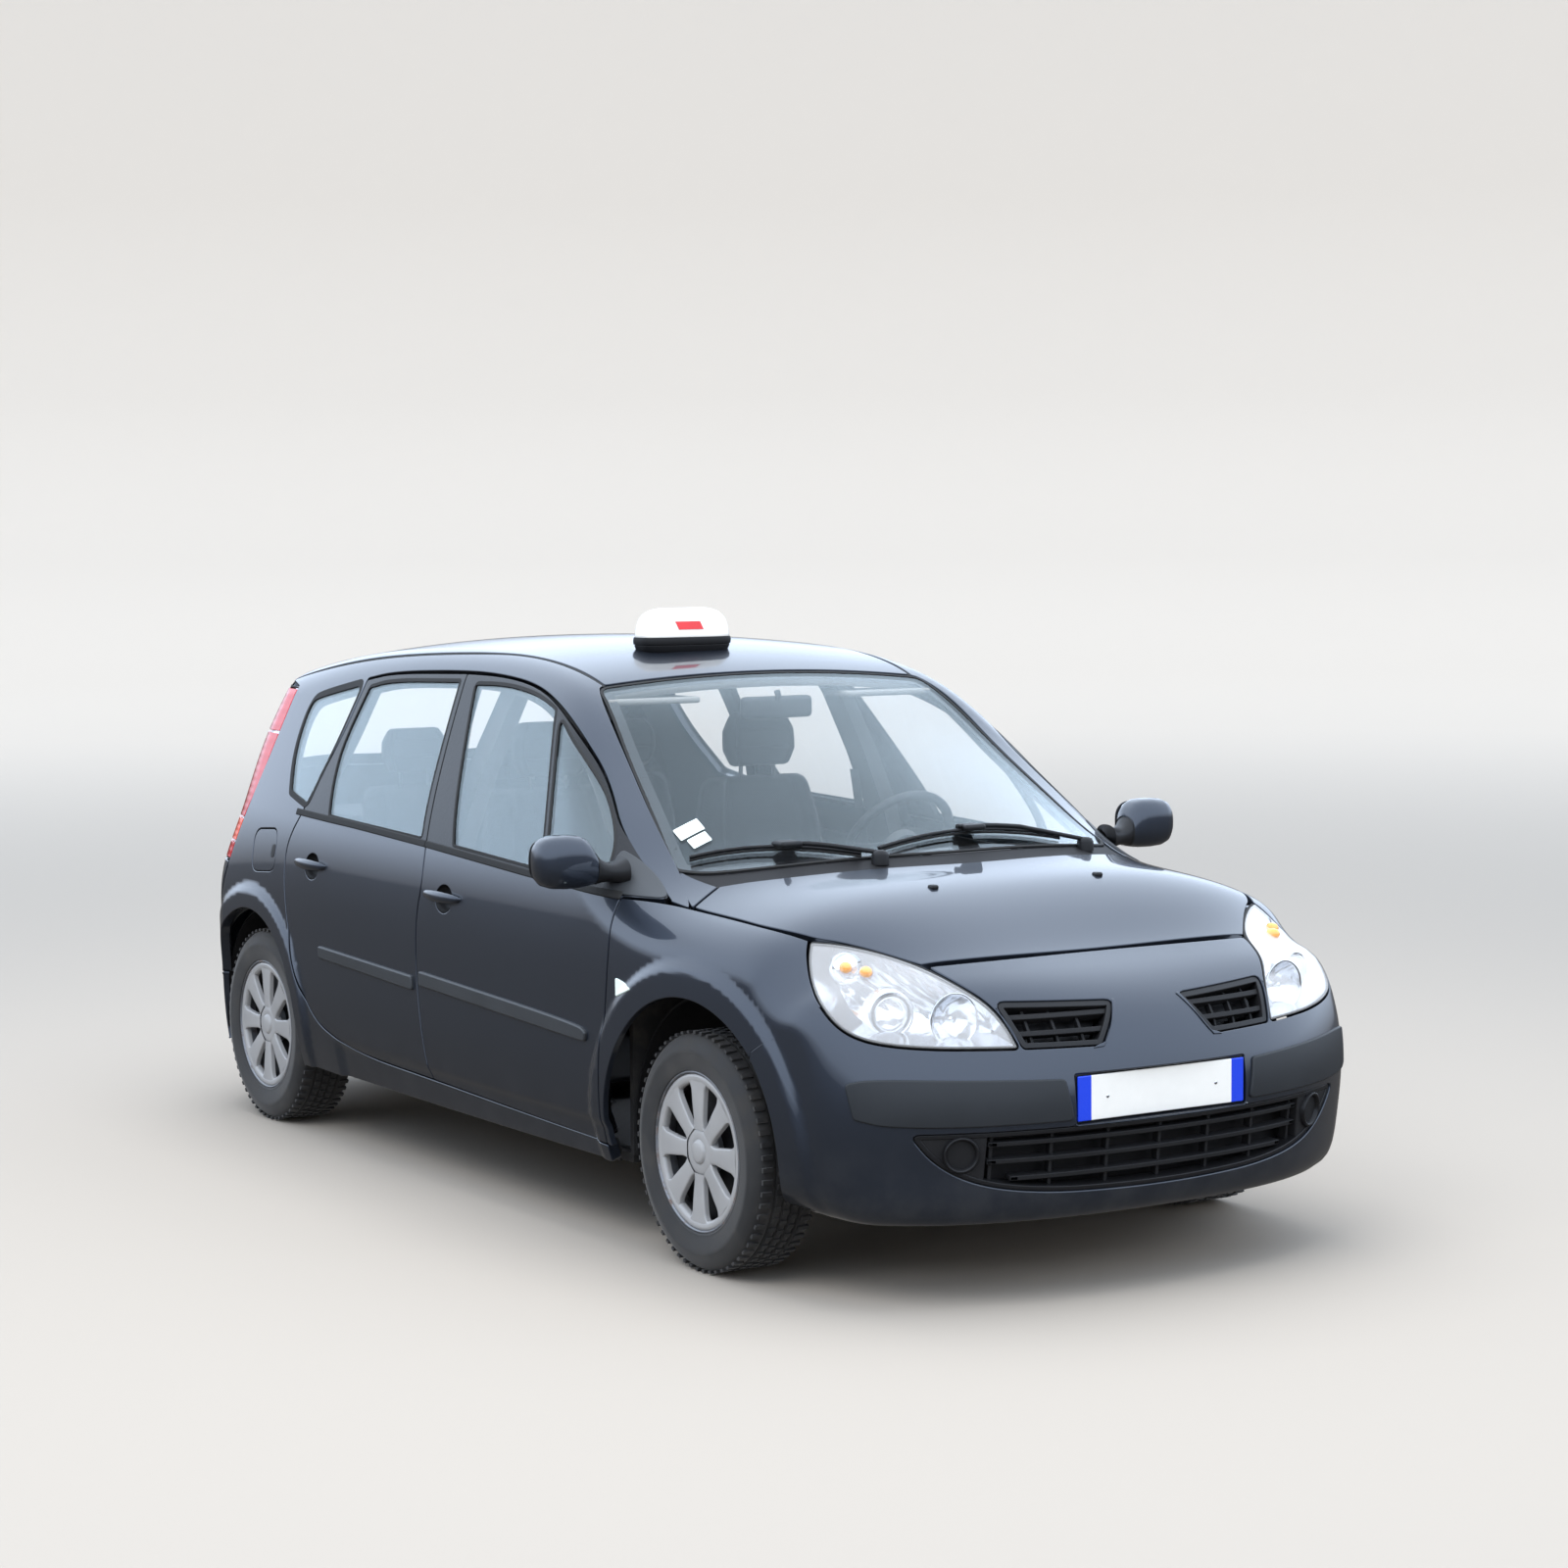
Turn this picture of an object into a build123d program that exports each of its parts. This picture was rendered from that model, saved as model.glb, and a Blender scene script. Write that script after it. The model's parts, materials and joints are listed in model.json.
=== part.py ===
"""Five-door compact people carrier fitted out as a taxi, built as separate body, running and cabin parts.

Frame: +X towards the nose, +Y to the car's left, +Z up, millimetres. The origin is on the ground under
the middle of the car. The body skin is the overlap of two lofts: side silhouettes stacked across the
width, and plan outlines stacked up the height. Panels are cut from shells between that skin and the
same skin set inwards, so every panel keeps the true outer form.
"""
from build123d import *
import math
import os

# ---------------------------------------------------------------- driving dimensions (mm)
AXLE_FRONT_X = 1281.5
AXLE_REAR_X = -1403.5
AXLE_Z = 310.0
TYRE_RADIUS = 310.0
TYRE_WIDTH = 195.0
RIM_RADIUS = 203.0
WHEEL_PLANE_Y = 757.0          # middle of each tyre from the car's centre
GAP = 6.0                      # shut line between panels
DOOR_GAP = 8.0                 # shut line round the doors
DOOR_STEP = 26.0               # how far a door's inner box stands back from the edge of its outer skin
DOOR_DEPTH = 60.0              # thickness of doors and side frames
SKIN_DEPTH = 35.0              # thickness of bonnet, roof, wings, bumpers and tailgate
GLASS_SKIN = 2.0               # glass sits this far under the skin
GLASS_DEPTH = 8.0
ARCH_FRONT = (1290.0, 312.0, 392.0)     # wheel arch: centre x, centre z, radius
ARCH_REAR = (-1430.0, 312.0, 372.0)
SPOKES = 8
STEER_BALL = (1281.5, 672.0, 205.0)     # lower ball joint, on the steering axis
STEER_TOP = (1281.5, 590.0, 720.0)      # strut top, on the steering axis
STEERING_WHEEL = (420.0, 370.0, 960.0)  # centre of the steering wheel
COLUMN_TILT = 32.0                      # steering column above level, degrees
SIGN_CENTRE = (-10.0, -100.0)  # roof sign, x and y
PLATE_SIZE = (520.0, 110.0)    # number plates, with their middles at the next two heights
PLATE_FRONT_Z = 502.0
PLATE_REAR_Z = 720.0
PLATE_FRONT_X = 2094.0         # floor of the front plate's recess
PLATE_REAR_X = -2094.0
PLATE_DEPTH = 6.0
SILL_Z = 218.0                 # level underside of the sills, where a jack stands
TOW_EYE = (1990.0, -365.0, 388.0, 9.0)  # mouth of the towing-eye bore: x, y, z, radius

# Side silhouette at the middle of the car, from under the front bumper over the roof to under the rear
# one: x, z, then how far the point moves in x and in z at 400 mm and at 800 mm from the middle.
SILHOUETTE = [
    # x, z, dx400, dz400, dx800, dz800
    (1950, 188, -40, 0, -230, 30),
    (2075, 215, -40, 0, -240, 20),
    (2108, 330, -42, 0, -240, 5),
    (2120, 500, -42, 0, -240, 0),
    (2100, 612, -48, 0, -240, 0),
    (2058, 700, -50, 0, -240, 0),
    (1975, 765, -30, 0, -210, -20),
    (1828, 823, -10, 0, -130, -60),
    (1690, 892, 0, -2, -60, -85),
    (1504, 965, 0, -5, 0, -95),
    (1280, 1000, -40, -8, -180, -90),
    (990, 1128, -70, -10, -260, -60),
    (640, 1305, -50, -12, -150, -50),
    (286, 1471, -10, -14, -20, -55),
    (50, 1528, 0, -16, 0, -62),
    (-310, 1560, 0, -18, 0, -68),
    (-810, 1558, 0, -20, 0, -75),
    (-1310, 1525, 0, -22, 0, -80),
    (-1710, 1470, 0, -24, 0, -85),
    (-1860, 1430, 20, -20, 130, -70),
    (-1970, 1250, 25, 0, 190, 0),
    (-2066, 1000, 35, 0, 240, 0),
    (-2102, 800, 40, 0, 250, 0),
    (-2121.5, 560, 40, 0, 250, 0),
    (-2111.5, 350, 40, 0, 250, 0),
]
# Plan outline at each height: z, half width at the nose, along the doors and at the tail.
PLAN = [
    (150, 690, 838, 780), (300, 728, 876, 835), (600, 750, 890, 845), (800, 740, 884, 830),
    (950, 715, 862, 790), (1000, 700, 848, 775), (1200, 640, 765, 720), (1450, 560, 640, 600),
    (1600, 500, 560, 520),
]
PLAN_FRONT_X = 2190.0          # where the nose half width is stated
PLAN_REAR_X = -2210.0
PLAN_BEND_FRONT_X = 890.0      # the sides bend in from here forwards
PLAN_BEND_REAR_X = -710.0
LOFT_Y = (-920, -460, 0, 460, 920)
FAR = 1200.0

# Outlines in side view (x, z).
FRONT_DOOR = [(-148, 301), (871, 276), (883, 500), (900, 659), (914, 840), (903, 927), (1058, 927),
              (786, 1051), (594, 1206), (437, 1310), (259, 1393), (82, 1441), (-133, 1461), (-357, 1465),
              (-290, 1263), (-199, 998), (-186, 861), (-208, 788), (-211, 645), (-183, 477)]
REAR_DOOR = [(-780, 349), (-612, 317), (-154, 302), (-189, 477), (-217, 645), (-214, 788), (-192, 861),
             (-207, 998), (-299, 1263), (-367, 1466), (-838, 1449), (-1008, 1423), (-1011, 1225),
             (-1092, 1017), (-1142, 947), (-1164, 884), (-1150, 778), (-1112, 643), (-1037, 496),
             (-925, 387)]
FRONT_GLASS = [(-39, 999), (-285, 1440), (-94, 1444), (101, 1426), (245, 1390), (262, 1380), (470, 1066),
               (490, 985)]
QUARTER_PANE = [(512, 985), (492, 1066), (292, 1370), (546, 1231), (693, 1125), (790, 1030), (800, 975)]
REAR_GLASS = [(-240, 1004), (-384, 1442), (-830, 1430), (-972, 1407), (-990, 1225), (-952, 1119),
              (-900, 1022)]
REAR_QUARTER = [(-1100, 1035), (-1251, 1068), (-1347, 1191), (-1382, 1302), (-1372, 1346), (-1345, 1364),
                (-1020, 1420), (-1025, 1225)]
SIDE_FRAME = [(871, SILL_Z), (-1030, SILL_Z), (-1790, 430), (-1735, 640), (-1655, 830), (-1552, 1080),
              (-1565, 1385), (-1700, 1520), (-400, 1640), (300, 1560), (1150, 1010), (1150, 925),
              (871, 925)]
FRONT_WING = [(877, 270), (889, 500), (906, 659), (920, 840), (912, 920), (1160, 920), (1166, 940),
              (1640, 940), (1779, 780), (1779, 739), (1730, 686), (1580, 607), (1500, 565), (1200, 270)]
FRONT_BUMPER = [(1420, 186), (2300, 186), (2300, 840), (1786, 840), (1786, 735), (1735, 680), (1585, 600),
                (1505, 558), (1420, 400)]
REAR_BUMPER = [(-2300, 186), (-1796, 186), (-1796, 430), (-1741, 636), (-1661, 816), (-2300, 816)]
TAIL_LAMP_SIDE = [(-1562, 1384), (-1547, 1080), (-1650, 826), (-2300, 826), (-2300, 1384)]
FRONT_STRIP = [(-186, 575), (-186, 617), (760, 580), (808, 560), (800, 537), (760, 535)]
REAR_STRIP = [(-873, 583), (-878, 620), (-231, 598), (-226, 556)]
# Outlines from the front (y, z), right-hand side.
HEADLAMP = [(-709, 872), (-745, 829), (-772, 778), (-796, 738), (-789, 696), (-759, 667), (-704, 648),
            (-604, 637), (-494, 632), (-394, 628), (-410, 682), (-435, 738), (-477, 782), (-513, 816),
            (-579, 846), (-650, 866)]
UPPER_GRILLE = [(-420, 740), (-92, 726), (-172, 622), (-388, 628)]
LOWER_GRILLE = [(0, 436), (-672, 436), (-612, 361), (-508, 305), (-337, 278), (-126, 271), (0, 270)]
FOG_CAP = (-547.0, 385.0)
BUMPER_STRIP = [(-790, 556), (-760, 580), (-300, 556), (-272, 452), (-698, 452), (-760, 470)]
TAIL_LAMP = [(-602, 1388), (-760, 1388), (-1000, 1100), (-1000, 820), (-672, 820), (-640, 1080)]
TAILGATE = [(0, 1520), (-590, 1520), (-598, 1390), (-634, 1080), (-664, 820), (-700, 640), (0, 640)]
REAR_WINDOW = [(0, 1420), (-520, 1400), (-575, 1080), (0, 1070)]
# Outlines in plan (x, y), right-hand side.
WINDSCREEN = [(286, 0), (283, -544), (540, -606), (743, -649), (960, -702), (1050, -640), (1135, -480),
              (1185, -272), (1212, 0)]
COWL = [(1218, 0), (1191, -272), (1141, -484), (1056, -644), (1000, -680), (1104, -680), (1124, -650),
        (1222, -488), (1268, -272), (1296, 0)]
BONNET = [(1302, 0), (1274, -272), (1228, -488), (1130, -650), (1168, -766), (1320, -754), (1497, -749),
          (1598, -706), (1650, -652), (1722, -579), (1800, -513), (1822, -345), (1831, 0)]
ROOF_SEAM_Y = 560.0
ROOF_FRONT_X = 280.0
ROOF_REAR_X = -1706.0


# ---------------------------------------------------------------- shape helpers
def face(points):
    """Flat face through the given corners."""
    return Face(Wire.make_polygon([Vector(*p) for p in points], close=True))


def along_x(outline, low, high):
    """Prism of a (y, z) outline between two x values."""
    return Solid.extrude(face([(low, y, z) for y, z in outline]), Vector(high - low, 0, 0))


def along_y(outline, low, high):
    """Prism of an (x, z) outline between two y values."""
    return Solid.extrude(face([(x, low, z) for x, z in outline]), Vector(0, high - low, 0))


def along_z(outline, low, high):
    """Prism of an (x, y) outline between two z values."""
    return Solid.extrude(face([(x, y, low) for x, y in outline]), Vector(0, 0, high - low))


def block(x0, x1, y0, y1, z0, z1):
    """Box between two corners."""
    return Pos((x0 + x1) / 2, (y0 + y1) / 2, (z0 + z1) / 2) * Box(x1 - x0, y1 - y0, z1 - z0)


def rod(start, end, radius):
    """Round bar from start to end."""
    start, end = Vector(*start), Vector(*end)
    return Solid.make_cylinder(radius, (end - start).length, Plane(origin=start, z_dir=end - start))


def disc_y(x, y0, y1, z, radius):
    """Disc across the car between two y values."""
    return rod((x, y0, z), (x, y1, z), radius)


def grow(outline, distance):
    """Outline moved outwards by a distance (inwards if negative), corners kept sharp."""
    area = sum(a[0] * b[1] - b[0] * a[1] for a, b in zip(outline, outline[1:] + outline[:1]))
    sign = 1.0 if area > 0 else -1.0
    count = len(outline)
    moved = []
    for i in range(count):
        before, here, after = outline[i - 1], outline[i], outline[(i + 1) % count]
        normals = []
        for a, b in ((before, here), (here, after)):
            dx, dy = b[0] - a[0], b[1] - a[1]
            length = math.hypot(dx, dy)
            normals.append((dy / length * sign, -dx / length * sign))
        nx, ny = normals[0][0] + normals[1][0], normals[0][1] + normals[1][1]
        scale = 2.0 / max(nx * nx + ny * ny, 0.8)
        moved.append((here[0] + nx * scale * distance, here[1] + ny * scale * distance))
    return moved


def whole_front(outline):
    """(y, z) outline of the right half, which starts and ends at y = 0, closed with its mirror image."""
    return outline + [(-y, z) for y, z in reversed(outline) if y < 0]


def whole_plan(outline):
    """(x, y) outline of the right half, which starts and ends at y = 0, closed with its mirror image."""
    return outline + [(x, -y) for x, y in reversed(outline) if y < 0]


def group(*shapes):
    """All solids of the given shapes as one compound, or the solid itself if there is only one."""
    solids = [solid for shape in shapes for solid in shape.solids()]
    return solids[0] if len(solids) == 1 else Compound(solids)


def one(shape):
    """Whatever a boolean gave, as a single shape."""
    return group(*shape) if isinstance(shape, (list, ShapeList)) else group(shape)


def other_side(shape):
    """The same piece on the car's left."""
    return group(mirror(shape, Plane.XZ))


# ---------------------------------------------------------------- body skin
def even_shift(y, at400, at800):
    """Even curve in y that is 0 in the middle and takes the stated values at 400 and 800 mm."""
    u = (y / 400.0) ** 2
    quartic = (at800 - 4 * at400) / 12.0
    return (at400 - quartic) * u + quartic * u * u


def silhouette_wire(y, inset):
    """Closed side outline at one y, set inwards by inset."""
    points = [(x + even_shift(y, dx4, dx8), z + even_shift(y, dz4, dz8))
              for x, z, dx4, dz4, dx8, dz8 in SILHOUETTE]
    last = len(points) - 1
    moved = []
    for i, (x, z) in enumerate(points):
        before, after = points[max(i - 1, 0)], points[min(i + 1, last)]
        tx, tz = after[0] - before[0], after[1] - before[1]
        length = math.hypot(tx, tz)
        moved.append(Vector(x - tz / length * inset, y, z + tx / length * inset))
    edges = [ThreePointArc(moved[i], moved[i + 1], moved[i + 2]) for i in range(0, last - 1, 2)]
    first, end, low = moved[0], moved[-1], 150 + inset
    corner_rear, corner_front = Vector(end.X + 20, y, low), Vector(first.X - 20, y, low)
    edges += [Line(end, corner_rear), Line(corner_rear, corner_front), Line(corner_front, first)]
    return Wire([edge for curve in edges for edge in curve.edges()])


def plan_wire(z, front, middle, rear, inset):
    """Closed plan outline at one height, set inwards by inset."""
    front, middle, rear = front - inset, middle - inset, rear - inset
    reach_front, reach_rear = PLAN_FRONT_X + 60, PLAN_REAR_X - 60
    mid_front = (PLAN_FRONT_X + PLAN_BEND_FRONT_X) / 2
    mid_rear = (PLAN_REAR_X + PLAN_BEND_REAR_X) / 2
    edges = []
    for s in (1, -1):
        nose = ThreePointArc((PLAN_BEND_FRONT_X, s * middle, z),
                             (mid_front, s * (middle - (middle - front) * 0.25), z),
                             (reach_front, s * (front - (middle - front) * 0.1), z))
        flank = Line((PLAN_BEND_REAR_X, s * middle, z), (PLAN_BEND_FRONT_X, s * middle, z))
        tail = ThreePointArc((reach_rear, s * (rear - (middle - rear) * 0.1), z),
                             (mid_rear, s * (middle - (middle - rear) * 0.25), z),
                             (PLAN_BEND_REAR_X, s * middle, z))
        edges += [tail, flank, nose]
    for x, w in ((reach_front, front - (middle - front) * 0.1), (reach_rear, rear - (middle - rear) * 0.1)):
        edges.append(Line((x, w, z), (x, -w, z)))
    return Wire([edge for curve in edges for edge in curve.edges()])


def skin(inset):
    """Solid inside the body skin, set inwards by inset."""
    sides = Solid.make_loft([silhouette_wire(y, inset) for y in LOFT_Y], False)
    plans = Solid.make_loft([plan_wire(*row, inset) for row in PLAN], False)
    return sides & plans


# ---------------------------------------------------------------- running gear
def dish(profile, x, side):
    """Ring turned about a wheel's axle from an (r, outward distance from the wheel plane) profile."""
    y_mid = side * WHEEL_PLANE_Y
    ring = face([(x, y_mid + side * out, AXLE_Z + r) for r, out in profile])
    return Solid.revolve(ring, 360, Axis((x, y_mid, AXLE_Z), (0, 1, 0)))


def tyre(x, side):
    """Tyre with rounded shoulders and four grooves round the tread."""
    half = TYRE_WIDTH / 2
    profile = [(RIM_RADIUS - 13, -half + 22), (RIM_RADIUS + 12, -half + 8), (250, -half), (285, -half + 6),
               (302, -half + 20), (TYRE_RADIUS, -half + 36)]
    for groove in (-40, -14, 14, 40):
        profile += [(TYRE_RADIUS, groove - 4), (TYRE_RADIUS - 7, groove - 3), (TYRE_RADIUS - 7, groove + 3),
                    (TYRE_RADIUS, groove + 4)]
    profile += [(TYRE_RADIUS, half - 36), (302, half - 20), (285, half - 6), (250, half),
                (RIM_RADIUS + 12, half - 8), (RIM_RADIUS - 13, half - 22)]
    return dish(profile, x, side)


def wheel(x, side):
    """Steel rim with its eight-spoke cover and plain centre cap."""
    half = TYRE_WIDTH / 2
    seat = RIM_RADIUS - 13.5
    cover = dish([(0, 62), (0, 84), (56, 84), (70, 76), (150, 82), (RIM_RADIUS - 14, 86),
                  (RIM_RADIUS - 14, 66), (150, 66), (70, 58), (60, 58)], x, side)
    slot = [(-15, 98), (-32, 176), (32, 176), (15, 98)]
    y0, y1 = sorted((side * (WHEEL_PLANE_Y + 50), side * (WHEEL_PLANE_Y + 100)))
    cutter = along_y([(x + a, AXLE_Z + r) for a, r in slot], y0, y1)
    axle = Axis((x, 0, AXLE_Z), (0, 1, 0))
    for i in range(SPOKES):
        cover -= cutter.rotate(axle, 360.0 / SPOKES * (i + 0.5))
    rim = dish([(0, -28), (0, 62), (58, 62), (62, 40), (seat - 16, 4), (seat - 10, half - 24),
                (seat, half - 24), (seat, -half + 20), (seat - 8, -half + 20), (seat - 18, -6), (54, -28)],
               x, side)
    return cover, rim


def knuckle(side):
    """Steering knuckle with its hub, brake disc, strut, spring and track arm."""
    x = AXLE_FRONT_X
    ball_y, top_y = side * STEER_BALL[1], side * STEER_TOP[1]
    hub = disc_y(x, side * 640, side * 727, AXLE_Z, 42)
    brake = disc_y(x, side * 700, side * 716, AXLE_Z, 135)
    carrier = along_x([(side * 640, 240), (side * 672, 205), (side * 690, 240), (side * 690, 380),
                       (side * 640, 420), (side * 622, 380)], x - 34, x + 34)
    strut = rod((x, side * 641, 380), (x, top_y, STEER_TOP[2]), 18)
    spring = rod((x, side * 602, 645), (x, side * 593, 700), 46)
    arm = rod((x - 20, side * 650, 260), (x - 140, side * 628, 262), 13)
    ball = Pos(x, ball_y, STEER_BALL[2]) * Sphere(22)
    return hub + brake + carrier + strut + spring + arm + ball


def front_subframe():
    """Cross member with two lower arms and the steering rack."""
    x = AXLE_FRONT_X
    parts = block(x - 160, x + 60, -330, 330, 150, 178)
    for s in (-1, 1):
        parts += along_z([(x - 150, s * 300), (x + 50, s * 300), (x + 20, s * 640), (x - 20, s * 640)],
                         154, 172)
    rack = rod((x - 140, -420, 230), (x - 140, 420, 230), 26)
    return parts + rack + block(x - 155, x - 125, -60, 60, 170, 232)


def rear_axle():
    """Twist beam with trailing arms, coil springs and stub axles."""
    x = AXLE_REAR_X
    parts = rod((x + 230, -545, 262), (x + 230, 545, 262), 42)
    for s in (-1, 1):
        parts += rod((x + 400, s * 545, 262), (x + 180, s * 545, 262), 30)
        parts += rod((x + 200, s * 545, 262), (x, s * 590, AXLE_Z), 30)
        parts += rod((x, s * 570, AXLE_Z), (x, s * 727, AXLE_Z), 42)
        parts += disc_y(x, s * 700, s * 716, AXLE_Z, 120)
        parts += block(x - 60, x + 60, s * 545 - 45, s * 545 + 45, 262, 300)
    return parts


def arch_liners():
    """Four inner wheel-arch shells, front pair opened for the struts."""
    shells = []
    for (cx, cz, radius), y_in, y_out in ((ARCH_FRONT, 482, 800), (ARCH_REAR, 602, 808)):
        for s in (-1, 1):
            y0, y1 = sorted((s * y_in, s * y_out))
            ring = rod((cx, y0, cz), (cx, y1, cz), radius)
            hollow0, hollow1 = sorted((s * (y_in + 5), s * (y_out + 50)))
            ring -= rod((cx, hollow0, cz), (cx, hollow1, cz), radius - 6)
            ring -= block(cx - 500, cx + 500, -FAR, FAR, -200, cz - 60)
            if cx > 0:
                ring -= rod((AXLE_FRONT_X, s * 600, 600), (AXLE_FRONT_X, s * 590, 800), 78)
                ring -= block(AXLE_FRONT_X - 190, AXLE_FRONT_X + 90, s * 482 - 20, s * 482 + 20, 200, 420)
            else:
                ring -= block(cx - 300, AXLE_REAR_X + 110, s * 602 - 20, s * 602 + 20, 200, 420)
            shells.append(one(ring))
    return shells


# ---------------------------------------------------------------- cabin
def front_seat(y):
    """One front seat as a plain cushion, back and headrest on its plinth."""
    cushion = along_y([(-270, 430), (240, 455), (262, 520), (220, 552), (-270, 520)], y - 250, y + 250)
    back = along_y([(-270, 440), (-200, 540), (-330, 1120), (-420, 1120), (-400, 600)], y - 240, y + 240)
    head = along_y([(-360, 1145), (-300, 1150), (-310, 1300), (-345, 1320), (-385, 1300)], y - 130, y + 130)
    posts = rod((-350, y - 60, 1090), (-345, y - 60, 1170), 7) + rod((-350, y + 60, 1090), (-345, y + 60, 1170), 7)
    plinth = block(-220, 200, y - 200, y + 200, 237, 440)
    return cushion + back + head + posts + plinth


def rear_bench():
    """Rear bench as three joined plain seats."""
    parts = along_y([(-1130, 440), (-660, 470), (-640, 530), (-680, 560), (-1130, 520)], -590, 590)
    parts += along_y([(-1130, 440), (-1060, 540), (-1200, 1080), (-1290, 1080), (-1260, 600)], -590, 590)
    parts += block(-1080, -700, -560, 560, 386, 470)
    for y in (-390, 0, 390):
        parts += along_y([(-1235, 1110), (-1180, 1112), (-1190, 1250), (-1220, 1265), (-1255, 1250)],
                         y - 120, y + 120)
        parts += rod((-1225, y - 50, 1050), (-1218, y - 50, 1130), 7)
        parts += rod((-1225, y + 50, 1050), (-1218, y + 50, 1130), 7)
    return parts


def column_direction():
    """Unit vector up the steering column, from the rack towards the driver."""
    tilt = math.radians(COLUMN_TILT)
    return Vector(-math.cos(tilt), 0, math.sin(tilt))


def dashboard():
    """Dashboard with its hood, centre console and the fixed part of the steering column."""
    outline = [(1080, 925), (960, 950), (760, 945), (690, 890), (720, 790), (860, 715), (900, 690), (1080, 690)]
    parts = along_y(outline, -610, 610)
    hood = along_y([(900, 930), (790, 995), (700, 975), (700, 890), (900, 890)], 220, 520)
    console = block(560, 866, -150, 150, 560, 880)
    centre = Vector(*STEERING_WHEEL)
    start = centre - column_direction() * 55
    column = rod(tuple(start), tuple(centre - column_direction() * 330), 36)
    return parts + hood + console + column


def steering_wheel():
    """Rim, three spokes and hub, square to the column."""
    plane = Plane(origin=Vector(*STEERING_WHEEL), x_dir=Vector(0, 1, 0), z_dir=column_direction())
    parts = Torus(175, 15) + Pos(0, 0, -18) * Cylinder(62, 36)
    parts += Pos(0, 0, -8) * Box(340, 34, 12)
    parts += Pos(0, -85, -8) * Box(40, 168, 12)
    return plane.location * parts


# ---------------------------------------------------------------- outside fittings
def mirror_housing(outer):
    """Right door mirror: a rounded shell on a short arm."""
    shell = fillet(block(765, 890, -1052, -893, 948, 1092).edges(), 44)
    arm = along_x([(-835, 975), (-905, 965), (-905, 1030), (-800, 1010)], 810, 880)
    foot = along_x([(-780, 960), (-850, 945), (-850, 1005), (-790, 1022)], 800, 900)
    return one((shell + arm + foot) - outer)


def wiper(points):
    """Wiper arm and blade along a short chain of points over the glass."""
    parts = None
    for a, b in zip(points, points[1:]):
        piece = rod(a, b, 8)
        parts = piece if parts is None else parts + piece
    for p in points[1:-1]:
        parts += Pos(*p) * Sphere(8)
    return parts


def plate_recess(x_low, x_high, z_middle):
    """Room for a number plate with 6 mm all round."""
    half_w, half_h = PLATE_SIZE[0] / 2 + 6, PLATE_SIZE[1] / 2 + 6
    return block(x_low, x_high, -half_w, half_w, z_middle - half_h, z_middle + half_h)


def roof_sign(outer):
    """Black foot on the roof, and the lamp dome on it."""
    cx, cy = SIGN_CENTRE
    foot = block(cx - 66, cx + 66, cy - 152, cy + 152, 1490, 1568) - outer
    dome = fillet(block(cx - 58, cx + 58, cy - 142, cy + 142, 1560, 1656).edges().filter_by(Axis.Z), 40)
    dome = fillet(dome.faces().sort_by(Axis.Z)[-1].edges(), 30)
    return one(foot), dome - block(cx - 100, cx + 100, cy - 200, cy + 200, 1540, 1568)


# ---------------------------------------------------------------- under the body
def floor_pan():
    """Floor with its step up to the rear seats."""
    front = [(940, -470), (870, -470), (870, -790), (-520, -790), (-520, 790), (870, 790), (870, 470), (940, 470)]
    rear = [(-520, -790), (-1030, -790), (-1030, -596), (-1830, -596), (-1830, -640), (-1915, -640),
            (-1950, -540), (-1950, 540), (-1915, 640), (-1830, 640), (-1830, 596), (-1030, 596),
            (-1030, 790), (-520, 790)]
    riser = block(-545, -520, -790, 790, 212, 384)
    return along_z(front, 212, 236) + along_z(rear, 360, 384) + riser


def bulkhead():
    """Bulkhead with its shelf under the windscreen and the inner wing rails."""
    parts = block(872, 890, -800, 800, 236, 660) + block(872, 1180, -470, 470, 644, 660)
    parts += block(1162, 1180, -470, 470, 644, 730) + block(1162, 1180, -640, 640, 722, 890)
    for s in (-1, 1):
        near, far, rail = s * 636, s * 735, s * 690
        parts += block(1100, 1180, min(near, far), max(near, far), 730, 890)
        parts += block(1000, 1540, min(rail, far), max(rail, far), 730, 775)
    return parts


def exhaust():
    """Exhaust pipe under the floor with its rear silencer and tail pipe."""
    route = [(1345, 120, 302), (1080, 120, 302), (960, 120, 184), (-1120, 120, 184), (-1300, 300, 190),
             (-1560, 380, 250)]
    parts = chain_bar(route, 24)
    parts += block(-1920, -1540, 230, 560, 200, 318)
    return parts + rod((-1900, 420, 250), (-1995, 420, 235), 26)


def chain_bar(points, radius):
    """Round bar along a chain of points with ball corners."""
    parts = rod(points[0], points[1], radius)
    for a, b in zip(points[1:], points[2:]):
        parts += Pos(*a) * Sphere(radius)
        parts += rod(a, b, radius)
    return parts


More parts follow.
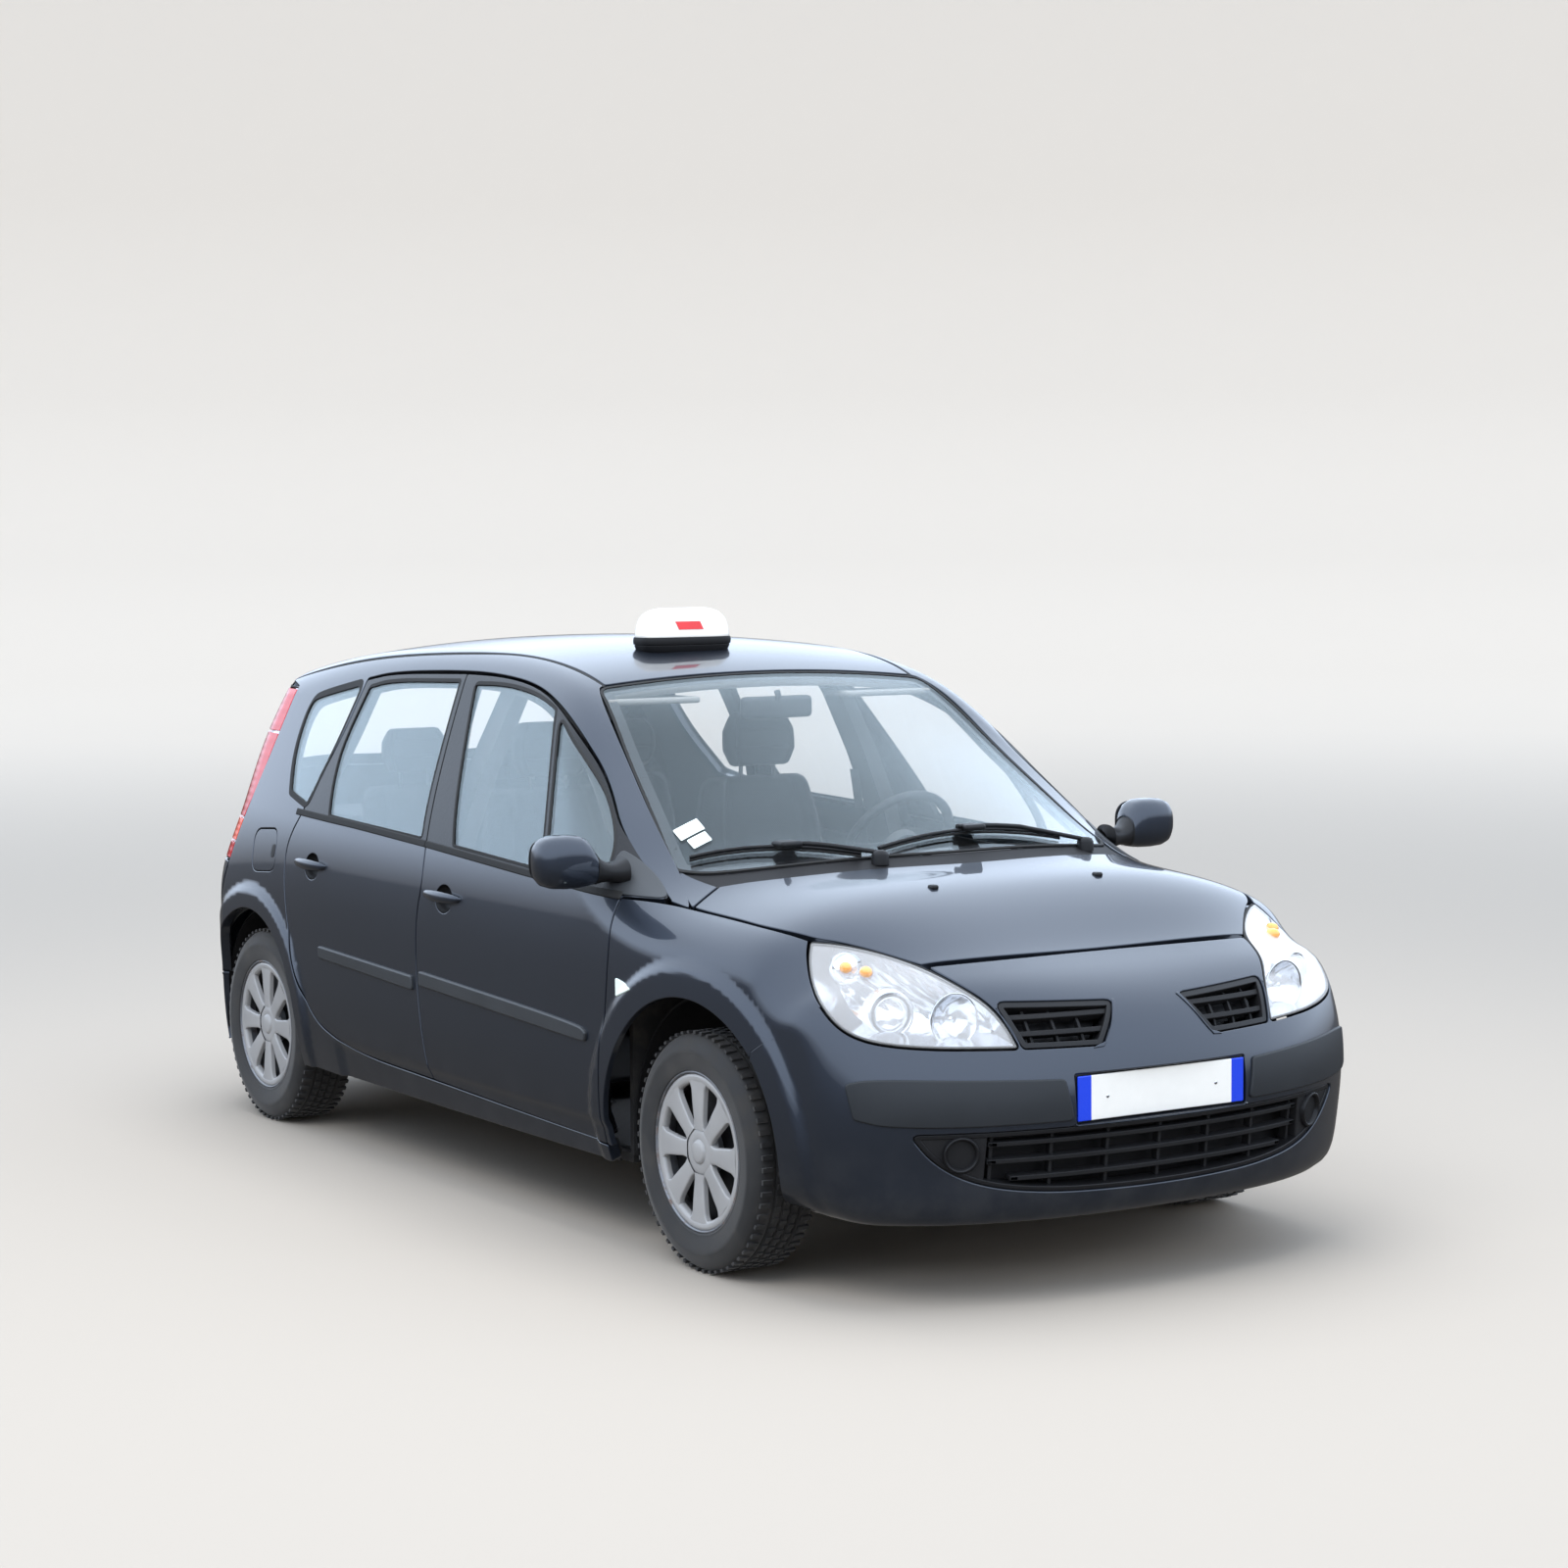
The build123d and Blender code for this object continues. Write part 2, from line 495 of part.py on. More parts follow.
# ---------------------------------------------------------------- build
def main():
    """Build every part and write one STEP file for each node."""
    os.makedirs("parts", exist_ok=True)
    nodes = {}

    outer = skin(0)
    proud = skin(-9)
    inner_glass = skin(GLASS_DEPTH)
    inner_skin = skin(SKIN_DEPTH)
    inner_door = skin(DOOR_DEPTH)
    thick = outer - inner_door
    thin = outer - inner_skin
    glass = skin(GLASS_SKIN) - inner_glass
    rim = proud - inner_skin

    right = block(-2300, 2300, -FAR, -400, 100, 1700)
    thick_right = thick & right
    flange_right = (outer - inner_glass) & right
    box_right = (inner_glass - inner_door) & right
    thin_right = thin & right
    glass_right = glass & right
    rim_right = rim & right

    arch_front = disc_y(ARCH_FRONT[0], -FAR, -430, ARCH_FRONT[1], ARCH_FRONT[2])
    arch_front += block(ARCH_FRONT[0] - ARCH_FRONT[2], ARCH_FRONT[0] + ARCH_FRONT[2], -FAR, -430, 100,
                        ARCH_FRONT[1])
    arch_rear = disc_y(ARCH_REAR[0], -FAR, -430, ARCH_REAR[1], ARCH_REAR[2])
    arch_rear += block(ARCH_REAR[0] - ARCH_REAR[2], ARCH_REAR[0] + ARCH_REAR[2], -FAR, -430, 100, ARCH_REAR[1])

    # Doors with their windows cut, their rubbing strips and handles, and their panes.
    for name, outline, panes, strip, handle_x, handle_z in (
            ("front", FRONT_DOOR, (FRONT_GLASS, QUARTER_PANE), FRONT_STRIP, (-160, 60), 842),
            ("rear", REAR_DOOR, (REAR_GLASS,), REAR_STRIP, (-1068, -850), 862)):
        panel = flange_right & along_y(outline, -FAR, -430)
        inner = box_right & along_y(grow(outline, -DOOR_STEP), -FAR, -430)
        pane_solids = []
        for pane in panes:
            panel -= along_y(pane, -FAR, -430)
            inner -= along_y(grow(pane, 12.0), -FAR, -430)
            pane_solids.append(one(glass_right & along_y(grow(pane, -1.0), -FAR, -430)))
        panel += inner
        if name == "rear":
            panel -= disc_y(ARCH_REAR[0], -FAR, -430, ARCH_REAR[1], ARCH_REAR[2] + GAP)
        panel += rim_right & along_y(strip, -FAR, -430)
        cup_x = sum(handle_x) / 2 + 5
        panel -= disc_y(cup_x, -FAR, -852, handle_z, 46)
        grip = rod((handle_x[0] + 12, -905, handle_z), (handle_x[1] - 12, -905, handle_z), 14)
        for x in handle_x:
            end = x + 14 if x == handle_x[0] else x - 14
            grip += rod((end, -918, handle_z), (end, -862, handle_z), 15)
        panel += grip
        nodes[f"door_{name}_right"] = one(panel)
        nodes[f"door_{name}_left"] = other_side(nodes[f"door_{name}_right"])
        nodes[f"door_glass_{name}_right"] = group(*pane_solids)
        nodes[f"door_glass_{name}_left"] = other_side(nodes[f"door_glass_{name}_right"])

    bonnet_hole = along_z(grow(whole_plan(BONNET), GAP), 700, 1100)

    # Side frames round the doors, with the middle pillars inside them.
    lamp_prism = along_x(TAIL_LAMP, -2300, -1500) & along_y(TAIL_LAMP_SIDE, -FAR, 0)
    lamp_hole = along_x(grow(TAIL_LAMP, 3.0), -2300, -1500) & along_y(grow(TAIL_LAMP_SIDE, 3.0), -FAR, 0)
    gate_hole = along_x(grow(whole_front(TAILGATE), GAP), -2300, -1700)
    side = thick_right & along_y(SIDE_FRAME, -FAR, -430)
    for cutter in (along_y(grow(FRONT_DOOR, DOOR_GAP), -FAR, -430),
                   along_y(grow(REAR_DOOR, DOOR_GAP), -FAR, -430), arch_rear, along_y(REAR_QUARTER, -FAR, -430), gate_hole, lamp_hole,
                   along_z(whole_plan(WINDSCREEN), 930, 1700),
                   along_z(whole_plan(COWL), 900, 1050), bonnet_hole,
                   block(-1760, ROOF_FRONT_X + 8, -ROOF_SEAM_Y - 3, 0, 1300, 1700)):
        side -= cutter
    pillar = along_x([(-806, 237), (-812, 640), (-806, 860), (-768, 1010), (-690, 1200), (-560, 1450),
                      (-520, 1440), (-640, 1190), (-715, 1000), (-752, 860), (-756, 640), (-756, 237)],
                     -250, -150)
    pillar = one(pillar - thick)
    nodes["side_frames"] = group(one(side), other_side(one(side)))
    nodes["middle_pillars"] = group(pillar, other_side(pillar))
    quarter = one(glass_right & along_y(grow(REAR_QUARTER, -1.0), -FAR, -430))
    nodes["quarter_glasses"] = group(quarter, other_side(quarter))

    # Roof, windscreen, cowl and bonnet.
    nodes["roof_panel"] = one(thin & block(ROOF_REAR_X, ROOF_FRONT_X, -ROOF_SEAM_Y, ROOF_SEAM_Y, 1300, 1700))
    nodes["windscreen"] = one(glass & along_z(whole_plan(WINDSCREEN), 960, 1700))
    nodes["cowl"] = one((thin & along_z(whole_plan(COWL), 900, 1100)))
    nodes["bonnet"] = one(thin & along_z(whole_plan(BONNET), 700, 1100))

    # Front wings, bumper, lamps and grilles.
    lamp = along_x(HEADLAMP, 1480, 2300)
    lamp_gap = along_x(grow(HEADLAMP, 3.0), 1480, 2300)
    wing = thin_right & along_y(FRONT_WING, -FAR, -430)
    for cutter in (bonnet_hole, lamp_gap, arch_front, along_z(whole_plan(COWL), 900, 1100)):
        wing -= cutter
    nodes["front_wings"] = group(one(wing), other_side(one(wing)))
    headlamp = one((thick & lamp) - bonnet_hole)
    nodes["headlamps"] = group(headlamp, other_side(headlamp))
    bumper = thin & along_y(FRONT_BUMPER, -FAR, FAR)
    strip_hole = along_x(grow(BUMPER_STRIP, 1.0), 1700, 2300)
    grille_hole = along_x(grow(UPPER_GRILLE, 1.0), 1700, 2300)
    lower_hole = along_x(grow(whole_front(LOWER_GRILLE), 1.0), 1700, 2300)
    recess = plate_recess(PLATE_FRONT_X, 2300, PLATE_FRONT_Z)
    for cutter in (lamp_gap, strip_hole, grille_hole, arch_front):
        bumper -= cutter
        bumper -= other_side(cutter)
    for cutter in (bonnet_hole, lower_hole, recess):
        bumper -= cutter
    nodes["front_bumper"] = one(bumper)
    strip = one(rim & along_x(BUMPER_STRIP, 1700, 2300))
    nodes["bumper_strips"] = group(strip, other_side(strip))

    insert = inner_glass - inner_door
    upper = insert & along_x(UPPER_GRILLE, 1700, 2300)
    cells = along_x(grow(UPPER_GRILLE, -9.0), 1700, 2300)
    for z in (660, 697):
        cells -= block(1700, 2300, -500, 0, z - 6, z + 6)
    upper = one(upper - cells)
    lower = insert & along_x(whole_front(LOWER_GRILLE), 1700, 2300)
    for z0, z1 in ((284, 316), (328, 360), (372, 404), (414, 428)):
        for y0, y1 in ((-484, -330), (-320, -165), (-155, -5), (5, 155), (165, 320), (330, 484)):
            if z0 < 300 and abs(y0 + y1) > 700:
                continue
            lower -= block(1700, 2300, y0, y1, z0, z1)
    for s in (-1, 1):
        lower += (outer - inner_door) & rod((1900, s * FOG_CAP[0], FOG_CAP[1]), (2300, s * FOG_CAP[0], FOG_CAP[1]),
                                            42)
    nodes["grilles"] = group(one(lower), upper, other_side(upper))
    half_w, half_h = PLATE_SIZE[0] / 2, PLATE_SIZE[1] / 2
    nodes["plate_front"] = block(PLATE_FRONT_X, PLATE_FRONT_X + PLATE_DEPTH, -half_w, half_w,
                                 PLATE_FRONT_Z - half_h, PLATE_FRONT_Z + half_h)
    nodes["plate_rear"] = block(PLATE_REAR_X - PLATE_DEPTH, PLATE_REAR_X, -half_w, half_w,
                                PLATE_REAR_Z - half_h, PLATE_REAR_Z + half_h)
    beam = block(1940, TOW_EYE[0], -400, 400, 345, 425)
    nodes["crash_beam"] = beam - rod((1900, TOW_EYE[1], TOW_EYE[2]), (2000, TOW_EYE[1], TOW_EYE[2]), TOW_EYE[3])
    nodes["radiator"] = block(1900, 1940, -330, 330, 230, 690)

    # Tail.
    gate = thin & along_x(whole_front(TAILGATE), -2300, ROOF_REAR_X - GAP)
    gate -= along_x(whole_front(REAR_WINDOW), -2300, -1500)
    gate -= plate_recess(-2300, PLATE_REAR_X, PLATE_REAR_Z)
    nodes["tailgate"] = one(gate)
    nodes["tailgate_glass"] = one(glass & along_x(grow(whole_front(REAR_WINDOW), -1.0), -2300, -1500))
    tail_lamp = one(thick & lamp_prism)
    nodes["tail_lamps"] = group(tail_lamp, other_side(tail_lamp))
    rear = thin & along_y(REAR_BUMPER, -FAR, FAR)
    for cutter in (gate_hole, lamp_hole, other_side(lamp_hole), arch_rear, other_side(arch_rear)):
        rear -= cutter
    nodes["rear_bumper"] = one(rear)

    # Under the body.
    nodes["floor_pan"] = floor_pan()
    nodes["bulkhead"] = bulkhead()
    nodes["arch_liners"] = group(*arch_liners())
    nodes["engine_block"] = block(1350, 1720, -330, 330, 290, 700)
    nodes["fuel_tank"] = block(-980, -560, -540, -60, 170, 322)
    nodes["exhaust"] = exhaust()
    nodes["front_subframe"] = front_subframe()
    nodes["rear_axle"] = rear_axle()
    for side_name, s in (("right", -1), ("left", 1)):
        nodes[f"knuckle_{side_name}"] = knuckle(s)
        for end, x in (("front", AXLE_FRONT_X), ("rear", AXLE_REAR_X)):
            cover, rim_solid = wheel(x, s)
            nodes[f"tyre_{end}_{side_name}"] = tyre(x, s)
            nodes[f"wheel_{end}_{side_name}"] = cover + rim_solid

    # Cabin.
    nodes["front_seats"] = group(front_seat(-370), front_seat(370))
    nodes["rear_bench"] = rear_bench()
    nodes["dashboard"] = dashboard()
    nodes["steering_wheel"] = steering_wheel()

    # Fittings.
    nodes["mirror_right"] = mirror_housing(outer)
    nodes["mirror_left"] = other_side(nodes["mirror_right"])
    nodes["wipers"] = group(wiper([(963, -665, 1042), (1077, -434, 1068), (1206, -253, 1034)]),
                            wiper([(1177, -210, 1048), (1127, 125, 1082), (1120, 480, 1032)]))
    nodes["roof_sign_foot"], nodes["roof_sign_lamp"] = roof_sign(outer)

    for name, shape in nodes.items():
        shape = group(shape)
        export_step(shape, f"parts/{name}.step")
    low = [min(getattr(s.bounding_box().min, axis) for s in nodes.values()) for axis in "XYZ"]
    high = [max(getattr(s.bounding_box().max, axis) for s in nodes.values()) for axis in "XYZ"]
    print("nodes", len(nodes), "box", [round(v, 1) for v in low], [round(v, 1) for v in high])


main()
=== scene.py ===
"""Visible surfaces and finishes of a five-door people carrier fitted out as a taxi.

The outer skin of the body is one smooth form, worked out from a table of side outlines and a table of
half widths. Every panel, lamp cover and pane is an outline laid on that form along rays, with rounded edges,
so the shut lines between neighbours stay even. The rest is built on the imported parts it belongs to.
Lengths are millimetres up to the moment a mesh is made; then they are metres.
"""
import json
import logging
import math
from dataclasses import dataclass, field
from enum import Enum

import bpy
import numpy as np
from mathutils import Matrix, Vector
from mathutils.geometry import delaunay_2d_cdt

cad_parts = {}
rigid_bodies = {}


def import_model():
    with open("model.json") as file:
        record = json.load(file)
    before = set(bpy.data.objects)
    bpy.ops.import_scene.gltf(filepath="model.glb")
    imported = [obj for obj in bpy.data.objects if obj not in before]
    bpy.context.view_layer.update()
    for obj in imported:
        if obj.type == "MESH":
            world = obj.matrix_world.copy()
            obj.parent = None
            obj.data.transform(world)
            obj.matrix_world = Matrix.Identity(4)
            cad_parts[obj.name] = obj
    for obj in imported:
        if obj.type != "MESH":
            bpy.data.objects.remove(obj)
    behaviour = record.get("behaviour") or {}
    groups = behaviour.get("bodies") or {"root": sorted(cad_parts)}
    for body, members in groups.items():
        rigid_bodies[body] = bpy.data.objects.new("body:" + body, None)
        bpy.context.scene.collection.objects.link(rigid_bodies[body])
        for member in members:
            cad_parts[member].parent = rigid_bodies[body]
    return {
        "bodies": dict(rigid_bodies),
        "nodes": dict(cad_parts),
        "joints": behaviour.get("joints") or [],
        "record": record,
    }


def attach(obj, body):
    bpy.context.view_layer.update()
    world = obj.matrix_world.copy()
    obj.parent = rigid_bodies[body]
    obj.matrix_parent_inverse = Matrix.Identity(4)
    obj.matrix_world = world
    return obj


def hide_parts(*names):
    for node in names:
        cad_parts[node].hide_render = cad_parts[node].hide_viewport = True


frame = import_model()

LOG = logging.getLogger("taxi")
MM = 0.001
RIGHT, LEFT = -1, 1

# Side outline of the body's middle from the front lip over the roof to the tail:
# x, z, and how far the point moves in x and z at 400 mm and at 800 mm from the middle.
SIDE_OUTLINE = np.array([
    (1950, 188, -40, 0, -230, 30), (2075, 215, -40, 0, -240, 20), (2108, 330, -42, 0, -240, 5),
    (2120, 500, -42, 0, -240, 0), (2100, 612, -48, 0, -240, 0), (2058, 700, -50, 0, -240, 0),
    (1975, 765, -30, 0, -210, -20), (1828, 823, -10, 0, -130, -60), (1690, 892, 0, -2, -60, -85),
    (1504, 965, 0, -5, 0, -95), (1280, 1000, -40, -8, -180, -90), (990, 1128, -70, -10, -260, -60),
    (640, 1305, -50, -12, -150, -50), (286, 1471, -10, -14, -20, -55), (50, 1528, 0, -16, 0, -62),
    (-310, 1560, 0, -18, 0, -68), (-810, 1558, 0, -20, 0, -75), (-1310, 1525, 0, -22, 15, -80),
    (-1710, 1470, 8, -24, 120, -85), (-1860, 1430, 50, -20, 330, -70), (-1970, 1250, 60, 0, 400, 0),
    (-2066, 1000, 58, 0, 385, 0), (-2102, 800, 48, 0, 300, 0), (-2121.5, 560, 50, 0, 310, 0),
    (-2111.5, 350, 48, 0, 290, 0), (-2085, 190, 48, 0, 280, 0)], float)
# Height, then the half width at the nose, along the doors and at the tail.
HALF_WIDTH = np.array([
    (150, 690, 838, 780), (300, 728, 876, 835), (600, 750, 890, 842), (800, 740, 884, 815),
    (950, 715, 862, 765), (1000, 700, 848, 745), (1200, 640, 765, 655), (1450, 560, 640, 530),
    (1600, 500, 560, 460)], float)
ARCH_FRONT = (1290.0, 312.0, 392.0)
ARCH_REAR = (-1430.0, 312.0, 372.0)
AXLE_X = {"front": 1281.5, "rear": -1403.5}
AXLE_Z = 310.0
WHEEL_Y = 757.0
SIDES = ((RIGHT, "right"), (LEFT, "left"))
# Where the plan view starts to draw in towards the nose and the tail, and over what length.
NOSE_TAPER, TAIL_TAPER = (890, 1300), (-710, 1500)
# Axes that the turned patterns go round, and the radius at which their angles are counted in mm.
NOSE_AXIS, NOSE_RADIUS = 1000.0, 1000.0
TAIL_AXIS, TAIL_RADIUS = -1250.0, 900.0
HATCH_AXIS, HATCH_RADIUS = (-1400.0, 900.0), 700.0
FLANK_AXIS, FLANK_RADIUS = (-250.0, 560.0), 600.0


class Spline:
    """Natural cubic spline through the rows of a table."""

    def __init__(self, knots: np.ndarray, values: np.ndarray) -> None:
        """Solves for the curvature at each knot.

        Args:
            knots: Rising parameter values.
            values: One row of numbers for each knot.
        """
        self.knots, self.values = np.asarray(knots, float), np.asarray(values, float)
        span, count = np.diff(self.knots), len(self.knots)
        matrix, right = np.eye(count), np.zeros_like(self.values)
        for i in range(1, count - 1):
            matrix[i, i - 1:i + 2] = span[i - 1], 2 * (span[i - 1] + span[i]), span[i]
            right[i] = 6 * ((self.values[i + 1] - self.values[i]) / span[i]
                            - (self.values[i] - self.values[i - 1]) / span[i - 1])
        self.bends = np.linalg.solve(matrix, right)

    def _place(self, at: np.ndarray) -> tuple:
        """Segment index, its length and the two weights at each parameter."""
        i = np.clip(np.searchsorted(self.knots, at) - 1, 0, len(self.knots) - 2)
        span = (self.knots[i + 1] - self.knots[i])[:, None]
        b = (at - self.knots[i])[:, None] / span
        return i, span, 1 - b, b

    def value(self, at: np.ndarray) -> np.ndarray:
        """Rows of the table at the given parameters."""
        i, span, a, b = self._place(at)
        return (a * self.values[i] + b * self.values[i + 1]
                + ((a ** 3 - a) * self.bends[i] + (b ** 3 - b) * self.bends[i + 1]) * span ** 2 / 6)

    def slope(self, at: np.ndarray) -> np.ndarray:
        """Change of the rows with the parameter."""
        i, span, a, b = self._place(at)
        return ((self.values[i + 1] - self.values[i]) / span
                + ((3 * b ** 2 - 1) * self.bends[i + 1] - (3 * a ** 2 - 1) * self.bends[i]) * span / 6)


def around(count: int) -> np.ndarray:
    """Angles evenly round a circle."""
    return np.linspace(0, 2 * math.pi, count, endpoint=False)


def ease(value: np.ndarray) -> np.ndarray:
    """Smooth step from 0 to 1 while the value goes from 0 to 1."""
    t = np.clip(value, 0, 1)
    return t * t * (3 - 2 * t)


@dataclass
class BodyForm:
    """The smooth outer form of the body.

    Attributes:
        fillet: Blend between the flanks and the outline over the top, mm.
        lip: How far the wheel-arch lips stand out, mm.
        sill: How far the sills are drawn in, mm.
        station: Distance from the middle of the side outline's first shift, mm.
        batch: Points worked out at a time.
        probe: Step over which the form's slope is measured, mm.
    """

    fillet: float = 78.0
    lip: float = 13.0
    sill: float = 9.0
    station: float = 400.0
    batch: int = 6000
    probe: float = 1.5

    def __post_init__(self) -> None:
        """Prepares the splines and the samples for the first guess."""
        rows = SIDE_OUTLINE
        chord = np.hypot(np.diff(rows[:, 0]), np.diff(rows[:, 1]))
        knots = np.concatenate([[0], np.cumsum(chord)])
        fourth = (rows[:, 4:6] - 4 * rows[:, 2:4]) / 12
        second = rows[:, 2:4] - fourth
        self.outline = Spline(knots, np.hstack([rows[:, :2], second, fourth]))
        self.reach = knots[-1]
        self.samples = np.linspace(0, self.reach, 150)
        self.sampled = self.outline.value(self.samples)
        self.width = Spline(HALF_WIDTH[:, 0], HALF_WIDTH[:, 1:])

    def half_width(self, x: np.ndarray, z: np.ndarray) -> np.ndarray:
        """Half width of the body at each x and z, with the wheel-arch lips."""
        nose, middle, tail = self.width.value(np.clip(z, 140, 1620)).T
        front = np.clip((x - NOSE_TAPER[0]) / NOSE_TAPER[1], 0, None) ** 2
        rear = np.clip((TAIL_TAPER[0] - x) / TAIL_TAPER[1], 0, None) ** 2
        width = middle - (middle - nose) * front - (middle - tail) * rear
        for (cx, cz, radius), band in ((ARCH_FRONT, 74.0), (ARCH_REAR, 58.0)):
            away = np.hypot(x - cx, z - cz) - radius
            width = width + self.lip * ease((band + 31 - away) / 40) * ease((z - 120) / 200)
        return width - self.sill * ease((345 - z) / 35) * ease((900 - np.abs(x - 90)) / 60)

    def over(self, p: np.ndarray) -> np.ndarray:
        """Distance outside the side outline, in its own plane, at each point."""
        result = np.empty(len(p))
        for start in range(0, len(p), self.batch):
            part = p[start:start + self.batch]
            u = (part[:, 1] / self.station) ** 2
            powers = np.stack([np.ones_like(u), u, u * u], 1)
            xs = powers @ self.sampled[:, [0, 2, 4]].T
            zs = powers @ self.sampled[:, [1, 3, 5]].T
            near = np.argmin((xs - part[:, :1]) ** 2 + (zs - part[:, 2:]) ** 2, 1)
            s = self.samples[near]
            for _ in range(4):
                place, rate = self._section(s, powers)
                gap = part[:, [0, 2]] - place
                s = np.clip(s + (gap * rate).sum(1) / (rate * rate).sum(1), 0, self.reach)
            place, rate = self._section(s, powers)
            gap = part[:, [0, 2]] - place
            result[start:start + self.batch] = ((gap[:, 0] * rate[:, 1] - gap[:, 1] * rate[:, 0])
                                                / np.hypot(rate[:, 0], rate[:, 1]))
        return result

    def _section(self, s: np.ndarray, powers: np.ndarray) -> tuple[np.ndarray, np.ndarray]:
        """Point and tangent of the side outline at parameter s in each point's plane."""
        value, slope = self.outline.value(s), self.outline.slope(s)
        place = np.stack([(value[:, 0::2] * powers).sum(1), (value[:, 1::2] * powers).sum(1)], 1)
        rate = np.stack([(slope[:, 0::2] * powers).sum(1), (slope[:, 1::2] * powers).sum(1)], 1)
        return place, rate

    def level(self, p: np.ndarray) -> np.ndarray:
        """Rough signed distance from the skin, negative inside."""
        a = np.abs(p[:, 1]) - self.half_width(p[:, 0], p[:, 2])
        b = self.over(p)
        h = np.clip(self.fillet - np.abs(a - b), 0, None) / self.fillet
        return np.maximum(a, b) + h * h * self.fillet / 4

    def normal(self, p: np.ndarray) -> np.ndarray:
        """Outward unit normal of the level surface through each point."""
        steps = np.eye(3) * self.probe
        grad = np.stack([self.level(p + d) - self.level(p - d) for d in steps], 1)
        return grad / np.linalg.norm(grad, axis=1, keepdims=True)


FORM = BodyForm()


class Rays(Enum):
    """Ways of laying a flat pattern (u, v) on the body form."""

    SIDE = "x and z, seen from the right"
    TOP = "x and y, seen from above"
    NOSE = "turned about an upright axis, seen from the front"
    TAIL = "turned about an upright axis, seen from behind"
    FLANK = "x, turned about a lengthwise axis on the right"
    FRONT = "y and z, seen from the front"
    REAR = "y and z, seen from behind"
    HATCH = "y, turned about a crosswise axis at the back"

    def lines(self, uv: np.ndarray) -> tuple[np.ndarray, np.ndarray, float, float]:
        """Origin and direction of the ray of each pattern point, with the span to search."""
        u, v = uv[:, 0], uv[:, 1]
        zero, one = np.zeros_like(u), np.ones_like(u)
        if self is Rays.SIDE:
            start, along, span = (u, zero, v), (zero, -one, zero), (250, 1100)
        elif self is Rays.TOP:
            start, along, span = (u, v, 600 * one), (zero, zero, one), (0, 1100)
        elif self is Rays.FRONT:
            start, along, span = (1300 * one, u, v), (one, zero, zero), (0, 1000)
        elif self is Rays.REAR:
            start, along, span = (-1300 * one, u, v), (-one, zero, zero), (0, 1000)
        elif self is Rays.NOSE:
            turn = u / NOSE_RADIUS
            start, along, span = (NOSE_AXIS * one, zero, v), (np.cos(turn), np.sin(turn), zero), (300, 1500)
        elif self is Rays.TAIL:
            turn = u / TAIL_RADIUS
            start, along, span = (TAIL_AXIS * one, zero, v), (-np.cos(turn), np.sin(turn), zero), (250, 1300)
        elif self is Rays.HATCH:
            turn = v / HATCH_RADIUS
            start, along = (HATCH_AXIS[0] * one, u, HATCH_AXIS[1] * one), (-np.cos(turn), zero, np.sin(turn))
            span = (200, 1100)
        else:
            turn = v / FLANK_RADIUS
            start, along = (u, FLANK_AXIS[0] * one, FLANK_AXIS[1] * one), (zero, -np.cos(turn), np.sin(turn))
            span = (20, 1300)
        return np.stack(start, 1), np.stack(along, 1), *span

    def pattern(self, p: np.ndarray) -> np.ndarray:
        """Pattern point of each point in space."""
        x, y, z = p.T
        if self is Rays.SIDE:
            u, v = x, z
        elif self is Rays.TOP:
            u, v = x, y
        elif self in (Rays.FRONT, Rays.REAR):
            u, v = y, z
        elif self is Rays.NOSE:
            u, v = np.arctan2(y, x - NOSE_AXIS) * NOSE_RADIUS, z
        elif self is Rays.TAIL:
            u, v = np.arctan2(y, TAIL_AXIS - x) * TAIL_RADIUS, z
        elif self is Rays.HATCH:
            u, v = y, np.arctan2(z - HATCH_AXIS[1], HATCH_AXIS[0] - x) * HATCH_RADIUS
        else:
            u, v = x, np.arctan2(z - FLANK_AXIS[1], FLANK_AXIS[0] - y) * FLANK_RADIUS
        return np.stack([u, v], 1)

    def cast(self, uv: np.ndarray, level: float = 0.0) -> np.ndarray:
        """Points where the rays leave the body form, or a level surface inside it.

        Args:
            uv: Pattern points, one row each.
            level: Depth under the skin, mm.

        Returns:
            One row of x, y, z for each pattern point.
        """
        uv = np.asarray(uv, float)
        origin, along, low, high = self.lines(uv)
        a, b = np.full(len(uv), float(low)), np.full(len(uv), float(high))
        for _ in range(17):
            mid = (a + b) / 2
            outside = FORM.level(origin + along * mid[:, None]) + level > 0
            a, b = np.where(outside, a, mid), np.where(outside, mid, b)
        return origin + along * ((a + b) / 2)[:, None]


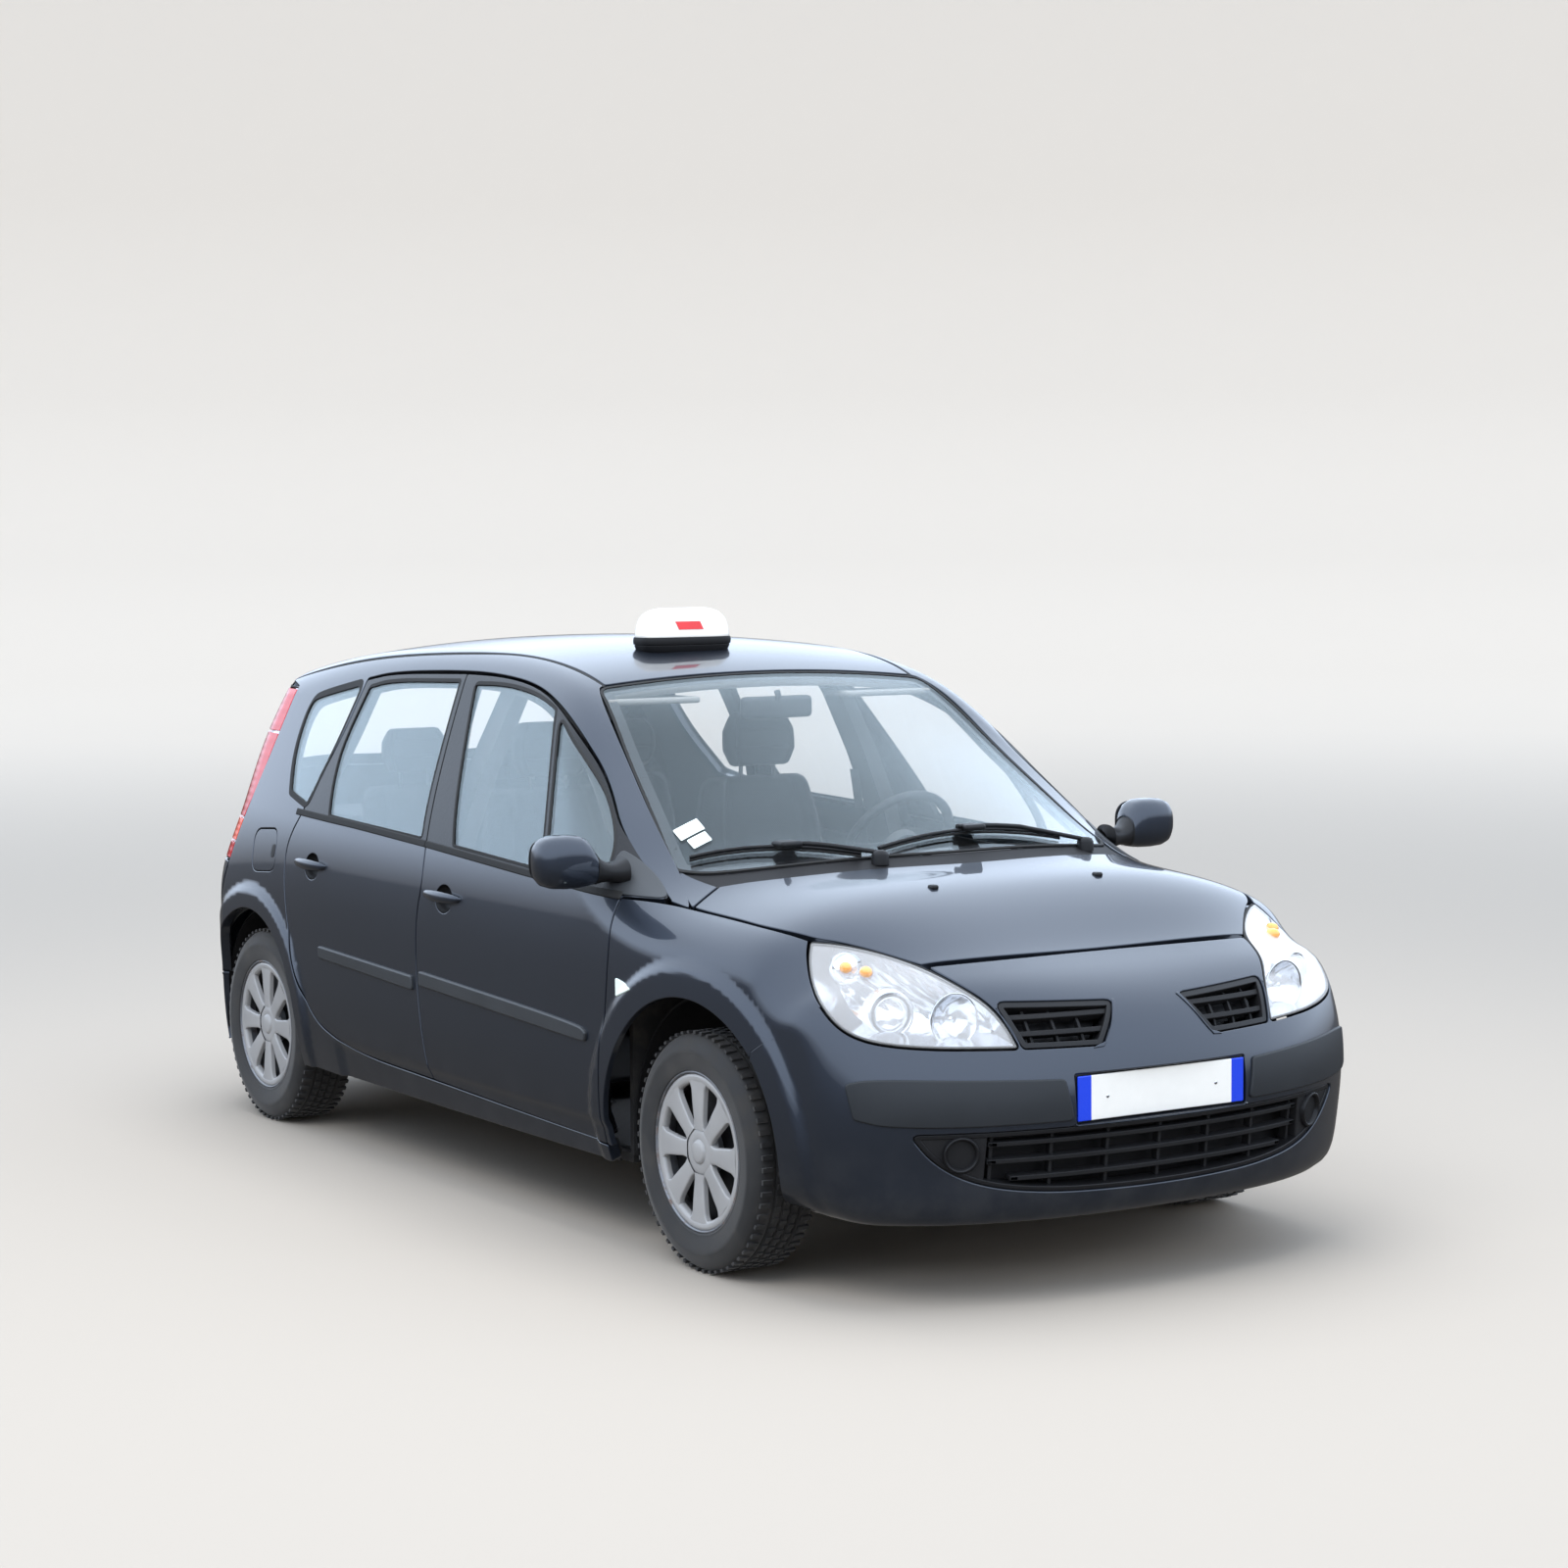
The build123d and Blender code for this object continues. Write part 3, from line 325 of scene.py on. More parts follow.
# ---------------------------------------------------------------- flat patterns
def smooth_loop(points: list, corner: float = 16.0, step: float = 14.0, sharp: float = 34.0) -> np.ndarray:
    """Closed outline with rounded corners and flowing sides.

    Args:
        points: Corners of the outline.
        corner: Radius at vertices that turn by more than the sharp angle.
        step: Longest run between two points of the result.
        sharp: Angle in degrees above which a vertex is a corner.

    Returns:
        Rows of u, v.
    """
    p = np.asarray(points, float)
    before, after = np.roll(p, 1, 0) - p, np.roll(p, -1, 0) - p
    lb, la = np.linalg.norm(before, axis=1), np.linalg.norm(after, axis=1)
    result = []
    for i, point in enumerate(p):
        d0, d1 = before[i] / lb[i], after[i] / la[i]
        turn = math.pi - math.acos(float(np.clip(d0 @ d1, -1, 1)))
        if turn > math.radians(sharp):
            cut = corner * math.tan(turn / 2)
            c0, c1 = min(cut, 0.45 * lb[i]), min(cut, 0.45 * la[i])
        else:
            c0, c1 = 0.5 * lb[i], 0.5 * la[i]
        start, end = point + d0 * c0, point + d1 * c1
        pieces = max(4, int((c0 + c1) / step) + 1)
        for t in np.linspace(0, 1, pieces + 1):
            result.append((1 - t) ** 2 * start + 2 * t * (1 - t) * point + t * t * end)
    dense = []
    for a, b in zip(result, result[1:] + result[:1]):
        length = float(np.linalg.norm(b - a))
        if length < 0.05:
            continue
        pieces = max(1, math.ceil(length / step))
        dense += [a + (b - a) * k / pieces for k in range(pieces)]
    return np.array(dense)


def signed_area(loop: np.ndarray) -> float:
    """Area of a loop, positive if it runs anticlockwise."""
    nxt = np.roll(loop, -1, 0)
    return float((loop[:, 0] * nxt[:, 1] - nxt[:, 0] * loop[:, 1]).sum() / 2)


def offset(loop: np.ndarray, distance: float) -> np.ndarray:
    """Loop moved outwards by a distance, inwards if negative."""
    if distance == 0:
        return loop
    ahead, behind = np.roll(loop, -1, 0) - loop, loop - np.roll(loop, 1, 0)
    ahead = ahead / np.linalg.norm(ahead, axis=1, keepdims=True)
    behind = behind / np.linalg.norm(behind, axis=1, keepdims=True)
    tangent = ahead + behind
    sign = 1.0 if signed_area(loop) > 0 else -1.0
    out = np.stack([tangent[:, 1], -tangent[:, 0]], 1) * sign
    size = np.clip((out ** 2).sum(1, keepdims=True), 0.9, None)
    return loop + out * 2 / size * distance


def inside(loop: np.ndarray, points: np.ndarray) -> np.ndarray:
    """Whether each point is inside the loop."""
    x, y = points[:, :1], points[:, 1:]
    a, b = loop, np.roll(loop, -1, 0)
    crosses = (a[None, :, 1] > y) != (b[None, :, 1] > y)
    rise = np.where(b[:, 1] == a[:, 1], 1e-9, b[:, 1] - a[:, 1])
    where = a[:, 0] + (y - a[:, 1]) * (b[:, 0] - a[:, 0]) / rise
    return (crosses & (x < where)).sum(1) % 2 == 1


def fill(loops: list, step: float) -> tuple[np.ndarray, list]:
    """Triangles between an outer loop and its holes.

    Args:
        loops: The outer loop, then the holes.
        step: Spacing of the points inside.

    Returns:
        All points, the loops' own first, and the triangles.
    """
    edge = np.vstack(loops)
    low, high = loops[0].min(0), loops[0].max(0)
    rows = []
    for k, v in enumerate(np.arange(low[1], high[1], step * 0.87)):
        u = np.arange(low[0] + (k % 2) * step / 2, high[0], step)
        rows.append(np.stack([u, np.full_like(u, v)], 1))
    grid = np.vstack(rows)
    keep = inside(loops[0], grid)
    for hole in loops[1:]:
        keep &= ~inside(hole, grid)
    grid = grid[keep]
    if len(grid):
        near = np.array([np.min(((edge - g) ** 2).sum(1)) for g in grid])
        grid = grid[near > (0.55 * step) ** 2]
    points = np.vstack([edge, grid]) if len(grid) else edge
    links, base = [], 0
    for loop in loops:
        links += [(base + i, base + (i + 1) % len(loop)) for i in range(len(loop))]
        base += len(loop)
    _, _, faces, origins, _, _ = delaunay_2d_cdt([Vector(p) for p in points], links, [], 0, 1e-4)
    triangles = np.array(_renumbered(faces, origins))
    middle = points[triangles].mean(1)
    good = inside(loops[0], middle)
    for hole in loops[1:]:
        good &= ~inside(hole, middle)
    return points, triangles[good].tolist()


def _renumbered(faces: list, origins: list) -> list:
    """Triangles in the numbers of the points that went in."""
    result = []
    for face in faces:
        ids = [origins[i][0] if origins[i] else -1 for i in face]
        if min(ids) >= 0 and len(set(ids)) == 3:
            result.append(ids)
    return result


# ---------------------------------------------------------------- meshes
@dataclass
class Patch:
    """Points, their normals and faces, in millimetres."""

    points: np.ndarray
    normals: np.ndarray
    faces: list

    def mirrored(self) -> "Patch":
        """The same patch on the car's other side."""
        flip = np.array([1, -1, 1])
        return Patch(self.points * flip, self.normals * flip, [tuple(reversed(f)) for f in self.faces])


def facing(points: np.ndarray, normals: np.ndarray, faces: list) -> list:
    """Faces turned so that they look along their points' normals."""
    result = []
    for f in faces:
        a, b, c = points[f[0]], points[f[1]], points[f[2]]
        turned = np.cross(b - a, c - a) @ (normals[f[0]] + normals[f[1]] + normals[f[2]]) < 0
        result.append(tuple(reversed(f)) if turned else tuple(f))
    return result


@dataclass
class Sheet:
    """A rounded-edged sheet laid on the body form.

    Attributes:
        rays: How the pattern is laid on the form.
        loops: Outer loop and holes, in pattern coordinates.
        level: Depth of its face under the skin, mm.
        edge: Radius of the rounded edge.
        wall: How deep the edges reach.
        step: Spacing of points on the face.
        inward: Whether the face looks into the car.
        solid: Whether a back closes the sheet.
        spread: How far the back of the edge is spread past its face, mm.
    """

    rays: Rays
    loops: list
    level: float = 0.0
    edge: float = 2.5
    wall: float = 14.0
    step: float = 22.0
    inward: bool = False
    solid: bool = False
    spread: float = 0.0

    def patch(self) -> Patch:
        """Works the sheet out."""
        sign = [-1.0] + [1.0] * (len(self.loops) - 1)
        inner = [offset(loop, s * self.edge) for loop, s in zip(self.loops, sign)]
        flat, faces = fill(inner, self.step)
        points = self.rays.cast(flat, self.level)
        side = -1.0 if self.inward else 1.0
        normals = FORM.normal(points) * side
        faces = facing(points, normals, faces)
        if self.wall <= 0:
            return Patch(points, normals, faces)
        base, all_points, all_normals = 0, [points], [normals]
        total = len(points)
        back_rows = []
        for loop, s in zip(self.loops, sign):
            count = len(loop)
            up = FORM.normal(self.rays.cast(loop, self.level)) * side
            out = self.rays.cast(offset(loop, -s * 2.0), self.level) - self.rays.cast(loop, self.level)
            out -= (out * up).sum(1, keepdims=True) * up
            out /= np.linalg.norm(out, axis=1, keepdims=True)
            rows = [np.arange(base, base + count)]
            profile = [(math.sin(t), 1 - math.cos(t), t) for t in (math.pi / 6, math.pi / 3, math.pi / 2)]
            profile = [(self.edge * (1 - a), self.edge * d, t) for a, d, t in profile]
            profile.append((-self.spread, self.wall, math.pi / 2))
            for inwards, depth, turn in profile:
                ring = self.rays.cast(offset(loop, s * inwards), self.level) - up * depth
                all_points.append(ring)
                all_normals.append(up * math.cos(turn) + out * math.sin(turn))
                rows.append(np.arange(total, total + count))
                total += count
            for upper, lower in zip(rows, rows[1:]):
                ahead = [(i, (i + 1) % count) for i in range(count)]
                faces += [(upper[i], upper[j], lower[j], lower[i]) for i, j in ahead]
            back_rows.append(rows[-1])
            base += count
        stacked, stacked_normals = np.vstack(all_points), np.vstack(all_normals)
        faces = facing(stacked, stacked_normals, faces)
        if self.solid:
            back_points = points - normals * self.wall
            flat_faces = [tuple(reversed(f)) for f in faces if max(f) < len(points)]
            start = len(stacked)
            stacked = np.vstack([stacked, back_points])
            stacked_normals = np.vstack([stacked_normals, -normals])
            faces += [tuple(i + start for i in f) for f in flat_faces]
            base = 0
            for row in back_rows:
                count = len(row)
                ahead = [(i, (i + 1) % count) for i in range(count)]
                faces += [(row[i], row[j], start + base + j, start + base + i) for i, j in ahead]
                base += count
        return Patch(stacked, stacked_normals, faces)


@dataclass
class Shell:
    """A mesh in the making: patches, each with its finish."""

    name: str
    parts: list = field(default_factory=list)

    def add(self, patch: Patch, finish: bpy.types.Material) -> "Shell":
        """Adds a patch in a finish."""
        self.parts.append((patch, finish))
        return self

    def lay(self, finish: bpy.types.Material, rays: Rays, loops: list, *sizes: float,
            **options: object) -> "Shell":
        """Adds a sheet laid on the body form, with its sizes and options as Sheet takes them."""
        return self.add(Sheet(rays, loops, *sizes, **options).patch(), finish)

    def box(self, finish: bpy.types.Material, low: tuple, high: tuple, radius: float) -> "Shell":
        """Adds a box with rounded edges."""
        return self.add(rounded_box(low, high, radius), finish)

    def mirrored(self) -> "Shell":
        """The same shell on the car's other side."""
        return Shell(self.name, [(patch.mirrored(), finish) for patch, finish in self.parts])

    def both(self) -> "Shell":
        """The shell together with its mirror image."""
        self.parts += [(patch.mirrored(), finish) for patch, finish in self.parts]
        return self

    def build(self, body: str, slot: str, *nodes: str) -> bpy.types.Object:
        """Makes the object, rides it on its body and hides the nodes it stands for.

        Args:
            body: CAD body it moves with.
            slot: Material slot of the record; not used.
            nodes: CAD nodes it replaces.
        """
        points, normals, faces, which, finishes, base = [], [], [], [], [], 0
        for patch, finish in self.parts:
            if finish not in finishes:
                finishes.append(finish)
            points.append(patch.points * MM)
            normals.append(patch.normals)
            faces += [tuple(int(i) + base for i in f) for f in patch.faces]
            which += [finishes.index(finish)] * len(patch.faces)
            base += len(patch.points)
        mesh = bpy.data.meshes.new(self.name)
        mesh.from_pydata(np.vstack(points).tolist(), [], faces)
        for finish in finishes:
            mesh.materials.append(finish)
        mesh.polygons.foreach_set("material_index", which)
        mesh.shade_smooth()
        vertex_normals = np.vstack(normals)
        vertex_normals /= np.maximum(np.linalg.norm(vertex_normals, axis=1, keepdims=True), 1e-9)
        mesh.normals_split_custom_set_from_vertices(vertex_normals.tolist())
        piece = bpy.data.objects.new(self.name, mesh)
        return place(piece, body, slot, *nodes)


def place(piece: bpy.types.Object, body: str, slot: str, *nodes: str) -> bpy.types.Object:
    """Links a piece, rides it on a body and hides the nodes it stands for."""
    if piece.name not in bpy.context.scene.collection.objects:
        bpy.context.scene.collection.objects.link(piece)
    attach(piece, body)
    if nodes:
        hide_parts(*nodes)
    LOG.info("%s on %s, %d faces", piece.name, body, len(piece.data.polygons))
    return piece


def normals_of(points: np.ndarray, faces: list) -> np.ndarray:
    """Smooth vertex normals of plain faces."""
    total = np.zeros_like(points)
    for f in faces:
        a, b, c = points[f[0]], points[f[1]], points[f[2]]
        n = np.cross(b - a, c - a)
        if len(f) > 3:
            n = n + np.cross(c - a, points[f[3]] - a)
        for i in f:
            total[i] += n
    return total / np.maximum(np.linalg.norm(total, axis=1, keepdims=True), 1e-9)


def rings(rows: list, closed: bool = True, caps: tuple = (False, False)) -> Patch:
    """Surface through rows of points.

    Args:
        rows: Rows of equal length, in mm.
        closed: Whether each row is a ring.
        caps: Whether the first and last ring are closed by a fan.
    """
    count = len(rows[0])
    points = np.vstack([np.asarray(r, float) for r in rows])
    faces = []
    for k in range(len(rows) - 1):
        for i in range(count if closed else count - 1):
            j = (i + 1) % count
            faces.append((k * count + i, k * count + j, (k + 1) * count + j, (k + 1) * count + i))
    for row, wanted in ((0, caps[0]), (len(rows) - 1, caps[1])):
        if wanted:
            ids = list(range(row * count, (row + 1) * count))
            faces.append(tuple(reversed(ids)) if row == 0 else tuple(ids))
    patch = Patch(points, normals_of(points, faces), faces)
    centre = points.mean(0)
    turned_out = sum((points[list(f)].mean(0) - centre)
                     @ np.cross(points[f[1]] - points[f[0]], points[f[2]] - points[f[0]]) for f in faces)
    if turned_out < 0:
        patch = Patch(points, -patch.normals, [tuple(reversed(f)) for f in faces])
    return patch


def tube(path: list, radius: float, sides: int = 12, ends: bool = True) -> Patch:
    """Round bar along a path of points in mm."""
    p = np.asarray(path, float)
    rows, lift = [], None
    for i, here in enumerate(p):
        ahead = p[min(i + 1, len(p) - 1)] - p[max(i - 1, 0)]
        ahead /= np.linalg.norm(ahead)
        if lift is None:
            lift = np.array([0, 0, 1.0]) if abs(ahead[2]) < 0.9 else np.array([1.0, 0, 0])
        across = np.cross(ahead, lift)
        across /= np.linalg.norm(across)
        lift = np.cross(across, ahead)
        turn = around(sides)[:, None]
        rows.append(here + radius * (np.cos(turn) * across + np.sin(turn) * lift))
    return rings(rows, True, (ends, ends))


def turned(profile: list, centre: tuple, axis: tuple, sides: int = 96) -> Patch:
    """Ring or dish turned from (radius, distance along the axis) pairs, in mm."""
    axis_v = np.asarray(axis, float)
    axis_v /= np.linalg.norm(axis_v)
    side = np.cross(axis_v, [0, 0, 1.0]) if abs(axis_v[2]) < 0.9 else np.cross(axis_v, [1.0, 0, 0])
    side /= np.linalg.norm(side)
    other = np.cross(axis_v, side)
    rows = []
    for radius, along in profile:
        turn = around(sides)[:, None]
        ring = radius * (np.cos(turn) * side + np.sin(turn) * other)
        rows.append(np.asarray(centre, float) + axis_v * along + ring)
    return rings(rows)


def slab(corners: list, depth: tuple, edge: float = 2.0) -> Patch:
    """Flat plate: a ring of corners in space, given a depth vector, with its rim rounded off.

    Args:
        corners: Ring of points of the front face.
        depth: Vector from the front face to the back face.
        edge: Size of the rounding.
    """
    front = np.asarray(corners, float)
    d = np.asarray(depth, float)
    unit = d / np.linalg.norm(d)
    middle = front.mean(0)
    inward = middle - front
    inward -= (inward @ unit)[:, None] * unit
    inward /= np.linalg.norm(inward, axis=1, keepdims=True)
    rows = [front + inward * edge, front + inward * edge * 0.3 + unit * edge * 0.3, front + unit * edge,
            front + d - unit * edge * 0.5, front + d + inward * edge * 0.5]
    return rings(rows, True, (True, True))


def rounded_box(low: tuple, high: tuple, radius: float, cuts: int = 3) -> Patch:
    """Box with rounded edges between two corners in mm."""
    low, high = np.asarray(low, float), np.asarray(high, float)
    half = (high - low) / 2
    radius = min(radius, float(half.min()) * 0.98)
    points, faces, index = [], [], {}
    grid = [np.unique(np.concatenate([-h + radius * (1 - np.cos(np.linspace(0, math.pi / 2, cuts + 1))),
                                      h - radius * (1 - np.cos(np.linspace(0, math.pi / 2,
                                                                           cuts + 1)))]).round(5))
            for h in half]
    core = half - radius

    def vertex(p: tuple) -> int:
        """Number of the rounded point at a place on the plain box."""
        key = tuple(np.round(p, 4))
        if key not in index:
            q = np.array(p)
            base = np.clip(q, -core, core)
            away = q - base
            size = np.linalg.norm(away)
            index[key] = len(points)
            points.append(base + (away / size * radius if size > 1e-9 else 0))
        return index[key]

    for axis in range(3):
        u, v = [k for k in range(3) if k != axis]
        for end in (-1, 1):
            for i in range(len(grid[u]) - 1):
                for j in range(len(grid[v]) - 1):
                    quad = []
                    for a, b in ((i, j), (i + 1, j), (i + 1, j + 1), (i, j + 1)):
                        p = [0.0, 0.0, 0.0]
                        p[axis], p[u], p[v] = end * half[axis], grid[u][a], grid[v][b]
                        quad.append(vertex(tuple(p)))
                    if len(set(quad)) == 4:
                        faces.append(tuple(quad))
    points = np.array(points)
    normals = points - np.clip(points, -core, core)
    normals /= np.maximum(np.linalg.norm(normals, axis=1, keepdims=True), 1e-9)
    return Patch(points + (low + high) / 2, normals, facing(points, normals, faces))


# ---------------------------------------------------------------- finishes
class Value:
    """A node socket that can be used in expressions."""

    def __init__(self, tree: bpy.types.NodeTree, socket: object) -> None:
        """Wraps a socket or a number."""
        self.tree, self.socket = tree, socket

    def _math(self, operation: str, *others: object) -> "Value":
        """Adds a Math node with this value first."""
        node = self.tree.nodes.new("ShaderNodeMath")
        node.operation = operation
        for slot_, item in zip(node.inputs, (self, *others)):
            item = item.socket if isinstance(item, Value) else item
            if isinstance(item, (int, float)):
                slot_.default_value = float(item)
            else:
                self.tree.links.new(item, slot_)
        return Value(self.tree, node.outputs[0])

    def __add__(self, other: object) -> "Value":
        """Sum."""
        return self._math("ADD", other)

    __radd__ = __add__

    def __mul__(self, other: object) -> "Value":
        """Product."""
        return self._math("MULTIPLY", other)

    __rmul__ = __mul__

    def __sub__(self, other: object) -> "Value":
        """Difference."""
        return self._math("SUBTRACT", other)

    def __rsub__(self, other: float) -> "Value":
        """Difference from a number."""
        return (self * -1.0) + other

    def power(self, other: float) -> "Value":
        """Power."""
        return self._math("POWER", other)

    def above(self, limit: float) -> "Value":
        """1 where the value is over the limit."""
        return self._math("GREATER_THAN", limit)

    def ramp(self, low: float, high: float) -> "Value":
        """Smooth step from 0 at low to 1 at high."""
        node = self.tree.nodes.new("ShaderNodeMapRange")
        node.interpolation_type = "SMOOTHSTEP"
        node.inputs["From Min"].default_value, node.inputs["From Max"].default_value = low, high
        self.tree.links.new(self.socket, node.inputs["Value"])
        return Value(self.tree, node.outputs["Result"])


@dataclass(frozen=True)
class Surface:
    """The plain values of a finish's shader."""

    colour: tuple = (0.5, 0.5, 0.5)
    roughness: float = 0.5
    metallic: float = 0.0
    coat: float = 0.0
    coat_roughness: float = 0.03
    sheen: float = 0.0
    specular: float = 0.5
    ior: float = 1.45


class Finish:
    """Builds one procedural material step by step."""

    def __init__(self, name: str, surface: Surface) -> None:
        """Makes the material and sets the shader's plain values."""
        self.material = bpy.data.materials.new(name)
        self.material.use_nodes = True
        self.tree = self.material.node_tree
        self.shader = self.tree.nodes["Principled BSDF"]
        values = {"Base Color": (*surface.colour, 1.0), "Roughness": surface.roughness,
                  "Metallic": surface.metallic,
                  "Coat Weight": surface.coat, "Coat Roughness": surface.coat_roughness,
                  "Sheen Weight": surface.sheen, "Specular IOR Level": surface.specular, "IOR": surface.ior,
                  "Transmission Weight": 0.0, "Emission Color": (0.0, 0.0, 0.0, 1.0),
                  "Emission Strength": 0.0}
        for key, value in values.items():
            self.shader.inputs[key].default_value = value
        self.material.diffuse_color = (*surface.colour, 1.0)
        self._where = None

    def node(self, kind: str, settings: dict = {}, values: dict = {}) -> bpy.types.Node:
        """Adds a node.

        Args:
            kind: Node type.
            settings: Properties, set first.
            values: Numbers or Values for named sockets.
        """
        node = self.tree.nodes.new(kind)
        for key, item in settings.items():
            setattr(node, key, item)
        for key, item in values.items():
            if isinstance(item, Value):
                self.tree.links.new(item.socket, node.inputs[key])
            else:
                node.inputs[key].default_value = item
        return node

    @property
    def where(self) -> Value:
        """Place on the object, in metres."""
        if self._where is None:
            self._where = Value(self.tree, self.node("ShaderNodeTexCoord").outputs["Object"])
        return self._where

    def axes(self) -> tuple[Value, Value, Value]:
        """The place's x, y and z."""
        node = self.node("ShaderNodeSeparateXYZ", {}, {"Vector": self.where})
        return tuple(Value(self.tree, out) for out in node.outputs)

    def stretched(self, scale: tuple) -> Value:
        """The place with each axis scaled."""
        node = self.node("ShaderNodeMapping", {}, {"Vector": self.where, "Scale": scale})
        return Value(self.tree, node.outputs["Vector"])

    def grazing(self) -> Value:
        """Share of light that a clear sheet mirrors, the same on both of its faces."""
        facing = Value(self.tree, self.node("ShaderNodeLayerWeight", {}, {"Blend": 0.5}).outputs["Facing"])
        return facing.power(5.0) * 0.96 + 0.04

    def noise(self, scale: float, detail: float = 2.0, rough: float = 0.5, at: Value | None = None) -> Value:
        """Cloudy noise from 0 to 1."""
        node = self.node("ShaderNodeTexNoise", {},
                         {"Vector": at or self.where, "Scale": scale, "Detail": detail,
                                                    "Roughness": rough})
        return Value(self.tree, node.outputs["Fac"])

    def cells(self, scale: float, feature: str = "F1", at: Value | None = None) -> Value:
        """Distance to cell points."""
        node = self.node("ShaderNodeTexVoronoi", {"feature": feature},
                         {"Vector": at or self.where, "Scale": scale})
        return Value(self.tree, node.outputs["Distance"])

    def blend(self, factor: object, first: object, second: object) -> Value:
        """Colour between two colours."""
        node = self.tree.nodes.new("ShaderNodeMix")
        node.data_type = "RGBA"
        for socket, item in ((node.inputs[0], factor), (node.inputs[6], first), (node.inputs[7], second)):
            if isinstance(item, Value):
                self.tree.links.new(item.socket, socket)
            elif isinstance(item, (int, float)):
                socket.default_value = item
            else:
                socket.default_value = (*item, 1.0)
        return Value(self.tree, node.outputs[2])

    def feed(self, socket: str, value: Value) -> "Finish":
        """Links a value into the shader."""
        self.tree.links.new(value.socket, self.shader.inputs[socket])
        return self

    def bump(self, height: Value, strength: float, distance: float = 0.001) -> "Finish":
        """Feeds the normal from a height."""
        node = self.node("ShaderNodeBump", {}, {"Strength": strength, "Distance": distance, "Height": height})
        self.tree.links.new(node.outputs["Normal"], self.shader.inputs["Normal"])
        return self


def shade(colour: tuple, factor: float) -> tuple:
    """A colour made lighter or darker."""
    return tuple(min(c * factor, 1.0) for c in colour)


@dataclass(frozen=True)
class CarPaint:
    """Metallic base under clear lacquer, with fine flake, faint dust low down and slight waviness."""

    name: str = "body_paint"
    colour: tuple = (0.026, 0.033, 0.048)

    def make(self) -> bpy.types.Material:
        """Builds the material."""
        f = Finish(self.name, Surface(self.colour, 0.42, 0.72, coat=1.0, coat_roughness=0.025, ior=1.5))
        flakes = f.cells(2600.0)
        cloud = f.noise(3.0, 3.0)
        _, _, z = f.axes()
        dust = (1 - z.ramp(0.20, 0.48)) * f.noise(9.0, 5.0, 0.6).ramp(0.35, 0.8) * 0.16
        flaked = f.blend(flakes.ramp(0.0, 0.55), shade(self.colour, 1.7), self.colour)
        toned = f.blend(cloud * 0.35, flaked, shade(self.colour, 1.25))
        f.feed("Base Color", f.blend(dust, toned, (0.16, 0.15, 0.135)))
        f.feed("Roughness", flakes * 0.10 + dust * 0.5 + 0.34)
        f.feed("Metallic", 0.72 - dust * 0.7)
        f.feed("Coat Weight", 1.0 - dust * 0.8)
        f.bump(f.noise(420.0, 2.0), 0.015, 0.0006)
        return f.material


@dataclass(frozen=True)
class Plastic:
    """Moulded plastic with a fine grain."""

    name: str
    colour: tuple = (0.02, 0.02, 0.021)
    roughness: float = 0.55
    grain: float = 900.0
    depth: float = 0.25
    coat: float = 0.0
    specular: float = 0.5

    def make(self) -> bpy.types.Material:
        """Builds the material."""
        f = Finish(self.name, Surface(self.colour, self.roughness, coat=self.coat, coat_roughness=0.08,
                                      specular=self.specular))
        grain = f.cells(self.grain) * 0.7 + f.noise(self.grain * 0.6, 2.0) * 0.3
        cloud = f.noise(6.0, 4.0)
        f.feed("Base Color", f.blend(cloud, shade(self.colour, 0.85), shade(self.colour, 1.35)))
        f.feed("Roughness", cloud * 0.14 + grain * 0.08 + (self.roughness - 0.11))
        f.bump(grain, self.depth, 0.0004)
        return f.material


@dataclass(frozen=True)
class Glass:
    """Safety glass: see-through face on, mirror-like at a low angle."""

    name: str = "window_glass"
    colour: tuple = (0.74, 0.84, 0.86)
    veil: float = 0.03
    mirror: float = 1.4

    def make(self) -> bpy.types.Material:
        """Builds the material."""
        f = Finish(self.name, Surface(self.colour, 0.0, 1.0))
        haze = f.noise(2.2, 2.0) * 0.02
        f.feed("Alpha", (f.grazing() * self.mirror + haze + self.veil)._math("MINIMUM", 1.0))
        f.feed("Roughness", f.noise(3.0, 2.0) * 0.006)
        return f.material


@dataclass(frozen=True)
class Metal:
    """Bare or lacquered metal with fine streaks."""

    name: str
    colour: tuple = (0.55, 0.56, 0.58)
    roughness: float = 0.3
    streaks: tuple = (60.0, 60.0, 900.0)
    rust: float = 0.0

    def make(self) -> bpy.types.Material:
        """Builds the material."""
        f = Finish(self.name, Surface(self.colour, self.roughness, 1.0))
        streak = f.noise(1.0, 3.0, 0.6, f.stretched(self.streaks))
        spots = f.noise(40.0, 5.0, 0.6).ramp(0.5, 0.72) * self.rust
        f.feed("Base Color", f.blend(spots,
                                     f.blend(streak, shade(self.colour, 0.8), shade(self.colour, 1.15)),
                                     (0.13, 0.055, 0.025)))
        f.feed("Metallic", 1.0 - spots)
        f.feed("Roughness", streak * 0.16 + spots * 0.4 + (self.roughness - 0.06))
        f.bump(streak * 0.5 + spots, 0.10, 0.0005)
        return f.material


@dataclass(frozen=True)
class Underseal:
    """Sealed and dusty underbody steel."""

    name: str = "underseal"
    colour: tuple = (0.022, 0.022, 0.023)

    def make(self) -> bpy.types.Material:
        """Builds the material."""
        f = Finish(self.name, Surface(self.colour, 0.8))
        lumps, dust = f.noise(160.0, 6.0, 0.7), f.noise(7.0, 5.0, 0.6).ramp(0.45, 0.8)
        f.feed("Base Color", f.blend(dust * 0.6, self.colour, (0.095, 0.082, 0.066)))
        f.feed("Roughness", 0.65 + lumps * 0.3)
        f.bump(lumps, 0.5, 0.0015)
        return f.material


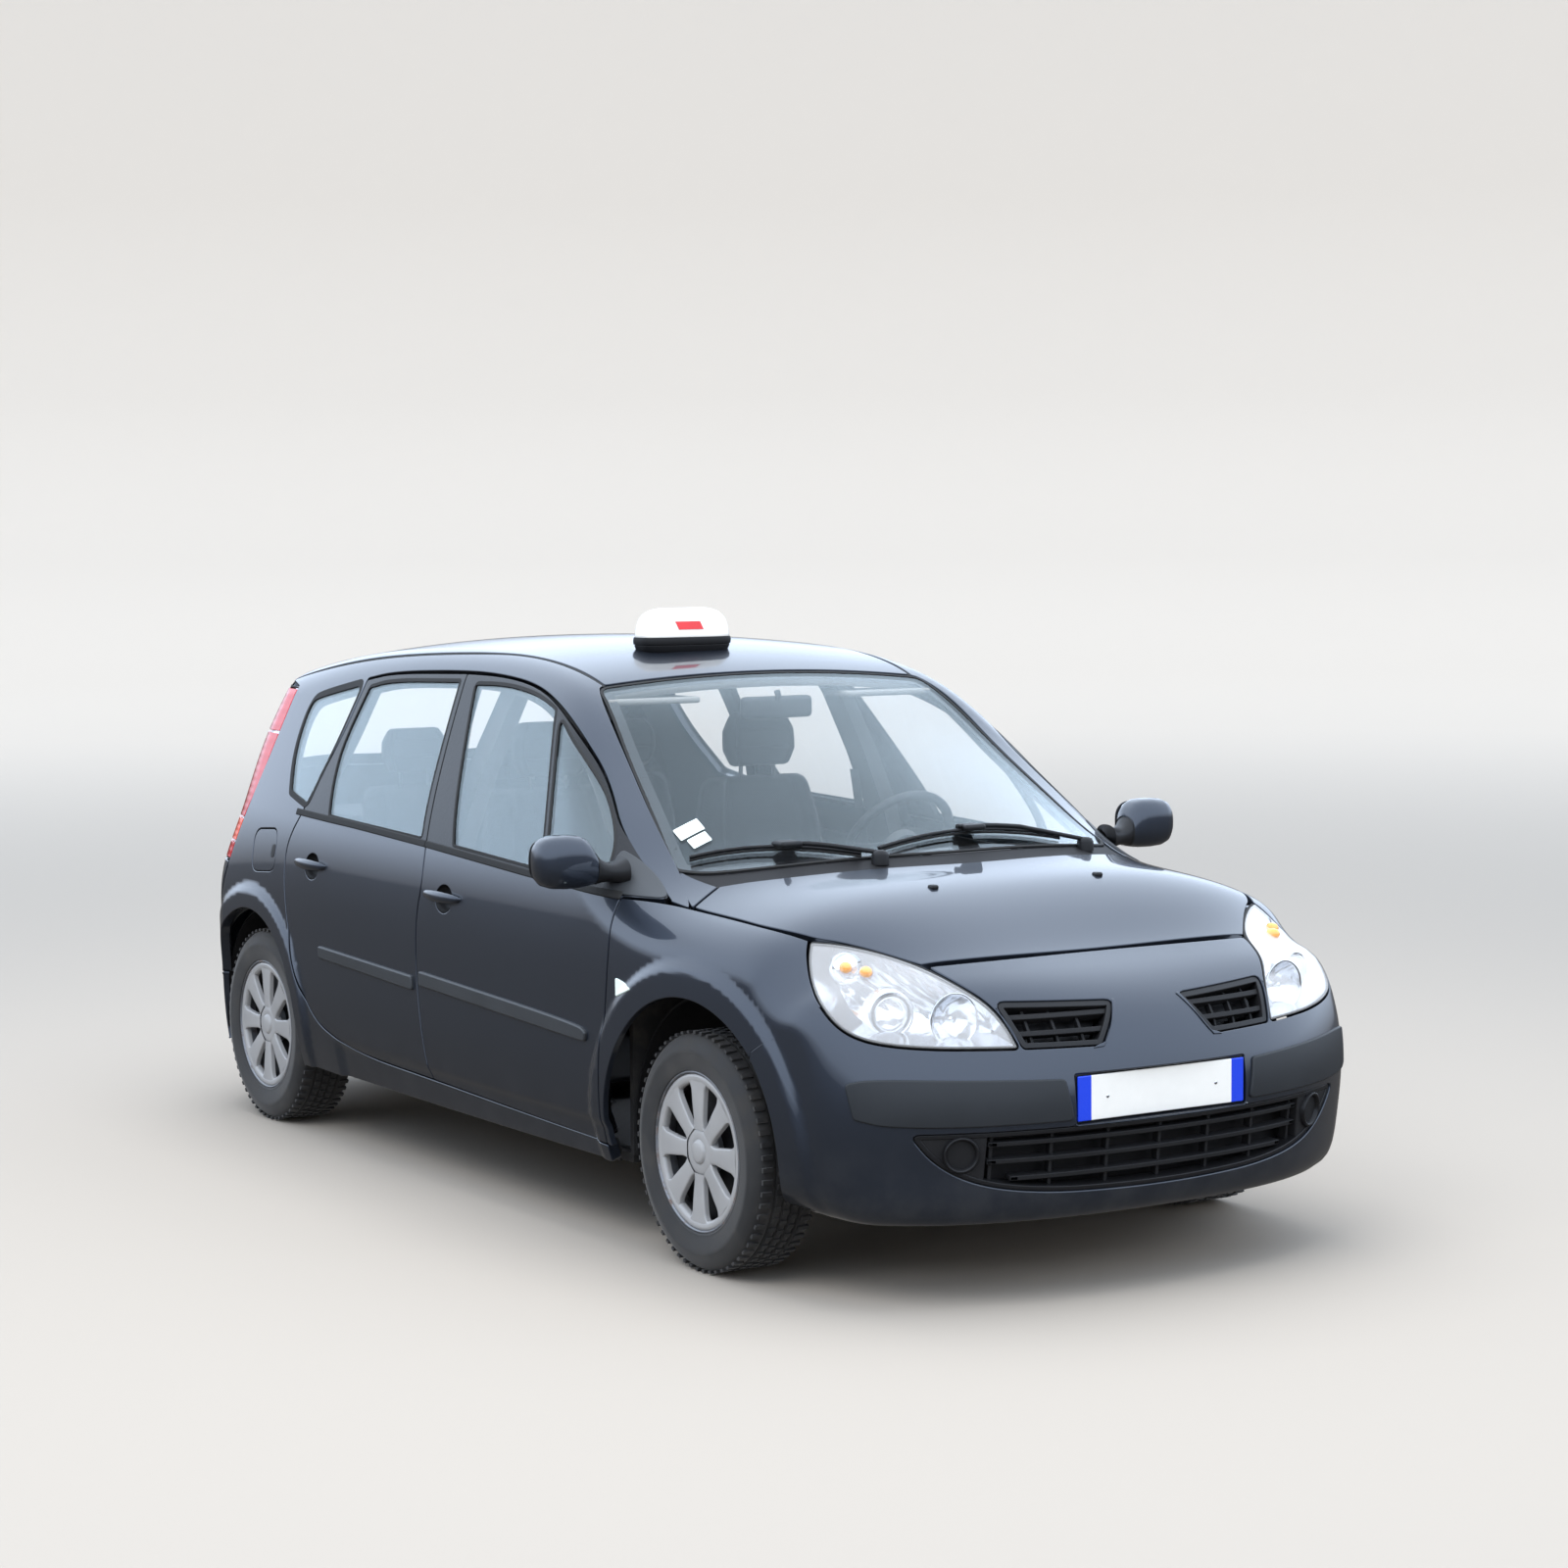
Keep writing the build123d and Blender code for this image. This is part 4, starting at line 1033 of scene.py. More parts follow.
@dataclass(frozen=True)
class TyreRubber:
    """Black rubber, a little grey with dust on its flanks."""

    name: str = "tyre_rubber"
    colour: tuple = (0.013, 0.013, 0.014)

    def make(self) -> bpy.types.Material:
        """Builds the material."""
        f = Finish(self.name, Surface(self.colour, 0.72, sheen=0.15))
        dust, fine = f.noise(14.0, 6.0, 0.65).ramp(0.4, 0.8), f.noise(700.0, 2.0)
        f.feed("Base Color", f.blend(dust * 0.5, self.colour, (0.052, 0.048, 0.043)))
        f.feed("Roughness", 0.62 + dust * 0.25)
        f.bump(fine, 0.35, 0.0005)
        return f.material


@dataclass(frozen=True)
class Cloth:
    """Woven seat cloth with a faint check."""

    name: str = "seat_cloth"
    colour: tuple = (0.024, 0.025, 0.028)
    thread: float = 900.0

    def make(self) -> bpy.types.Material:
        """Builds the material."""
        f = Finish(self.name, Surface(self.colour, 0.9, sheen=0.15))
        x, y, z = f.axes()
        warp = (y * self.thread)._math("SINE")
        weft = ((z + x) * self.thread)._math("SINE")
        weave = warp * weft
        check = ((y * 160.0)._math("SINE") * ((z + x) * 160.0)._math("SINE")).ramp(0.1, 0.6)
        cloud = f.noise(12.0, 4.0)
        toned = f.blend(check * 0.5, self.colour, shade(self.colour, 1.5))
        f.feed("Base Color", f.blend(cloud * 0.5, toned, shade(self.colour, 0.75)))
        f.feed("Roughness", 0.82 + weave * 0.08)
        f.bump(weave * 0.5 + f.noise(300.0, 3.0) * 0.6, 0.5, 0.0006)
        return f.material


@dataclass(frozen=True)
class Lens:
    """Clear or coloured lamp moulding with fine flutes."""

    name: str
    colour: tuple = (0.9, 0.9, 0.92)
    alpha: float = 0.15
    flutes: float = 0.0
    gloss: float = 1.0

    def make(self) -> bpy.types.Material:
        """Builds the material."""
        f = Finish(self.name, Surface(self.colour, 0.04, specular=0.8 * self.gloss, coat=self.gloss,
                                      coat_roughness=0.0))
        f.feed("Alpha", (f.grazing() * 1.2 + f.noise(5.0, 3.0) * 0.04 + self.alpha)._math("MINIMUM", 1.0))
        if self.flutes:
            _, y, z = f.axes()
            f.bump((z * self.flutes)._math("SINE") + (y * self.flutes)._math("SINE"), 0.25, 0.001)
        else:
            f.bump(f.noise(200.0), 0.01, 0.0004)
        return f.material


@dataclass(frozen=True)
class Reflector:
    """Bright vacuum-metallised bowl with pressed flutes."""

    name: str = "lamp_reflector"
    flutes: float = 210.0

    def make(self) -> bpy.types.Material:
        """Builds the material."""
        f = Finish(self.name, Surface((0.86, 0.87, 0.89), 0.12, 1.0))
        _, y, z = f.axes()
        wave = (y * self.flutes)._math("SINE") * (z * self.flutes * 0.55)._math("SINE")
        f.feed("Base Color", f.blend(f.noise(9.0, 3.0), (0.95, 0.95, 0.96), (0.70, 0.72, 0.75)))
        f.feed("Roughness", 0.08 + f.noise(60.0) * 0.10)
        f.bump(wave, 0.35, 0.002)
        return f.material


@dataclass(frozen=True)
class Plate:
    """White reflective plate with a blank blue band at each end."""

    name: str = "plate_sheet"
    half_width: float = 0.26
    band: float = 0.040

    def make(self) -> bpy.types.Material:
        """Builds the material."""
        f = Finish(self.name, Surface((0.86, 0.87, 0.86), 0.32, coat=0.6))
        _, y, _ = f.axes()
        ends = y._math("ABSOLUTE").above(self.half_width - self.band)
        fine = f.cells(420.0)
        white = f.blend(f.noise(25.0, 3.0), (0.76, 0.77, 0.76), (0.70, 0.71, 0.70))
        f.feed("Base Color", f.blend(ends, white, (0.006, 0.045, 0.62)))
        f.feed("Roughness", 0.24 + fine * 0.16)
        f.bump(fine, 0.08, 0.0003)
        return f.material


class Kit:
    """Every finish of the car, made once."""

    def __init__(self) -> None:
        """Makes the finishes."""
        self.paint = CarPaint().make()
        self.trim = Plastic("black_trim", (0.008, 0.008, 0.009), 0.42, 1400.0, 0.10, 0.05, 0.35).make()
        self.gloss = Plastic("gloss_black", (0.005, 0.005, 0.006), 0.26, 2500.0, 0.02, 0.1, 0.4).make()
        self.grained = Plastic("grained_black", (0.010, 0.010, 0.011), 0.6, 650.0, 0.40, 0.0, 0.3).make()
        self.strip = Plastic("rub_strip", (0.026, 0.029, 0.033), 0.44, 900.0, 0.12, 0.1).make()
        self.bumper_strip = Plastic("bumper_strip", (0.013, 0.015, 0.018), 0.46, 800.0, 0.2).make()
        self.seal = Plastic("rubber_seal", (0.010, 0.010, 0.010), 0.7, 500.0, 0.2).make()
        self.cabin = Plastic("cabin_moulding", (0.040, 0.041, 0.043), 0.66, 520.0, 0.45).make()
        self.cabin_pale = Plastic("cabin_lining", (0.17, 0.17, 0.165), 0.85, 700.0, 0.35).make()
        self.cap = Plastic("sign_dome", (0.66, 0.66, 0.64), 0.22, 1800.0, 0.03, 0.7).make()
        self.red = Plastic("red_panel", (0.55, 0.012, 0.015), 0.3, 900.0, 0.1, 0.6).make()
        self.sticker = Plastic("blank_label", (0.62, 0.72, 0.70), 0.5, 900.0, 0.05).make()
        self.glass = Glass().make()
        self.screen = Glass("windscreen_glass", (0.80, 0.90, 0.92), 0.0, 1.0).make()
        self.lens = Lens("headlamp_cover", (0.93, 0.94, 0.96), 0.10).make()
        self.lens_red = Lens("tail_lamp_red", (0.42, 0.004, 0.007), 0.97, 260.0, 0.35).make()
        self.lens_orange = Lens("tail_lamp_orange", (0.70, 0.07, 0.02), 0.94, 320.0, 0.35).make()
        self.lens_amber = Lens("amber_bulb", (0.95, 0.42, 0.08), 0.75).make()
        self.reflector = Reflector().make()
        self.bright = Metal("bright_metal", (0.80, 0.81, 0.83), 0.16, (200.0, 200.0, 200.0)).make()
        self.mirror = Metal("mirror_silver", (0.86, 0.88, 0.89), 0.03, (60.0, 60.0, 60.0)).make()
        self.cover = Plastic("wheel_silver", (0.27, 0.275, 0.285), 0.34, 1800.0, 0.03, 0.35).make()
        self.steel = Metal("worn_steel", (0.30, 0.30, 0.31), 0.5, (90.0, 90.0, 400.0), 0.7).make()
        self.disc = Metal("brake_disc", (0.42, 0.42, 0.43), 0.35, (400.0, 400.0, 400.0), 0.35).make()
        self.alloy = Metal("cast_alloy", (0.45, 0.45, 0.46), 0.5, (200.0, 200.0, 200.0), 0.1).make()
        self.underseal = Underseal().make()
        self.tyre = TyreRubber().make()
        self.cloth = Cloth().make()
        self.plate = Plate().make()


# ---------------------------------------------------------------- shared lines of the body
# Side view (x, z) of the shut lines, each in the middle of its gap.
DOOR_FRONT_EDGE = [(874, 270), (886, 500), (903, 659), (917, 840), (906, 925)]
DOOR_MIDDLE_EDGE = [(-151, 302), (-187, 477), (-214, 645), (-211, 788), (-189, 861), (-204, 998),
                    (-297, 1263),
                    (-363, 1466)]
DOOR_REAR_EDGE = [(-612, 313), (-784, 344), (-931, 383), (-1043, 494), (-1118, 643), (-1155, 778),
                  (-1169, 884),
                  (-1148, 949), (-1098, 1019), (-1016, 1225), (-1012, 1427)]
FRONT_DOOR_TOP = [(-133, 1465), (82, 1445), (259, 1397), (437, 1314), (596, 1210), (788, 1055), (1060, 927)]
REAR_DOOR_TOP = [(-1012, 1427), (-838, 1453)]
BELT = [(-1148, 1012), (-1074, 1010), (-700, 1000), (-204, 980), (400, 950), (906, 928)]
FRONT_GLASS = [(-39, 990), (-285, 1440), (-94, 1444), (101, 1426), (245, 1390), (262, 1380), (470, 1066),
               (490, 965)]
QUARTER_PANE = [(512, 965), (492, 1066), (290, 1372), (546, 1233), (693, 1127), (790, 1034), (812, 955)]
REAR_GLASS = [(-240, 996), (-384, 1444), (-830, 1432), (-972, 1407), (-990, 1225), (-952, 1119), (-900, 1018)]
REAR_QUARTER = [(-1082, 1035), (-1251, 1068), (-1347, 1191), (-1382, 1302), (-1372, 1346), (-1345, 1364),
                (-1030, 1416), (-1034, 1225)]
FUEL_FLAP = [(-1455, 938), (-1262, 952), (-1243, 820), (-1436, 806)]
SAIL = [(822, 942), (800, 1034), (812, 1036), (1052, 930), (906, 930)]
FRONT_STRIP = [(-183, 575), (-183, 617), (760, 580), (806, 562), (800, 537), (760, 535)]
REAR_STRIP = [(-873, 583), (-878, 620), (-231, 598), (-226, 556)]
# Points in space on the right.
WING_TOP = [(1066, -795, 923), (1155, -774, 913), (1320, -761, 903), (1497, -756, 893), (1609, -712, 872)]
HEADLAMP = [(1609, -709, 871), (1653, -748, 827), (1708, -775, 775), (1780, -799, 738), (1829, -789, 696),
            (1867, -759, 667), (1911, -704, 648), (1970, -604, 637), (2016, -494, 633), (2048, -396, 630),
            (2018, -408, 682), (1969, -435, 738), (1894, -477, 782), (1808, -513, 816), (1730, -579, 846),
            (1657, -650, 866)]
HEADLAMP_OUTER, HEADLAMP_LOWER, HEADLAMP_INNER = HEADLAMP[:4], HEADLAMP[4:9], HEADLAMP[9:14]
WING_BUMPER = [(1779, -799, 738), (1730, -864, 686), (1580, -878, 607)]
WINDSCREEN_SIDE = [(966, -704, 1003), (743, -651, 1132), (540, -608, 1276), (283, -547, 1439)]
ROOF_SEAM = [(270, -524, 1446), (-120, -530, 1500), (-426, -560, 1505), (-858, -578, 1495),
             (-1400, -592, 1440),
             (-1712, -592, 1405)]
UPPER_GRILLE = [(1972, -420, 739), (2032, -96, 726), (2080, -172, 624), (2048, -386, 628)]
LOWER_GRILLE = [(-670, 438), (-612, 361), (-508, 305), (-337, 278), (-126, 271), (0, 270)]
BUMPER_STRIP = [(-786, 560), (-740, 574), (-560, 567), (-292, 556), (-272, 452), (-698, 452), (-775, 474)]
LAMP_FRONT_EDGE = [(-1562, 1384), (-1547, 1080), (-1650, 824)]
LAMP_REAR_EDGE = [(-602, 1388), (-640, 1080), (-668, 822)]
BODY_TAIL_EDGE = [(-1655, 822), (-1735, 636), (-1790, 430)]
GATE_SIDE = [(-598, 1390), (-636, 1080), (-667, 820), (-703, 640)]
REAR_WINDOW = [(0, 1418), (-520, 1398), (-572, 1085), (0, 1072)]
WINDSCREEN = [(286, 0), (284, -300), (280, -545), (540, -608), (743, -651), (962, -704), (1052, -640),
              (1137, -480),
              (1187, -272), (1213, 0)]
BONNET_REAR = [(1300, 0), (1272, -272), (1226, -488), (1133, -648), (1118, -668)]
BONNET_SIDE = [(1157, -770), (1320, -759), (1497, -754), (1606, -706), (1655, -650), (1728, -579),
               (1804, -513)]
BONNET_FRONT = [(1825, -345), (1831, 0)]
HALF_SHUT = 2.3


def arch(centre: tuple, start: float, end: float, count: int = 40) -> list:
    """Side-view points along a wheel arch between two angles in degrees."""
    cx, cz, radius = centre
    return [(cx + radius * math.cos(t), cz + radius * math.sin(t))
            for t in np.radians(np.linspace(start, end, count))]


def spatial(points: list, rays: Rays = Rays.SIDE) -> list:
    """Points in space of flat points, so that flat and spatial points can share an outline."""
    return [tuple(p) for p in rays.cast(np.array(points, float))]


def loop_on(rays: Rays, points: list, corner: float = 10.0, step: float = 14.0,
            sharp: float = 34.0) -> np.ndarray:
    """Smooth closed loop in a ray pattern through points in space."""
    return smooth_loop(rays.pattern(np.array(points, float)), corner, step, sharp)


def mirrored_points(points: list) -> list:
    """Points on the left for points on the right, in turned order, leaving those on the middle line."""
    return [(x, -y, z) for x, y, z in reversed(points) if y < -1]


def both_halves(half: list) -> list:
    """Outline of both sides, as (x, y), from its right-hand half."""
    return half + [(x, -y) for x, y in reversed(half) if y < 0]


def on_flank(flat: np.ndarray) -> np.ndarray:
    """Side-view points in the flank pattern."""
    return Rays.FLANK.pattern(Rays.SIDE.cast(flat))


def side_loop(points: list, corner: float = 10.0, step: float = 14.0, sharp: float = 34.0) -> np.ndarray:
    """Smooth loop of a side-view outline, in the flank pattern."""
    return on_flank(smooth_loop(points, corner, step, sharp))


def box_loop(rays: Rays, seen: Rays, across: tuple, up: tuple, corner: float = 2.0) -> np.ndarray:
    """Loop of a rectangle on the nose or the tail.

    Args:
        rays: Pattern of the loop.
        seen: Side that the rectangle is drawn from.
        across: Its ends across the car.
        up: Its lowest and highest point.
        corner: Radius of its corners.

    Returns:
        Rows of u, v in the pattern.
    """
    corners = [(y, up[0]) for y in np.linspace(*across, 5)] + [(y, up[1])
                                                               for y in np.linspace(*across[::-1], 5)]
    return loop_on(rays, spatial(corners, seen), corner, 18)


def shut(loop: np.ndarray, gap: float = HALF_SHUT) -> np.ndarray:
    """Loop drawn in by half a shut line."""
    return offset(loop, -gap)


def belt_height(x: float) -> float:
    """Height of the belt line at x."""
    xs, zs = zip(*BELT)
    return float(np.interp(x, xs, zs))


def on_belt(start: float, end: float, lift: float = 0.0, count: int = 12) -> list:
    """Side-view points along the belt line."""
    return [(x, belt_height(x) + lift) for x in np.linspace(start, end, count)]


@dataclass
class Coachwork:
    """Painted panels that stay with the body.

    Attributes:
        kit: Finishes.
        wall: Depth of the panels' returned edges.
    """

    kit: Kit
    wall: float = 16.0

    def build(self) -> None:
        """Makes every panel."""
        for make in (self.wings, self.side_frames, self.roof, self.screen, self.nose, self.tail, self.bonnet,
                     self.cowl):
            make()

    def wings(self) -> None:
        """Front wings with their arch lips and the small side repeaters."""
        top = spatial([(906, 925)]) + WING_TOP
        edge = (spatial(DOOR_FRONT_EDGE[:-1]) + top + HEADLAMP_OUTER[1:] + WING_BUMPER[1:]
                + spatial(arch(ARCH_FRONT, 44, 187, 60)))
        loop = loop_on(Rays.FLANK, edge, 8.0)
        shell = Shell("front_wings").lay(self.kit.paint, Rays.FLANK, [shut(loop)], wall=self.wall, step=13)
        shell.both().build("body", "paint", "front_wings")
        lamp = side_loop([(957, 722), (1046, 706), (1046, 700), (960, 674)], 5, 5)
        repeater = Shell("side_repeaters")
        repeater.lay(self.kit.sticker, Rays.FLANK, [lamp], -4.0, 2.0, 5.0, 8)
        repeater.both().build("body", "lamp_clear")

    def side_frames(self) -> None:
        """Sills, pillars, roof rails and rear quarters, with their openings."""
        hole_line = (DOOR_REAR_EDGE[:-1] + REAR_DOOR_TOP + [(-363, 1470)] + FRONT_DOOR_TOP)
        edge = (spatial([(1064, 924)]) + [(1155, -776, 911)] + WINDSCREEN_SIDE + ROOF_SEAM
                + spatial([LAMP_FRONT_EDGE[0]]) + spatial(LAMP_FRONT_EDGE[1:])
                + spatial(BODY_TAIL_EDGE[1:]) + spatial(arch(ARCH_REAR, 158, -14, 60))
                + spatial([(-1000, 222), (0, 219), (874, 219), (874, 270)])
                + spatial([(400, 286), (-151, 303)] + hole_line))
        loop = loop_on(Rays.FLANK, edge, 8.0)
        quarter, flap = side_loop(REAR_QUARTER, 34, 10), side_loop(FUEL_FLAP, 46, 10)
        outer = Sheet(Rays.FLANK, [shut(loop), quarter, offset(flap, 1.6)], wall=30.0, step=15).patch()
        shell = Shell("side_frames").add(outer, self.kit.paint)
        shell.lay(self.kit.paint, Rays.FLANK, [shut(flap, 1.0)], 0.8, 1.5, 6.0, 24)
        cup = side_loop([(-1290, 858), (-1262, 862), (-1258, 905), (-1286, 901)], 12, 5)
        shell.lay(self.kit.trim, Rays.FLANK, [cup], -0.3, 0.8, 0.8, 9)
        lining = Sheet(Rays.FLANK, [offset(loop, -4), offset(quarter, 6)], 40.0, 0.0, 0.0, 40,
                       inward=True).patch()
        shell.add(lining, self.kit.cabin)
        shell.both().build("body", "paint", "side_frames")
        seal = Shell("quarter_seals")
        ring = [offset(quarter, 9), offset(quarter, -5)]
        seal.lay(self.kit.seal, Rays.FLANK, ring, -1.0, 1.2, 6.0, 12)
        seal.both().build("body", "black_plastic")
        glass = Sheet(Rays.FLANK, [offset(quarter, -1)], 3.0, 0.8, 4.0, 30, solid=True).patch()
        Shell("quarter_glasses").add(glass, self.kit.glass).both().build("body", "glass", "quarter_glasses")

    def roof(self) -> None:
        """Roof panel with its black seams and the headlining under it."""
        half = [(276, 0), (272, -300)] + [(x, y) for x, y, _ in ROOF_SEAM] + [(-1712, 0)]
        loop = smooth_loop(both_halves(half), 12)
        shell = Shell("roof_panel").lay(self.kit.paint, Rays.TOP, [shut(loop, 4.0)], wall=12, step=30)
        lining = Sheet(Rays.TOP, [offset(loop, 26)], 34.0, 0.0, 0.0, 40, inward=True).patch()
        shell.add(lining, self.kit.cabin_pale).build("body", "paint", "roof_panel")
        strip = Shell("roof_seams")
        line = [(x, y) for x, y, _ in ROOF_SEAM]
        band = smooth_loop([(x, y - 5.5) for x, y in line] + [(x, y + 5.5) for x, y in reversed(line)], 2, 20)
        strip.lay(self.kit.seal, Rays.TOP, [band], 2.5, 1.0, 3.0, 40)
        strip.both().build("body", "black_plastic")

    def screen(self) -> None:
        """Windscreen with its black border, seal and two blank labels."""
        loop = smooth_loop(both_halves(WINDSCREEN), 40, 18)
        band = offset(loop, -34)
        shell = Shell("windscreen")
        shell.lay(self.kit.screen, Rays.TOP, [offset(loop, -2)], 3.0, 1.0, 5.0, 34, solid=True)
        shell.build("body", "glass", "windscreen")
        trim = Shell("windscreen_border")
        trim.lay(self.kit.trim, Rays.TOP, [offset(loop, -3), band], 8.6, 0.0, 0.0, 14)
        trim.lay(self.kit.seal, Rays.TOP, [offset(loop, 5), offset(loop, -4)], 1.0, 1.0, 5.0, 14)
        trim.build("body", "black_plastic")
        labels = Shell("blank_labels")
        for low, high in (((836, -640), (880, -566)), ((888, -628), (926, -572))):
            box = smooth_loop([(low[0], low[1]), (high[0], low[1]), (high[0], high[1]), (low[0], high[1])], 3,
                              20)
            labels.lay(self.kit.sticker, Rays.TOP, [box], 1.2, 0.2, 1.0, 30)
        labels.build("body", "plate")

    def nose(self) -> None:
        """Front bumper with its grille openings, strips and plate recess."""
        bottom = [(1672, -846, 212), (1756, -806, 206), (1930, -676, 204), (2039, -423, 203), (2084, 0, 202)]
        half = ([(1834, 0, 822), (1826, -345, 821)] + list(reversed(HEADLAMP_INNER))
                + list(reversed(HEADLAMP_LOWER)) + WING_BUMPER
                + [(x, -870, z) for x, z in arch(ARCH_FRONT, 44, -14, 30)] + bottom)
        loop = loop_on(Rays.NOSE, half + mirrored_points(half), 9.0)
        holes = [self.upper_opening(), self.upper_opening()[::-1] * [-1, 1], self.lower_opening(),
                 self.plate_opening()]
        sheet = Sheet(Rays.NOSE, [shut(loop)] + holes, wall=20, step=15, edge=3.0)
        Shell("front_bumper").add(sheet.patch(), self.kit.paint).build("body", "paint", "front_bumper")
        strip = loop_on(Rays.NOSE, spatial(BUMPER_STRIP, Rays.FRONT), 14)
        shell = Shell("bumper_strips").lay(self.kit.bumper_strip, Rays.NOSE, [strip], -7.0, 5.0, 12.0, 22)
        shell.both().build("body", "black_plastic", "bumper_strips")

    @staticmethod
    def upper_opening() -> np.ndarray:
        """Right-hand upper grille opening in the nose pattern."""
        return loop_on(Rays.NOSE, UPPER_GRILLE, 16)

    @staticmethod
    def lower_opening() -> np.ndarray:
        """Lower grille opening in the nose pattern."""
        half = spatial(LOWER_GRILLE, Rays.FRONT)
        return loop_on(Rays.NOSE, half + mirrored_points(half), 14)

    @staticmethod
    def plate_opening() -> np.ndarray:
        """Recess of the front plate in the nose pattern."""
        corners = [(-266, 441), (266, 441), (266, 563), (-266, 563)]
        return loop_on(Rays.NOSE, spatial(corners, Rays.FRONT), 6)

    def tail(self) -> None:
        """Rear bumper."""
        bottom = spatial([(-1782, 212)]) + [(-1900, -800, 206), (-2060, -560, 204), (-2100, 0, 203)]
        gate = spatial([(y, z) for y, z in GATE_SIDE[2:]], Rays.REAR)
        half = ([(-2110, 0, 637)] + list(reversed(gate)) + [(-2000, -700, 821)] + spatial(BODY_TAIL_EDGE)
                + spatial(arch(ARCH_REAR, 160, 195, 16)) + bottom)
        loop = loop_on(Rays.TAIL, half + mirrored_points(half), 9.0)
        corners = [(-2040, -700, 565), (-2100, 0, 565), (-2040, 700, 565), (-2040, 700, 465), (-2100, 0, 465),
                   (-2040, -700, 465)]
        pad = loop_on(Rays.TAIL, corners, 14)
        sheet = Sheet(Rays.TAIL, [shut(loop), pad], wall=20, step=24, edge=3.0)
        Shell("rear_bumper").add(sheet.patch(), self.kit.paint).build("body", "paint", "rear_bumper")
        Shell("rear_strip").lay(self.kit.bumper_strip, Rays.TAIL, [offset(pad, -1.5)], 0.6, 5.0, 14.0,
                                24).build("body", "black_plastic")

    def bonnet(self) -> None:
        """Bonnet, its fixed corners and the washer jets."""
        loop = smooth_loop(both_halves(BONNET_REAR + BONNET_SIDE + BONNET_FRONT), 9)
        shell = Shell("bonnet").lay(self.kit.paint, Rays.TOP, [shut(loop)], wall=18, step=20, edge=3.0)
        shell.lay(self.kit.underseal, Rays.TOP, [offset(loop, -24)], 26.0, 0.0, 0.0, 40, inward=True)
        shell.build("bonnet", "paint", "bonnet")
        jets = Shell("washer_jets")
        for y in (-265, 265):
            top = Rays.TOP.cast(np.array([(1504.0, y)]))[0]
            jets.box(self.kit.trim, top - [13, 11, 5], top + [13, 11, 8], 6)
        jets.build("bonnet", "black_plastic")
        corner = smooth_loop([(970, -702), (1116, -673), (1152, -772), (1066, -745)], 5, 14)
        shell = Shell("bonnet_corners").lay(self.kit.paint, Rays.TOP, [shut(corner, 1.0)], wall=12, step=16)
        shell.both().build("body", "paint")

    def cowl(self) -> None:
        """Black panel between the bonnet and the windscreen."""
        front = [(x - 8, y) for x, y in BONNET_REAR]
        half = [(1216, 0), (1190, -272), (1140, -484), (1054, -644), (972, -701), (1000, -704), (1110, -676)]
        loop = smooth_loop(both_halves(half + front[::-1]), 5, 14)
        shell = Shell("cowl").lay(self.kit.grained, Rays.TOP, [loop], 7.0, 1.5, 20, 18)
        shell.build("body", "black_plastic", "cowl")


# ---------------------------------------------------------------- doors
@dataclass(frozen=True)
class DoorPlan:
    """One right-hand door.

    Attributes:
        name: front or rear.
        skin: Outline of the whole door in side view.
        panes: Outlines of its panes.
        belt: Ends of its belt line.
        strip: Outline of its rubbing strip.
        handle: Ends of its handle and its height.
    """

    name: str
    skin: list
    panes: tuple
    belt: tuple
    strip: list
    handle: tuple


FRONT_PLAN = DoorPlan("front",
                      [(400, 284), *DOOR_FRONT_EDGE, *reversed(FRONT_DOOR_TOP), *reversed(DOOR_MIDDLE_EDGE)],
                      (FRONT_GLASS, QUARTER_PANE), (-204, 906), FRONT_STRIP, (-160, 60, 842))
REAR_PLAN = DoorPlan("rear", [*DOOR_MIDDLE_EDGE, *reversed(REAR_DOOR_TOP), *reversed(DOOR_REAR_EDGE[:-1])],
                     (REAR_GLASS,), (-1146, -206), REAR_STRIP, (-1068, -850, 862))


